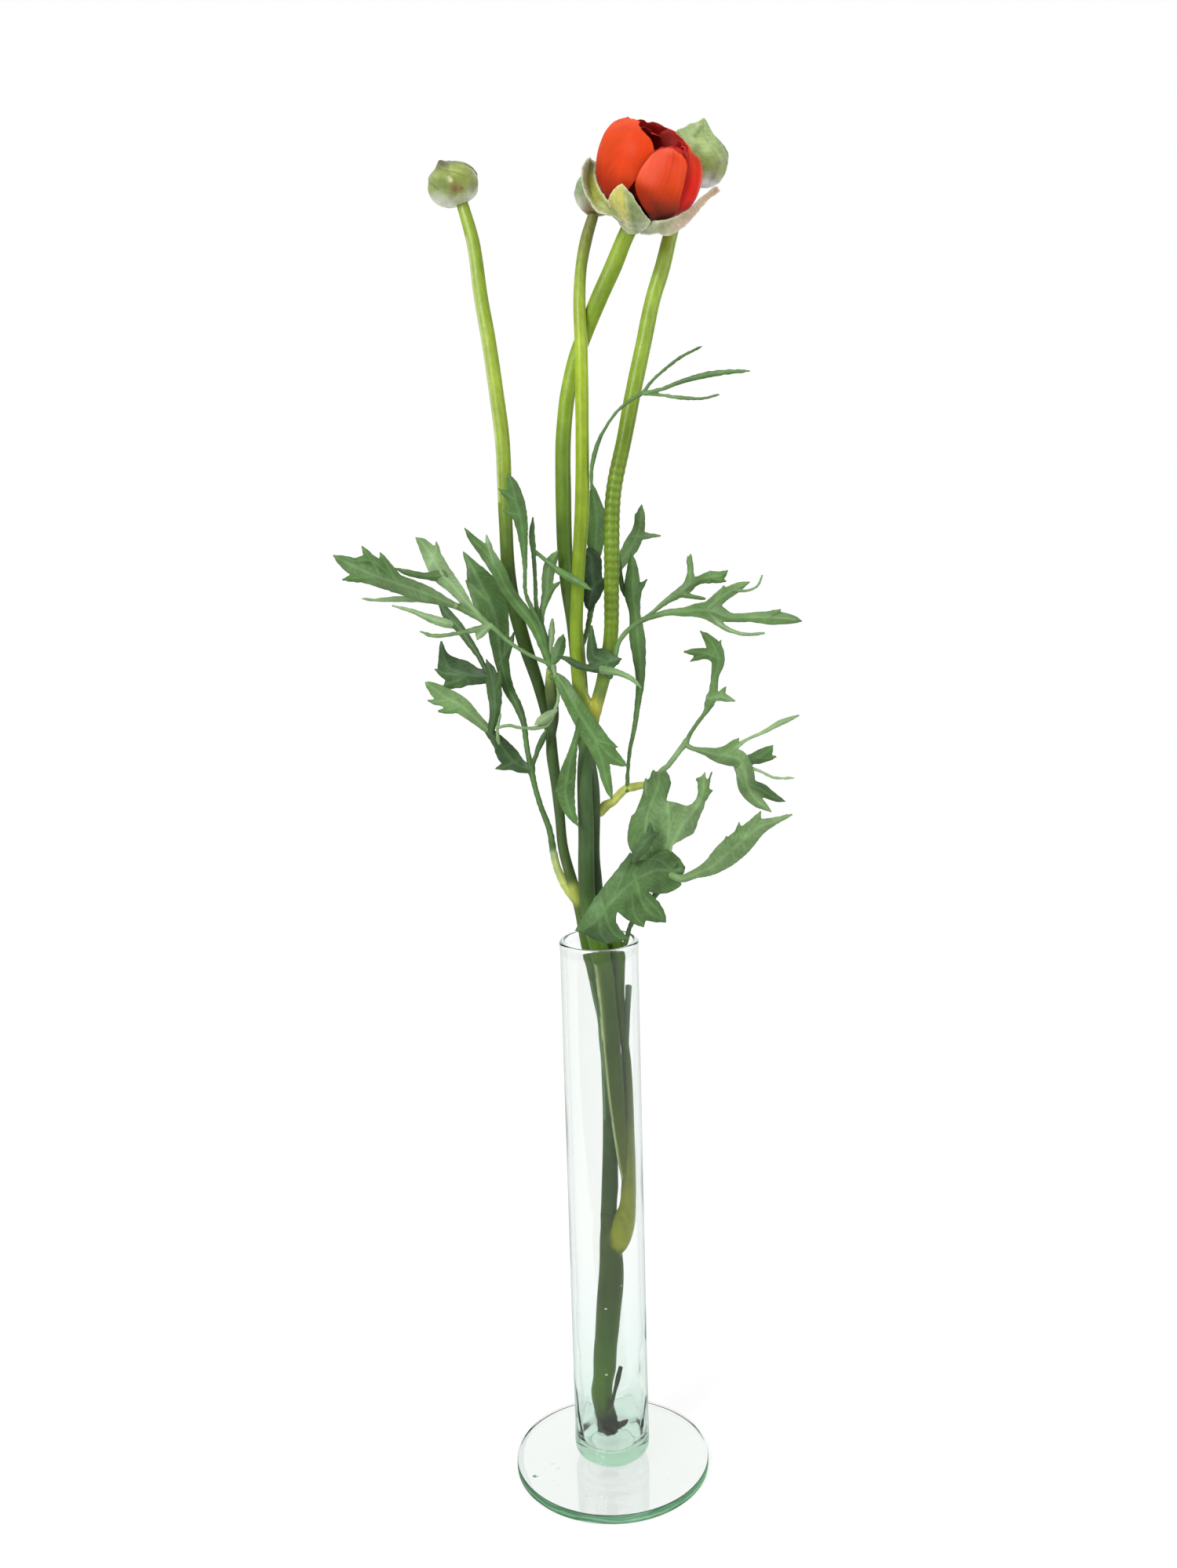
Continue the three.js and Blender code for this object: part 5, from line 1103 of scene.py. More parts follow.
def signed_distance(flat, outline):
    """Distance in pixels to a closed drawn outline, below 0 inside it."""
    start = np.array(outline, float)
    edge = np.roll(start, -1, axis=0) - start
    offset = flat[:, None] - start[None]
    t = np.clip((offset * edge).sum(axis=2) / (edge**2).sum(axis=1), 0, 1)
    gap = np.linalg.norm(offset - t[..., None] * edge, axis=2).min(axis=1)
    end = start + edge
    level = flat[:, None, 1]
    cuts = ((start[:, 1] > level) != (end[:, 1] > level))
    rise = np.where(edge[:, 1] == 0, 1, edge[:, 1])
    at = start[:, 0] + (level - start[:, 1]) / rise * edge[:, 0]
    inside = (cuts & (flat[:, None, 0] < at)).sum(axis=1) % 2 == 1
    return np.where(inside, -gap, gap)


def lobe_gaps(flat, line):
    """The nearest row of a lobe to each place, and the distance to the lobe's edge, below 0 inside it."""
    index, gap = [], []
    for start in range(0, len(flat), BLOCK):
        part = flat[start:start + BLOCK]
        every = np.linalg.norm(part[:, None] - line[None, :, :2], axis=2) - line[None, :, 3] / 2
        index.append(every.argmin(axis=1))
        gap.append(every.min(axis=1))
    return np.concatenate(index), np.concatenate(gap)


def drawn_sheet(lobes, seed, outline=None, wavy=0.35):
    """A sheet lifted to its lobes' depths: the smooth union of their widths, or a drawn outline."""
    every = np.concatenate([line for line, _ in lobes])
    margin = every[:, 3].max() / 2 + SHEET_MARGIN
    xs = np.arange(every[:, 0].min() - margin, every[:, 0].max() + margin, CELL)
    ys = np.arange(every[:, 1].min() - margin, every[:, 1].max() + margin, CELL)
    gx, gy = np.meshgrid(xs, ys)
    flat = np.stack([gx.ravel(), gy.ravel()], axis=1)
    count = len(flat)
    field, total, rib = np.full(count, 1e3), np.full(count, 1e-9), np.zeros(count)
    blended = np.zeros((5, count))  # depth, tone, girth, along, across
    for line, own_tone in lobes:
        reach = line[:, 3].max() / 2 + LOBE_REACH
        inside = (flat >= line[:, :2].min(axis=0) - reach) & (flat <= line[:, :2].max(axis=0) + reach)
        where = np.nonzero(inside.all(axis=1))[0]
        p = flat[where]
        k, f = lobe_gaps(p, line)
        tangent = unit(np.gradient(line[:, :2], axis=0))[k]
        offset = p - line[k, :2]
        side = offset[:, 0] * tangent[:, 1] - offset[:, 1] * tangent[:, 0]
        half = line[k, 3] / 2
        near = np.clip(np.abs(side) / np.maximum(half, 1), 0, 1.4)
        bent = (near**2 / (near + 0.25)) * half
        lift = line[k, 2] + PIXEL * (-np.tan(np.radians(line[k, 4])) * side + LOBE_FOLD * 2 * bent)
        weight = np.exp(-np.clip(f, -9, 14) / BLEND)
        total[where] += weight
        blended[:, where] += weight * np.stack([lift, np.full(len(p), own_tone), half, k * LOBE_STEP, side])
        width = np.clip(half * 0.16, 0.8, 2.2)
        rib[where] = np.maximum(rib[where], np.exp(-(side / width) ** 2) * step_up(-8, 4, -f - 1))
        h = np.clip(0.5 + 0.5 * (f - field[where]) / FILLET, 0, 1)
        field[where] = f * (1 - h) + field[where] * h - FILLET * h * (1 - h) * 0.5
    if outline is not None:
        field = signed_distance(flat, outline)
    field += ripple(np.c_[flat, np.zeros(count)], 9, seed) * wavy
    depth, tone, girth, along, across = blended / total
    verts, faces, values = contoured(flat, field, (len(ys), len(xs)),
                                     np.stack([depth, tone, girth, rib, along, across, field], axis=1))
    level = relaxed(values[:, :1], faces, np.full(len(verts), 0.6), 10)[:, 0]
    return verts, faces, level, values[:, 1:].T


def blade(lobes, seed, outline=None):
    """A leaf's blade with ribs, side veins and a soft flutter, thicker where it is a stalk."""
    verts, faces, level, (tone, girth, rib, along, across, field) = drawn_sheet(lobes, seed, outline)
    places = spot(verts[:, 0], verts[:, 1], level)
    inner = step_up(0, 5, -field)
    places[:, 1] += ripple(places, 16, seed + 1) * FLUTTER * inner * step_up(5, 14, girth)
    veins = np.abs((along + np.abs(across) * VEIN_SLANT) / VEIN_PITCH % 1 - 0.5) * 2
    veins = (1 - step_up(0, 0.3, veins)) * step_up(6, 11, girth) * step_up(1.0, 4, -field) * 0.8
    vein = np.maximum(rib, veins)
    places[:, 1] -= VEIN_GROOVE * vein * step_up(4, 8, girth)
    slim = 1 - step_up(4, 9, girth)
    stalk = np.sqrt(np.clip(1 - (across / np.maximum(girth, 1.2)) ** 2, 0, 1))
    half = (EDGE_HALF + (LEAF_HALF - EDGE_HALF) * step_up(0, 3.0, -field)
            + slim * STALK_HALF * np.minimum(girth / 3, 1) * stalk + (1 - slim) * RIB_HALF * rib)
    green = DARK_LEAF
    for i, lighter in enumerate((MID_LEAF, PALE_LEAF)):
        green = mix(green, lighter, np.clip(tone * 2 - i, 0, 1))
    green = mix(green, SHEATH, np.clip(tone - 1, 0, 1))
    shade = 1 + 0.16 * ripple(places, 20, seed + 2) + 0.1 * ripple(places, 5, seed + 3)
    green = green * shade[:, None]
    green = mix(green, green * 1.4 + 0.03, 0.7 * vein)
    green = mix(green, green * 0.8, 0.5 * (1 - step_up(0, 2.2, -field)))
    under = mix(green, PALE_LEAF * 0.8, 0.3)
    return shell(places, faces, half, {"tint": np.clip(green, 0.004, 1)}, {"tint": np.clip(under, 0.004, 1)})


NEAR_ZERO = 0.32


def contoured(flat, field, shape, values):
    """The polygons of a grid where the field is below 0, cut along its zero line, and the values there."""
    columns = shape[1]
    flat, field, values = flat.copy(), field.copy(), values.copy()
    down, right = np.gradient(field.reshape(shape), CELL)
    steep = np.maximum(down.ravel() ** 2 + right.ravel() ** 2, 0.2)
    close = np.abs(field) < NEAR_ZERO * CELL
    flat[close, 0] -= (field * right.ravel() / steep)[close]
    flat[close, 1] -= (field * down.ravel() / steep)[close]
    field[close] = 0
    values[close, -1] = 0
    grid = field.reshape(shape)
    low = np.minimum.reduce([grid[:-1, :-1], grid[1:, :-1], grid[:-1, 1:], grid[1:, 1:]])
    index, verts, carried, faces = {}, [], [], []

    def vertex(a, b, t):
        """The vertex a share t of the way from a to b, made once."""
        key = (min(a, b), max(a, b))
        if key not in index:
            index[key] = len(verts)
            verts.append(flat[a] + (flat[b] - flat[a]) * t)
            carried.append(values[a] + (values[b] - values[a]) * t)
        return index[key]

    for i, j in zip(*np.nonzero(low < 0)):
        corners = [i * columns + j, (i + 1) * columns + j, (i + 1) * columns + j + 1, i * columns + j + 1]
        face = []
        for a, b in zip(corners, corners[1:] + corners[:1]):
            if field[a] <= 0:
                face.append(vertex(a, a, 0))
            if field[a] * field[b] < 0:
                face.append(vertex(a, b, field[a] / (field[a] - field[b])))
        if len(face) in (3, 4):
            faces.append(face)
        else:
            faces += [[face[0], face[m], face[m + 1]] for m in range(1, len(face) - 1)]
    return biggest_sheet(np.array(verts), faces, np.array(carried))


def biggest_sheet(verts, faces, values):
    """Drops crumbs: keeps the largest set of faces that hang together by edges."""
    owner = list(range(len(verts)))

    def find(a):
        while owner[a] != a:
            owner[a] = owner[owner[a]]
            a = owner[a]
        return a

    for face in faces:
        for b in face[1:]:
            owner[find(face[0])] = find(b)
    root = np.array([find(a) for a in range(len(verts))])
    names, counts = np.unique(root[[f[0] for f in faces]], return_counts=True)
    kept = names[counts.argmax()]
    keep = root == kept
    renumber = np.cumsum(keep) - 1
    return verts[keep], [[int(renumber[a]) for a in f] for f in faces if root[f[0]] == kept], values[keep]


def leaf_body(lobes, root_x, slope, blades, tones, base_tone, seed, outlines=()):
    """A leaf's blades; an outline belongs to the blade whose first lobe it names."""
    parts = []
    for i, names in enumerate(blades):
        samples = [lobe_samples(lobes[n], root_x, slope, tones.get(n, base_tone)) for n in names]
        parts.append(blade(samples, seed + 10 * i, dict(outlines).get(names[0])))
    return merged(parts)


LEAVES = {
    "upper_left_leaf": dict(
        lobes=UPPER_LEFT_LEAF, root_x=702, slope=-0.09, base_tone=0.5, seed=100,
        tones=dict(shoulder=0.8, shoulder_left_tip=0.6, shoulder_right_tip=0.7, shoulder_lobe=0.55,
                   low_strip=0.65, low_strip_lobe=0.85, narrow_strip=0.75, fan_side_tip=0.85, fan_leaflet=0.5,
                   far_upper_edge=0.45, tall_leaflet=0.4, slim_leaflet=0.3, pale_leaflet=0.6,
                   drooping_strip=0.8, drooping_curl=0.9, small_lobe=0.45, small_spike=0.75, rachis=0.6,
                   tendril=0.5),
        blades=[
            ["rachis", "far_upper_edge", "far_upper_tooth", "far_second_tooth", "far_lower_tooth", "shoulder",
             "shoulder_left_tip", "shoulder_right_tip", "low_strip", "low_strip_lobe"],
            ["shoulder_lobe"], ["narrow_strip"], ["fan_leaflet", "fan_side_tip"],
            ["tall_leaflet", "tall_upper_tooth", "tall_lower_tooth"],
            ["slim_leaflet", "tendril"], ["pale_leaflet", "pale_tip"], ["small_lobe", "small_spike"],
            ["drooping_strip"], ["drooping_curl"]]),
    "lower_left_leaf": dict(
        lobes=LOWER_LEFT_LEAF, root_x=690, slope=0.12, base_tone=0.3, seed=300,
        # The dark ribbon's low tone is painted shade: that strip lies in shadow.
        tones=dict(folded=0.16, folded_tip=0.3, folded_curl=0.75, far_blade=0.64, far_first_tooth=0.55,
                   far_second_tooth=0.5, upright_blade=0.22, dark_blade=0.14, dark_ribbon=0.25,
                   pale_ribbon=0.75, central_blade=0.36, central_tooth=0.62, leaf_stalk=0.42, sheath=2.6),
        blades=[
            ["leaf_stalk", "sheath", "folded", "folded_tip", "stalk_leaflet"],
            ["far_blade", "far_first_tooth", "far_second_tooth"], ["upright_blade", "upright_bump"],
            ["dark_blade", "dark_tooth", "dark_lower_tooth"], ["dark_ribbon"], ["pale_ribbon"],
            ["central_blade", "central_tooth", "central_low_tooth"], ["folded_curl"]]),
    "front_leaf": dict(
        lobes=FRONT_LEAF, root_x=706, slope=-0.03, base_tone=0.46, seed=500,
        tones=dict(hanging_stalk=0.5, hanging_tooth=0.3, lower_lobe=0.5),
        blades=[["rachis", "right_tooth", "lower_lobe"], ["hanging_stalk", "hanging_tooth"]]),
    "fork_leaf": dict(
        lobes=FORK_LEAF, root_x=777, slope=-0.04, base_tone=0.16, seed=600,
        tones=dict(left_arm=0.15, trailing_tip=0.7),
        blades=[["body", "left_arm", "right_spike"], ["trailing_tip"]]),
    "right_leaf": dict(
        lobes=RIGHT_LEAF, root_x=784, slope=-0.1, base_tone=0.5, seed=700,
        tones=dict(leaf_stalk=0.55, raised_lobe=0.6, raised_tail=0.7, lower_tail=0.7, upper_branch=0.6),
        blades=[
            ["leaf_stalk", "main_tooth", "raised_lobe", "raised_tooth", "lower_tail"], ["raised_tail"],
            ["upper_branch", "upper_side_tip", "upper_right_lobe", "upper_right_tooth", "upper_right_notch",
             "middle_tip"]]),
    "middle_right_leaf": dict(
        lobes=MIDDLE_RIGHT_LEAF, root_x=800, slope=0.1, base_tone=0.5, seed=800,
        tones=dict(leaf_stalk=0.75, sheath=2.8, up_low_lobe=0.7, far_sliver=0.85, dark_lobe=0.25,
                   out_branch=0.65, raised_lobe=0.5, upper_tail=0.95, long_stalk=0.5, long_right_tooth=0.3,
                   long_left_lobe=0.4),
        blades=[
            ["leaf_stalk", "sheath", "up_branch", "up_left_lobe", "up_left_tooth", "up_right_tooth",
             "up_low_lobe", "up_low_tooth"],
            ["out_branch", "out_upper_tip", "far_sliver", "dark_lobe"], ["raised_lobe", "raised_tip"],
            ["upper_tail"], ["long_stalk", "long_right_tooth"], ["long_left_lobe"]]),
    "rim_leaf": dict(
        lobes=RIM_LEAF, root_x=850, slope=-0.06, base_tone=0.46, seed=900,
        tones=dict(tall_blade=0.56, tall_left_tip=0.56, tall_side_tooth=0.7, web=0.64, folded_blade=0.7,
                   folded_right_tip=0.45, folded_side_tip=0.5, small_blade=0.18, small_tooth=0.25,
                   out_blade=0.66, out_upper_tip=0.6, upper_corner=0.22, left_arm=0.28, front_blade=0.36,
                   front_low_lobe=0.25, front_lowest_tip=0.2, front_middle_lobe=0.42, front_middle_tip=0.42,
                   leaf_stalk=0.3),
        outlines=dict(tall_blade=TALL_OUTLINE, front_blade=FRONT_OUTLINE),
        blades=[
            ["leaf_stalk"],
            ["tall_blade", "tall_left_tip", "tall_side_tooth", "web", "folded_blade", "folded_right_tip",
             "folded_side_tip", "folded_left_tip"],
            ["small_blade", "small_tooth"],
            ["out_blade", "out_upper_tip", "out_first_tooth", "out_second_tooth", "out_third_tooth"],
            ["front_blade", "front_middle_lobe", "front_middle_tip", "front_inner_tip", "front_low_lobe",
             "front_lowest_tip", "upper_corner", "left_arm"]]),
    "thin_leaf": dict(
        lobes=THIN_LEAF, root_x=754, slope=-0.05, base_tone=0.42, seed=1000, tones=dict(lower_strip=0.6),
        blades=[["leaf_stalk", "upper_strip"], ["middle_strip", "lower_strip"]]),
    "back_leaf": dict(
        lobes=BACK_LEAF, root_x=750, slope=0.08, base_tone=0.45, seed=1100,
        tones=dict(dark_blade=0.06, dark_upper_blade=0.03, right_blade=0.62, right_side_tip=0.66),
        blades=[
            ["leaf_stalk", "up_blade"], ["right_blade", "right_side_tip", "right_tooth"],
            ["dark_blade", "dark_upper_blade"]]),
}


# The flower. Petals are patches of a globe: polar angles run from 0 at the receptacle to 180 at the open
# top, and azimuth 0 faces the front, growing to the right. Rows are [polar angle, left azimuth, right
# azimuth, left radius, middle radius, right radius], with the radii in parts of the bloom's radius.
# Sepals are drawn by lobes and an outline, as the leaves are.

BLOOM_RADIUS = 17.4
BLOOM_CENTRE = spot(829, 217, -10)
LEAN_RIGHT, LEAN_FORWARD = math.radians(23), math.radians(20)
BLOOM_AXIS = np.array([
    math.sin(LEAN_RIGHT) * math.cos(LEAN_FORWARD), -math.sin(LEAN_FORWARD),
    math.cos(LEAN_RIGHT) * math.cos(LEAN_FORWARD)])
TO_EYE = unit(EYE - BLOOM_CENTRE)
BLOOM_FRONT = unit(TO_EYE - BLOOM_AXIS * TO_EYE.dot(BLOOM_AXIS))
BLOOM_RIGHT = -np.cross(BLOOM_FRONT, BLOOM_AXIS)

PETALS = {
    "left_front": [
        [12, -96, -10, 0.985, 0.985, 0.985], [32, -92, -24, 1, 1, 0.98], [50, -98, -22, 1.04, 1.03, 0.97],
        [78, -122, -14, 1.08, 1.05, 0.97], [98, -130, -6, 1.1, 1.08, 0.97], [112, -130, -3, 1.11, 1.11, 0.98],
        [122, -126, -6, 1.1, 1.1, 0.99], [129, -112, -15, 1.06, 1.06, 1], [135, -94, -33, 1.04, 1.03, 1],
        [138, -78, -50, 1.02, 1.01, 1]],
    "right_front": [
        [12, 2, 80, 0.985, 0.985, 0.985], [36, 24, 60, 1.02, 1.03, 1.02], [48, 22, 57, 1.04, 1.05, 1.03],
        [64, 2, 56, 1.05, 1.06, 1.03], [78, -9, 47, 1.05, 1.06, 1.03], [94, -10, 43, 1.05, 1.06, 1.03],
        [108, -7, 42, 1.05, 1.05, 1.02], [117, -3, 42, 1.04, 1.03, 1.01], [122, 2, 40, 1.02, 1.01, 1],
        [125, 8, 36, 1.01, 1, 1]],
    "right_side": [
        [12, 62, 130, 0.93, 0.93, 0.93], [40, 58, 120, 0.93, 1, 1], [60, 54, 118, 0.93, 1.03, 1.01],
        [84, 49, 118, 0.93, 1.03, 1.01], [104, 47, 112, 0.93, 1.01, 1], [120, 46, 92, 0.94, 0.99, 0.98],
        [129, 47, 69, 0.97, 0.98, 0.96], [134, 49, 58, 0.98, 0.97, 0.96]],
    "back_right": [
        [12, 104, 172, 0.87, 0.87, 0.87], [40, 92, 186, 0.89, 0.93, 0.92], [70, 86, 190, 0.89, 0.94, 0.93],
        [100, 84, 190, 0.87, 0.92, 0.93], [122, 92, 188, 0.85, 0.9, 0.93], [134, 110, 184, 0.87, 0.9, 0.93],
        [141, 136, 176, 0.89, 0.91, 0.93]],
    "back_left": [
        [12, 176, 256, 0.96, 0.96, 0.96], [40, 158, 266, 1.02, 1.02, 0.96], [70, 148, 274, 1.02, 1.04, 0.97],
        [100, 146, 276, 1.01, 1.03, 0.97], [122, 150, 270, 0.99, 0.99, 0.96],
        [132, 157, 262, 0.97, 0.96, 0.95], [139, 170, 250, 0.96, 0.95, 0.94]],
}
# Colours from the receptacle up, by polar angle. The right front petal's dark low stops are partly its own
# darker base and partly painted shadow from the sepals.
PETAL_COLOURS = {
    "left_front": [(20, (96, 22, 14)), (46, (136, 34, 14)), (58, (174, 44, 14)), (72, (206, 60, 20)),
                   (90, (226, 72, 26)), (118, (232, 74, 22)), (132, (230, 70, 14)), (142, (240, 86, 30))],
    "right_front": [(20, (84, 20, 16)), (44, (98, 36, 26)), (60, (104, 36, 22)), (70, (142, 46, 20)),
                    (80, (196, 58, 14)), (92, (222, 70, 22)), (108, (228, 72, 34)), (120, (222, 64, 26)),
                    (128, (236, 92, 50))],
    "right_side": [(20, (232, 140, 122)), (44, (226, 108, 90)), (56, (206, 32, 20)), (90, (234, 34, 18)),
                   (124, (220, 52, 18)), (137, (226, 76, 36))],
    "back_right": [(20, (110, 10, 14)), (90, (150, 20, 18)), (120, (190, 30, 22)), (144, (226, 54, 36))],
    "back_left": [(20, (110, 10, 14)), (90, (150, 22, 20)), (120, (176, 28, 24)), (142, (204, 40, 32))],
}
SEPALS = {
    "front": dict(
        lobes=[
            [[800, 296, -4, 16], [791, 284, -7.6, 15], [781, 268, -13.8, 14], [778, 256, -17.4, 12],
             [783, 244, -22, 8], [790, 237, -25.2, 4]],
            [[808, 298, -7, 18], [804, 285, -16.8, 18], [799, 270, -21.6, 18], [795, 259, -24, 16],
             [793, 248, -25.6, 12], [793, 238, -26.2, 5]],
            [[822, 297, -9, 14], [820, 285, -17.6, 14], [814, 273, -21.8, 13], [808, 261, -24.2, 12],
             [802, 250, -25.4, 9], [795, 240, -26, 4]],
        ],
        outline=[(793, 234.5), (798, 239), (803, 245), (809, 253), (814, 262), (821, 272), (828.5, 281),
                 (827, 287), (822, 292), (814, 298), (800, 298), (793, 291), (789, 285), (784, 277),
                 (780, 270), (776, 263), (774.5, 257), (777, 249), (782, 241), (788, 236.5)]),
    "left": dict(
        lobes=[
            [[790, 280, -13, 10], [774, 271, -15.5, 7], [762, 270, -14, 6], [755, 263, -13, 6],
             [746, 247, -12.5, 6], [743, 232, -12.5, 6], [742.5, 218, -13.5, 6], [747, 206, -14.5, 5],
             [752, 200, -15, 3]],
            [[790, 278, -12, 12], [772, 264, -13, 10], [760, 253, -9.5, 9], [753, 240, -8, 9],
             [750, 226, -8.5, 9], [752, 212, -11, 7], [753, 205, -13, 4]],
            [[788, 272, -15.5, 8], [777, 261, -16.6, 7], [768, 250, -14, 7], [761, 238, -12, 6],
             [758, 226, -11, 6], [758, 215, -12, 5], [761, 206, -14.5, 3]],
        ],
        outline=[(752, 200), (755, 204), (760.5, 206), (759.5, 214), (759, 223), (761, 232), (766, 243),
                 (772, 252), (779, 259), (792, 270), (794, 284), (783, 277), (771, 273.5), (762, 271.5),
                 (756.5, 266), (751, 257), (747, 250), (743.5, 240), (741, 229), (740.5, 221), (742, 212),
                 (745.5, 205.5), (749, 202)]),
    "right": dict(
        lobes=[
            [[826, 289, -15.5, 10], [840, 285, -19, 10], [858, 279, -18.4, 9], [872, 271.5, -16.4, 8],
             [882, 264, -14.6, 8], [892, 255, -12.2, 7], [903, 246, -9.6, 6], [912, 240, -7, 4]],
            [[822, 294, -10, 12], [840, 292, -16.4, 13], [858, 288, -16, 14], [873, 279, -14.4, 13],
             [884, 268, -12.2, 12], [895, 257, -9.6, 10], [906, 248, -7.4, 8], [914, 243, -6, 5]],
            [[826, 297, -6, 8], [845, 299, -9.6, 8], [862, 295, -9.2, 8], [874, 286, -9, 8],
             [884, 276, -8.4, 8], [892, 267, -7.6, 7], [902, 256, -6.4, 6], [915, 246, -5, 4]],
        ],
        outline=[(820, 286), (832, 281), (845, 281), (860, 276.5), (872, 269.5), (882, 262.5), (890, 254.5),
                 (900, 247), (911, 237.5), (914, 237), (915, 240), (918, 244), (912, 248), (905, 252.5),
                 (897, 261), (890, 269), (885, 275), (880, 281), (872, 289), (862, 296), (854, 300),
                 (846, 300.5), (838, 297), (826, 300), (816, 298)]),
}
INNER_PETALS = [(30 + 90 * i, 56, 138, 0.79) for i in range(4)] + [(120 * i, 58, 132, 0.64) for i in range(3)]


def on_bloom(polar, azimuth, radius):
    p, a = np.radians(polar), np.radians(azimuth)
    return BLOOM_CENTRE + BLOOM_RADIUS * np.asarray(radius)[..., None] * (
        -np.cos(p)[..., None] * BLOOM_AXIS + (np.sin(p) * np.cos(a))[..., None] * BLOOM_FRONT
        + (np.sin(p) * np.sin(a))[..., None] * BLOOM_RIGHT)


CAP_BEND = 0.97
ACROSS_BEND = math.pi / 2 * 0.92


def patch_grid(rows, lines, columns, cap):
    """A fine grid over a patch with a rounded far end: polar angles, azimuths, radii and shares across."""
    table = np.array(rows, float)
    polar = np.linspace(table[0, 0], table[-1, 0], lines)
    k = np.clip(np.searchsorted(table[:, 0], polar, side="right") - 1, 0, len(table) - 2)
    h = table[k + 1, 0] - table[k, 0]
    a, b, c, d = hermite((polar - table[k, 0]) / h)
    edge = []
    for column in table[:, 1:].T:
        slope = np.gradient(column, table[:, 0])
        edge.append(a * column[k] + b * h * slope[k] + c * column[k + 1] + d * h * slope[k + 1])
    bend = np.linspace(0, math.pi / 2, 9)[1:] * CAP_BEND
    last = [e[-1] for e in edge]
    middle, half = (last[0] + last[1]) / 2, (last[1] - last[0]) / 2
    polar = np.r_[polar, polar[-1] + cap * np.sin(bend)]
    edge[0] = np.r_[edge[0], middle - half * np.cos(bend)]
    edge[1] = np.r_[edge[1], middle + half * np.cos(bend)]
    for i in range(2, 5):
        edge[i] = np.r_[edge[i], np.full(len(bend), last[i])]
    share = np.sin(np.linspace(-1, 1, columns) * ACROSS_BEND) / math.sin(ACROSS_BEND)
    azimuth = edge[0][:, None] + (edge[1] - edge[0])[:, None] * (share + 1) / 2
    straight = edge[2][:, None] + (edge[4] - edge[2])[:, None] * (share + 1) / 2
    radius = straight + (edge[3] - (edge[2] + edge[4]) / 2)[:, None] * (1 - share**2)
    polar = np.broadcast_to(polar[:, None], azimuth.shape)
    return polar, azimuth, radius, np.broadcast_to(share, azimuth.shape)


PETAL_HALF = 0.2
PETAL_CAP = 3
RIM_THINNING = 0.55


def petal_body(rows, stops, seed, lines=46, columns=44, wave=0.008):
    """A petal's points, grid shape, colours, shares across and upwards, and half its thickness."""
    polar, azimuth, radius, share = patch_grid(rows, lines, columns, PETAL_CAP)
    first, last = rows[0][0], polar.max()
    up = (polar - first) / (last - first)
    rim = np.maximum(np.abs(share), step_up(0.8, 1.0, up))
    radius = radius + wave * np.sin(azimuth * 0.11 + seed) * np.sin(up * 5 + seed * 2) * step_up(0.1, 0.4, up)
    fold = np.sin(azimuth * 0.21 + 2.6 * np.sin(polar * 0.045 + seed) + seed)
    radius = radius + wave * 0.7 * fold * step_up(0.2, 0.5, up)
    notch = 1.2 * np.sin(azimuth * 0.13 + seed * 3) + 0.4 * np.sin(azimuth * 0.31 + seed)
    polar = polar + notch * step_up(0.72, 1, up)
    curl = np.sin(azimuth * 0.16 + polar * 0.1 + seed)
    radius = radius + 0.012 * curl * step_up(0.85, 1.0, rim) * step_up(0.5, 0.9, up)
    level = np.zeros(azimuth.size)
    streak = ripple(np.stack([azimuth.ravel() * 0.9, polar.ravel() * 0.04, level], 1), 5, seed)
    vein = ripple(np.stack([azimuth.ravel(), polar.ravel() * 0.03, level], 1), 3.2, seed + 9)
    radius = radius + (0.003 * vein.reshape(radius.shape)) * step_up(0.1, 0.3, up)
    points = on_bloom(polar, azimuth, radius).reshape(-1, 3)
    cloud = ripple(points, 9, seed + 30)
    tint = ramp(polar.ravel(), stops) * (1 + 0.07 * streak + 0.06 * vein + 0.08 * cloud)[:, None]
    half = PETAL_HALF * (1 - RIM_THINNING * step_up(0.9, 1.0, rim.ravel()))
    return points, polar.shape, tint, share.ravel(), up.ravel(), half


def closed_patch(points, shape, tint, half, inner):
    faces = grid_faces(*shape)
    return shell(points, faces, half, {"tint": np.clip(tint, 0.002, 1)}, {"tint": np.clip(inner, 0.002, 1)})


PETAL_WASHES = {  # colour, amount, rise and fall across, rise and fall upwards
    # Left front: a pinkish painted sheen across its middle on the left, darker red low in the middle, orange
    # towards its top right.
    "left_front": [((232, 92, 62), 0.6, None, (-0.6, 0.1), (0.3, 0.5), (0.7, 0.88)),
                   ((164, 40, 14), 0.5, (-0.8, -0.2), (0.35, 0.8), None, (0.4, 0.6)),
                   ((230, 60, 8), 0.5, (0.15, 0.6), None, (0.5, 0.7), None)],
    # Right front: a pinkish painted sheen at its upper left, a band of painted shade across its left middle,
    # a painted orange shine at its upper right, and pale tan at its foot.
    "right_front": [((232, 98, 76), 0.6, None, (-0.5, 0.1), (0.56, 0.72), None),
                    ((160, 42, 10), 0.8, None, (-0.7, -0.1), (0.36, 0.44), (0.56, 0.66)),
                    ((244, 80, 30), 0.6, (0.15, 0.5), (0.75, 0.95), (0.6, 0.75), None),
                    ((190, 120, 88), 0.6, None, (-0.4, 0.4), None, (0.14, 0.26))],
    "right_side": [((168, 12, 12), 0.8, None, (-0.9, -0.55), None, None)],
    "back_right": [((236, 96, 58), 0.85, None, (-0.96, -0.72), (0.62, 0.8), None)],
    "back_left": [],
}
LEFT_FRONT_SHADE = 0.84
INNER_FACE = np.array([0.5, 0.35, 0.55])
INNER_START = 16
INNER_SHARES = [0.7, 1, 1, 0.85, 0.45]
INNER_COLOURS = [(16, (90, 18, 16)), (60, (140, 36, 28)), (110, (150, 24, 24)), (140, (170, 32, 30))]
INNER_LIGHT = 1.5


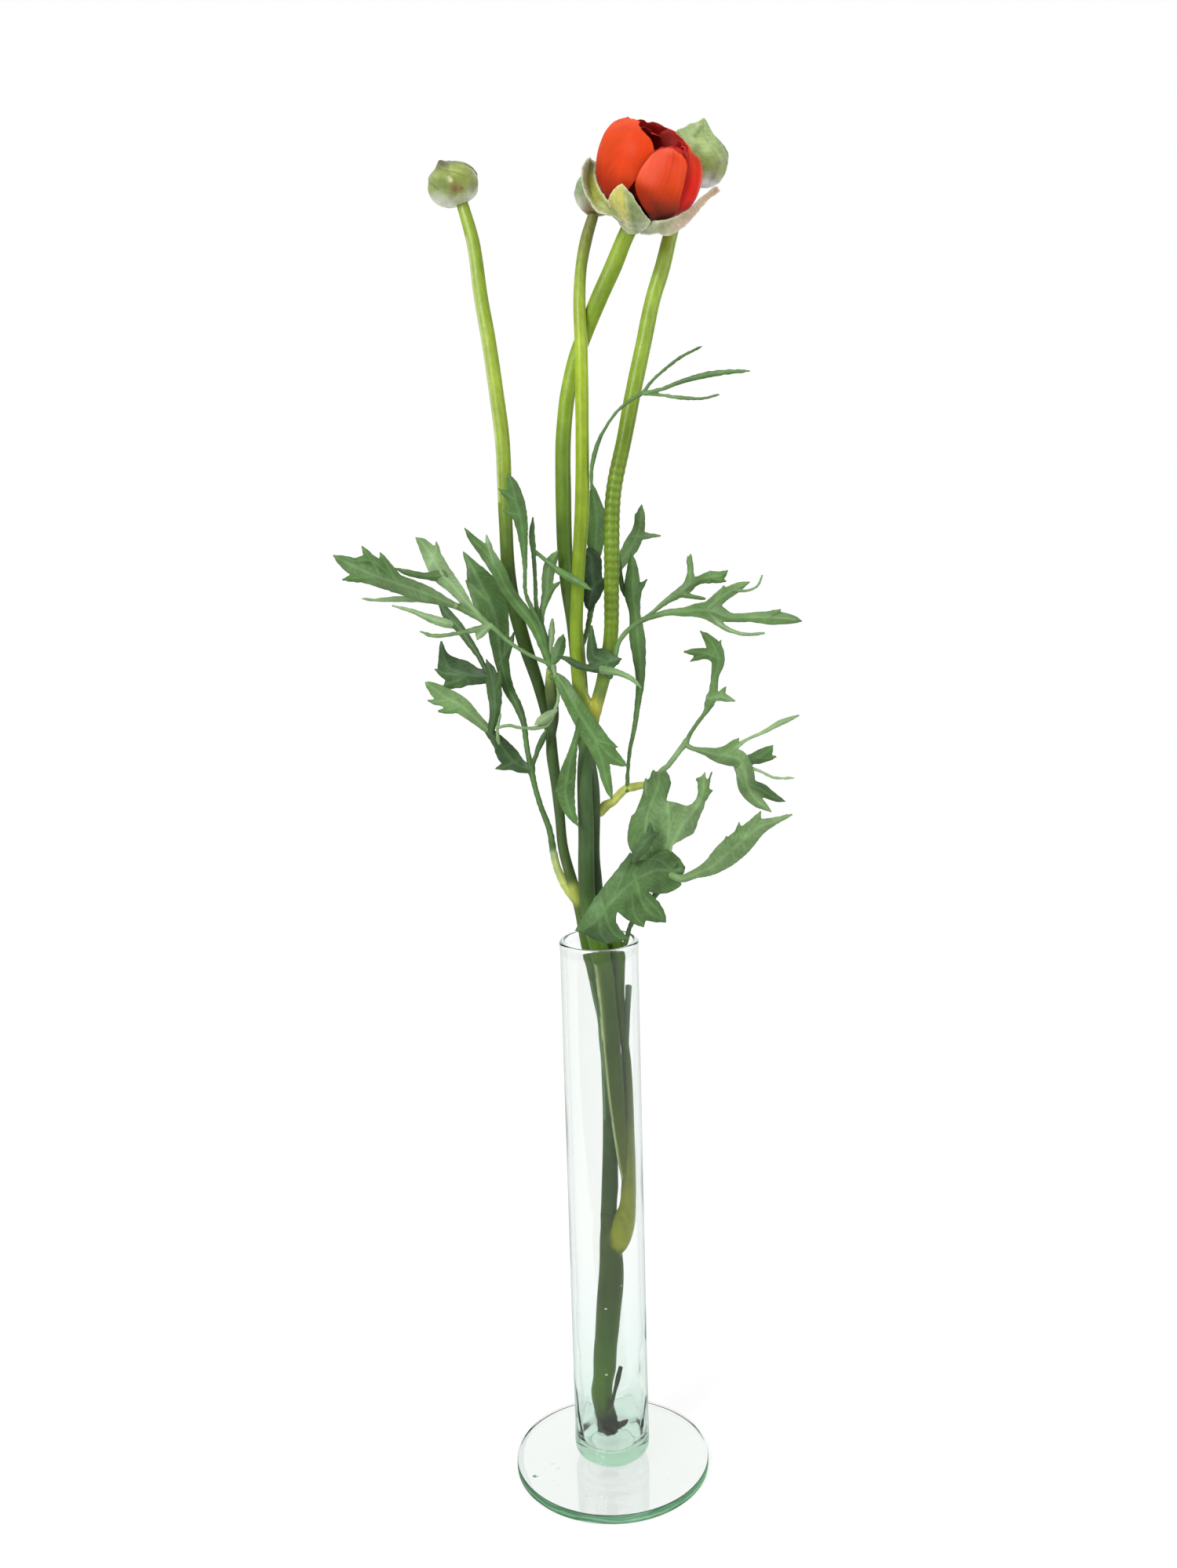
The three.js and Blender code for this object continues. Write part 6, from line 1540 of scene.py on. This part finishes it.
def petals_body():
    parts = []
    for i, (name, rows) in enumerate(PETALS.items()):
        points, shape, tint, share, up, half = petal_body(rows, PETAL_COLOURS[name], i + 1)
        for colour, amount, rise, fall, up_rise, up_fall in PETAL_WASHES[name]:
            tint = mix(tint, linear(colour), amount * (band(share, rise, fall) * band(up, up_rise, up_fall)))
        if name == "left_front":
            tint = tint * LEFT_FRONT_SHADE
        inner = tint * INNER_FACE
        if name.startswith("back"):
            # Painted light: the back petals' inner faces are lightened towards their tops, where the inside
            # of the cup lies in shade.
            inner = mix(inner, linear((224, 78, 72)), 0.9 * step_up(0.5, 0.78, up))
        parts.append(closed_patch(points, shape, tint, half, inner))
    for i, (azimuth, spread, reach, radius) in enumerate(INNER_PETALS):
        rows = [[INNER_START + (reach - INNER_START) * j / 4, azimuth - s * spread, azimuth + s * spread,
                 radius - 0.05, radius, radius + 0.03] for j, s in enumerate(INNER_SHARES)]
        points, shape, tint, _, _, half = petal_body(rows, INNER_COLOURS, i + 20, 26, 26, 0.015)
        # Painted light: the inner petals' outer faces are lightened by INNER_LIGHT, their inner faces are
        # not.
        parts.append(closed_patch(points, shape, tint * INNER_LIGHT, half, tint))
    parts.append(dome(BLOOM_RADIUS * 0.66, BLOOM_RADIUS + 0.5, 26, (150, 60, 44)))
    core, faces, _ = ball(BLOOM_CENTRE - BLOOM_AXIS * BLOOM_RADIUS * 0.36, [BLOOM_RADIUS * 0.5] * 3, 24, 14)
    parts.append((core, faces, {"tint": np.tile(linear((40, 8, 14)), (len(core), 1))}))
    return merged(parts)


DOME_LINES, DOME_SIDES = 10, 36


def dome(inner, outer, reach, colour):
    """A cap of a round shell about the bloom's centre, at the receptacle's end of its axis."""
    polar = np.linspace(0.6, reach, DOME_LINES)
    turn = np.arange(DOME_SIDES) * 360 / DOME_SIDES
    shape = (2 * DOME_LINES, DOME_SIDES)
    radius = np.r_[np.full(DOME_LINES, outer), np.full(DOME_LINES, inner)] / BLOOM_RADIUS
    points = on_bloom(np.broadcast_to(np.r_[polar, polar[::-1]][:, None], shape),
                      np.broadcast_to(turn, shape), np.broadcast_to(radius[:, None], shape)).reshape(-1, 3)
    tint = np.tile(linear(colour), (len(points), 1)) * (1 + 0.1 * ripple(points, 5, 2))[:, None]
    return points, capped_faces(*shape), {"tint": tint}


def front_sepal_tint(x, y):
    """The front sepal's colours outside and inside, with a pale keel."""
    keel = 795 + (y - 240) * 0.16
    tint = mix(linear((196, 190, 96)), linear((146, 160, 104)), step_up(-3, 5, x - keel))
    tint = mix(tint, linear((206, 212, 186)), 0.6 * step_up(272, 292, y))
    # Painted shade: a darker groove beside the keel.
    groove = np.exp(-((x - keel - 7) / 4) ** 2)
    tint = mix(tint, linear((110, 130, 74)), 0.5 * groove * step_up(245, 262, y))
    tint = mix(tint, linear((176, 190, 140)), 0.8 * np.exp(-((x - keel) / 1.3) ** 2))
    return tint, np.tile(linear((110, 104, 40)), (len(x), 1))


def left_sepal_tint(x, y):
    """The left sepal's colours outside and inside, with a pale outer rim."""
    tint = ramp(y, [(203, (96, 92, 62)), (214, (112, 116, 56)), (232, (142, 146, 58)),
                    (250, (150, 156, 66)), (268, (160, 170, 110))])
    rim = 752 + np.abs(y - 228) ** 1.5 * 0.03
    tint = mix(tint, linear((178, 190, 150)), 0.85 * (1 - step_up(-6, -3, x - rim)))
    return tint, mix(tint, linear((140, 158, 108)), 0.6)


def right_sepal_tint(x, y):
    """The right sepal's colours outside and inside, tan along its lower edge."""
    tint = ramp(x, [(824, (196, 204, 178)), (845, (188, 186, 150)), (866, (196, 180, 146)),
                    (885, (204, 180, 146)), (905, (196, 168, 136)), (917, (170, 140, 112))])
    low = step_up(0, 10, y - (300 - (x - 845) * 0.72) + 9)
    tint = mix(tint, linear((158, 166, 120)), 0.5 * (1 - low) * (1 - step_up(868, 892, x)))
    tint = mix(tint, linear((214, 178, 166)), 0.5 * low * step_up(850, 870, x))
    return tint, mix(tint, linear((190, 150, 112)), 0.7)


SEPAL_TINTS = {"front": front_sepal_tint, "left": left_sepal_tint, "right": right_sepal_tint}
SEPAL_HALF = 0.3


def sepals_body():
    parts = []
    for i, (name, sepal) in enumerate(SEPALS.items()):
        samples = [(smooth(line, LOBE_STEP), 0) for line in sepal["lobes"]]
        verts, faces, level, features = drawn_sheet(samples, 40 + i, sepal["outline"], 0.5)
        x, y = verts.T
        points = spot(x, y, level)
        hair = ripple(points * np.array([1, 1, 0.5]), 0.9, 60 + i)
        edge = 1 - step_up(0.3, 3.2, -features[-1])
        tint, inner = SEPAL_TINTS[name](x, y)
        tint = mix(tint, linear((222, 226, 208)), 0.5 * edge)
        tint = tint * (1 + 0.12 * hair + 0.1 * ripple(points, 4, 70 + i))[:, None]
        parts.append(shell(points, faces, SEPAL_HALF * (1 - 0.6 * edge), {"tint": np.clip(tint, 0.003, 1)},
                           {"tint": np.clip(inner, 0.003, 1)}))
    parts.append(dome(BLOOM_RADIUS + 0.75, BLOOM_RADIUS + 2.3, 24, (176, 188, 150)))
    return merged(parts)


# Buds: a squashed ball of five sepals that overlap round the axis, with parts of it drawn out to the tips.
# Pulls are [start, end, reach], stops are colours from the base up, and marks are [x, y, colour, size,
# share].

# Among the marks, the near-white ones low on the buds are painted reflections, and the pale and dark ones
# either side of the back right bud's ridge are painted light and shade.
BUDS = {
    "left_bud": dict(base=[586, 262, 18], top=[569, 209, 18], width=18.4, twist=0.5, seed=3, pulls=[
        [[565, 214, 15], [560, 204, 14], 2.0], [[573, 212, 18], [571, 204.5, 19], 1.6]],
        stops=[(0, (200, 206, 178)), (0.2, (158, 168, 104)), (0.45, (136, 150, 68)), (0.8, (134, 150, 76)),
               (1, (96, 96, 56))],
        marks=[[562, 240, (104, 126, 52), 4.6, 0.6], [594, 226, (158, 172, 86), 4.5, 0.6],
               [579, 241, (128, 84, 58), 1.6, 0.85], [588, 241, (150, 120, 60), 1.2, 0.7],
               [572, 226, (206, 196, 160), 0.6, 0.7], [574.5, 230, (214, 206, 176), 0.7, 0.9],
               [563, 207.5, (92, 80, 56), 1.7, 0.85], [570, 211, (96, 92, 60), 0.9, 0.6],
               [589, 240, (80, 66, 40), 0.4, 0.8], [569, 215, (110, 116, 62), 0.8, 0.5],
               [571, 221, (112, 118, 62), 0.8, 0.5], [556, 258, (222, 226, 212), 3.2, 0.8],
               [570, 264, (222, 226, 214), 2.6, 0.8], [605, 252, (222, 226, 212), 3.0, 0.8],
               [607, 222, (190, 196, 170), 1.8, 0.6], [549, 222, (176, 186, 146), 1.8, 0.5]]),
    "back_left_bud": dict(base=[757, 274, 12], top=[764, 216, 15], width=15.4, twist=0.4, seed=5, pulls=[
        [[763, 224, 12], [762, 210, 13], 2.6]],
        stops=[(0, (150, 120, 84)), (0.15, (150, 150, 110)), (0.4, (140, 158, 116)), (1, (120, 144, 92))],
        marks=[[736, 262, (214, 220, 204), 2.4, 0.7], [752, 270, (116, 92, 60), 2.4, 0.7]]),
    "back_right_bud": dict(base=[892, 239, 13], top=[902, 173, 13], width=17.2, twist=0.45, seed=9, pulls=[
        [[916, 174, 13], [906.5, 181, 13], 2.6], [[893, 175, 9], [897, 151.5, 8], 3.2],
        [[872, 187, 9], [862, 168.5, 10.5], 4.6], [[884, 177, 9], [880, 158.5, 9.5], 3.6]],
        stops=[(0, (170, 176, 140)), (0.15, (140, 152, 84)), (0.45, (142, 160, 84)), (0.7, (150, 172, 104)),
               (1, (142, 166, 106))],
        marks=[[902, 190, (170, 194, 136), 2.8, 0.7], [904, 208, (132, 146, 66), 3.6, 0.6],
               [920, 205, (168, 178, 138), 2.4, 0.6], [912, 217, (140, 142, 104), 2.6, 0.6],
               [875, 168, (146, 172, 128), 3.0, 0.6], [889, 160, (190, 204, 160), 0.7, 0.7],
               [893, 163, (92, 112, 52), 0.8, 0.7], [890, 168, (84, 106, 48), 0.8, 0.8],
               [886, 173, (88, 110, 52), 0.8, 0.8], [883, 178, (190, 206, 158), 0.7, 0.7],
               [881, 186, (186, 198, 150), 0.7, 0.6], [887, 190, (110, 130, 56), 1.4, 0.5],
               [908, 227, (92, 88, 52), 1.2, 0.85], [902, 225, (196, 194, 186), 1.6, 0.6],
               [899, 234, (206, 204, 212), 2.0, 0.8], [909, 236, (206, 206, 206), 1.8, 0.8],
               [918, 228, (178, 184, 160), 1.8, 0.7]]),
}


BUD_LINES, BUD_COLUMNS = 72, 132
BUD_POLE = 0.03
BUD_SEPALS = 5
OVERLAP_STEP, OVERLAP_RIM = 0.055, 0.02
BUD_ROUNDNESS = 0.86
BUD_DENTS = 0.16
SEAM_WIDTH = 0.05


def bud_body(base, top, width, twist, seed, pulls, stops, marks):
    foot, tip = spot(*base), spot(*top)
    axis = unit(tip - foot)
    height = np.linalg.norm(tip - foot)
    front = unit(EYE - foot)
    front = unit(front - axis * front.dot(axis))
    side = np.cross(axis, front)
    polar = np.linspace(BUD_POLE, math.pi - BUD_POLE, BUD_LINES)[:, None]
    turn = np.linspace(0, 2 * math.pi, BUD_COLUMNS, endpoint=False)[None]
    cycle = (turn / (2 * math.pi) * BUD_SEPALS + polar * twist + 0.2 * np.sin(polar * 3)) % 1
    overlap = OVERLAP_STEP * (0.5 - cycle) + OVERLAP_RIM * np.exp(-((cycle - 0.5) / 0.12) ** 2)
    open_top = step_up(0.25, 0.6, polar)
    radius = width / 2 * np.sin(polar) ** BUD_ROUNDNESS * (1 + overlap * open_top)
    centre = foot + axis * height / 2
    points = (centre - np.cos(polar)[..., None] * axis * height / 2
              + radius[..., None] * (np.cos(turn)[..., None] * front + np.sin(turn)[..., None] * side))
    flat = points.reshape(-1, 3)
    flat = flat + unit(flat - centre) * (BUD_DENTS * ripple(flat, 5, seed))[:, None]
    for start, end, size in pulls:
        start, end = flat[np.linalg.norm(flat - spot(*start), axis=1).argmin()], spot(*end)
        gap = np.linalg.norm(flat - start, axis=1)
        flat = flat + (end - start) * np.exp(-(gap / size) ** 1.6)[:, None]
    level = np.broadcast_to((1 - np.cos(polar)) / 2, cycle.shape).ravel()
    open_top = np.broadcast_to(open_top, cycle.shape).ravel()
    cycle = cycle.ravel()
    tint = ramp(level, stops)
    # Painted shade: darker along the seams where the sepals overlap.
    seam = np.exp(-(np.minimum(cycle, 1 - cycle) / SEAM_WIDTH) ** 2) * open_top
    tint = mix(tint, tint * 0.62, 0.45 * seam)
    rim = np.exp(-((cycle - 0.09) / SEAM_WIDTH) ** 2) * open_top
    tint = mix(tint, linear((190, 200, 150)), 0.25 * rim)
    fine = ripple(np.stack([cycle * 60, level * 5, np.zeros(len(level))], 1), 2.2, seed + 1)
    grain = 1 + 0.12 * fine + 0.14 * ripple(flat, 4.5, seed + 2) + 0.1 * ripple(flat, 1.4, seed + 3)
    tint = tint * grain[:, None]
    # Marks are colour spots along the eye's line, some of them painted light and shade.
    for x, y, colour, size, share in marks:
        line = unit(spot(x, y, 0) - EYE)
        offset = flat - EYE
        gap = np.linalg.norm(offset - (offset @ line)[:, None] * line, axis=1)
        facing = ((flat - centre) @ (EYE - centre)) > 0
        tint = mix(tint, linear(colour), share * np.exp(-(gap / size) ** 2) * facing)
    return flat, capped_faces(BUD_LINES, BUD_COLUMNS), {"tint": np.clip(tint, 0.004, 1)}


# The studio: a pale floor, a white room and soft light from panels, in metres

FLOOR_CORNERS = [(-0.8, -0.8, 0), (0.8, -0.8, 0), (0.8, 0.8, 0), (-0.8, 0.8, 0)]
FLOOR_HEIGHT = -0.0002
FLOOR_COLOUR = (0.25, 0.25, 0.25, 1)
FLOOR_GLOW, FLOOR_MIRRORED_GLOW = 0.76, 0.1
WHITE = (1, 1, 1, 1)
ROOM_DARK = 0.6
ROOM_TURN = (0.1, 0.93)
DIFFUSE_SHARE = 0.62
GLOSSY_SHARE = 0.3
LAMP_TARGET = np.array([0, 0, 0.35])
LAMPS = [  # name, place, size, watts
    ("key", (-0.8, -1.0, 1.1), 0.7, 17.0), ("fill", (1.1, -0.5, 0.6), 0.7, 4.5),
    ("top", (0.0, 0.1, 1.6), 1.6, 8.5), ("back", (0.3, 1.2, 0.7), 0.9, 4.0),
]


def mirrored(tree):
    """1 for light that is reflected rather than let through."""
    path = node(tree, "ShaderNodeLightPath")
    rays = {0: path.outputs["Is Glossy Ray"], 1: path.outputs["Is Transmission Ray"]}
    return node(tree, "ShaderNodeMath", rays, operation="SUBTRACT", use_clamp=True).outputs[0]


def add_floor():
    mesh = bpy.data.meshes.new("floor")
    mesh.from_pydata(FLOOR_CORNERS, [], [(0, 1, 2, 3)])
    floor = bpy.data.objects.new("floor", mesh)
    floor.location.z = FLOOR_HEIGHT
    bpy.context.scene.collection.objects.link(floor)
    material, tree, shader = new_material("floor")
    shader.inputs["Base Color"].default_value = FLOOR_COLOUR
    shader.inputs["Roughness"].default_value = 0.9
    shader.inputs["Specular IOR Level"].default_value = 0.1
    shader.inputs["Emission Color"].default_value = WHITE
    tree.links.new(faded(tree, mirrored(tree), FLOOR_GLOW, FLOOR_MIRRORED_GLOW),
                   shader.inputs["Emission Strength"])
    mesh.materials.append(material)


def faded(tree, kind, start, end):
    """A number that goes from start to end where the kind of light is 1."""
    return node(tree, "ShaderNodeMapRange", {"Value": kind, "To Min": start, "To Max": end}).outputs["Result"]


def add_room():
    world = bpy.data.worlds.new("room")
    bpy.context.scene.world = world
    world.use_nodes = True
    tree = world.node_tree
    tree.nodes.clear()
    path = node(tree, "ShaderNodeLightPath")
    direction = node(tree, "ShaderNodeTexCoord").outputs["Generated"]
    behind = node(tree, "ShaderNodeSeparateXYZ", {0: direction}).outputs["Y"]
    room = node(tree, "ShaderNodeMapRange", {
        "Value": behind, "From Min": ROOM_TURN[0], "From Max": ROOM_TURN[1], "To Min": ROOM_DARK,
        "To Max": 1.0}, interpolation_type="SMOOTHSTEP").outputs["Result"]
    diffuse = faded(tree, path.outputs["Is Diffuse Ray"], 1.0, DIFFUSE_SHARE)
    dimmed = times(tree, times(tree, room, diffuse), faded(tree, mirrored(tree), 1.0, GLOSSY_SHARE))
    strength = node(tree, "ShaderNodeMath", {0: dimmed, 1: path.outputs["Is Camera Ray"]},
                    operation="MAXIMUM").outputs[0]
    back = node(tree, "ShaderNodeBackground", {"Color": WHITE, "Strength": strength})
    out = node(tree, "ShaderNodeOutputWorld")
    tree.links.new(back.outputs[0], out.inputs["Surface"])


def add_lamps():
    for name, place, size, power in LAMPS:
        data = bpy.data.lights.new(name, "AREA")
        data.shape = "SQUARE"
        data.size = size
        data.energy = power
        light = bpy.data.objects.new(name, data)
        light.location = place
        light.rotation_mode = "QUATERNION"
        light.rotation_quaternion = Matrix(look_along(LAMP_TARGET - np.array(place))).to_quaternion()
        light.visible_camera = False
        light.visible_transmission = False
        bpy.context.scene.collection.objects.link(light)


def add_studio():
    bpy.context.scene.view_settings.view_transform = "Standard"
    add_floor()
    add_room()
    add_lamps()


def look_along(direction):
    """Rotation rows that turn a light's -Z axis along a direction."""
    forward = unit(np.asarray(direction, float))
    right = unit(np.cross(forward, [0, 0.02, 1]))
    up = np.cross(right, forward)
    return np.stack([right, up, -forward], axis=1).tolist()


# The object

add_camera()
add_studio()
piece("vase_glass_body", vase_body(), ["vase"], GLASS)
piece("water_pool", water_body(), ["water"], WATER)
piece("stem_and_stalks", stem_body(), ["main_stem"], STEM)
for leaf_name, leaf in LEAVES.items():
    piece(f"{leaf_name}_blades", leaf_body(**leaf), [leaf_name], LEAF)
piece("petals", petals_body(), ["bloom_petals"], PETAL)
piece("sepals", sepals_body(), ["bloom_sepals"], SEPAL)
for bud_name, bud in BUDS.items():
    piece(f"{bud_name}_sepals", bud_body(**bud), [bud_name], BUD)
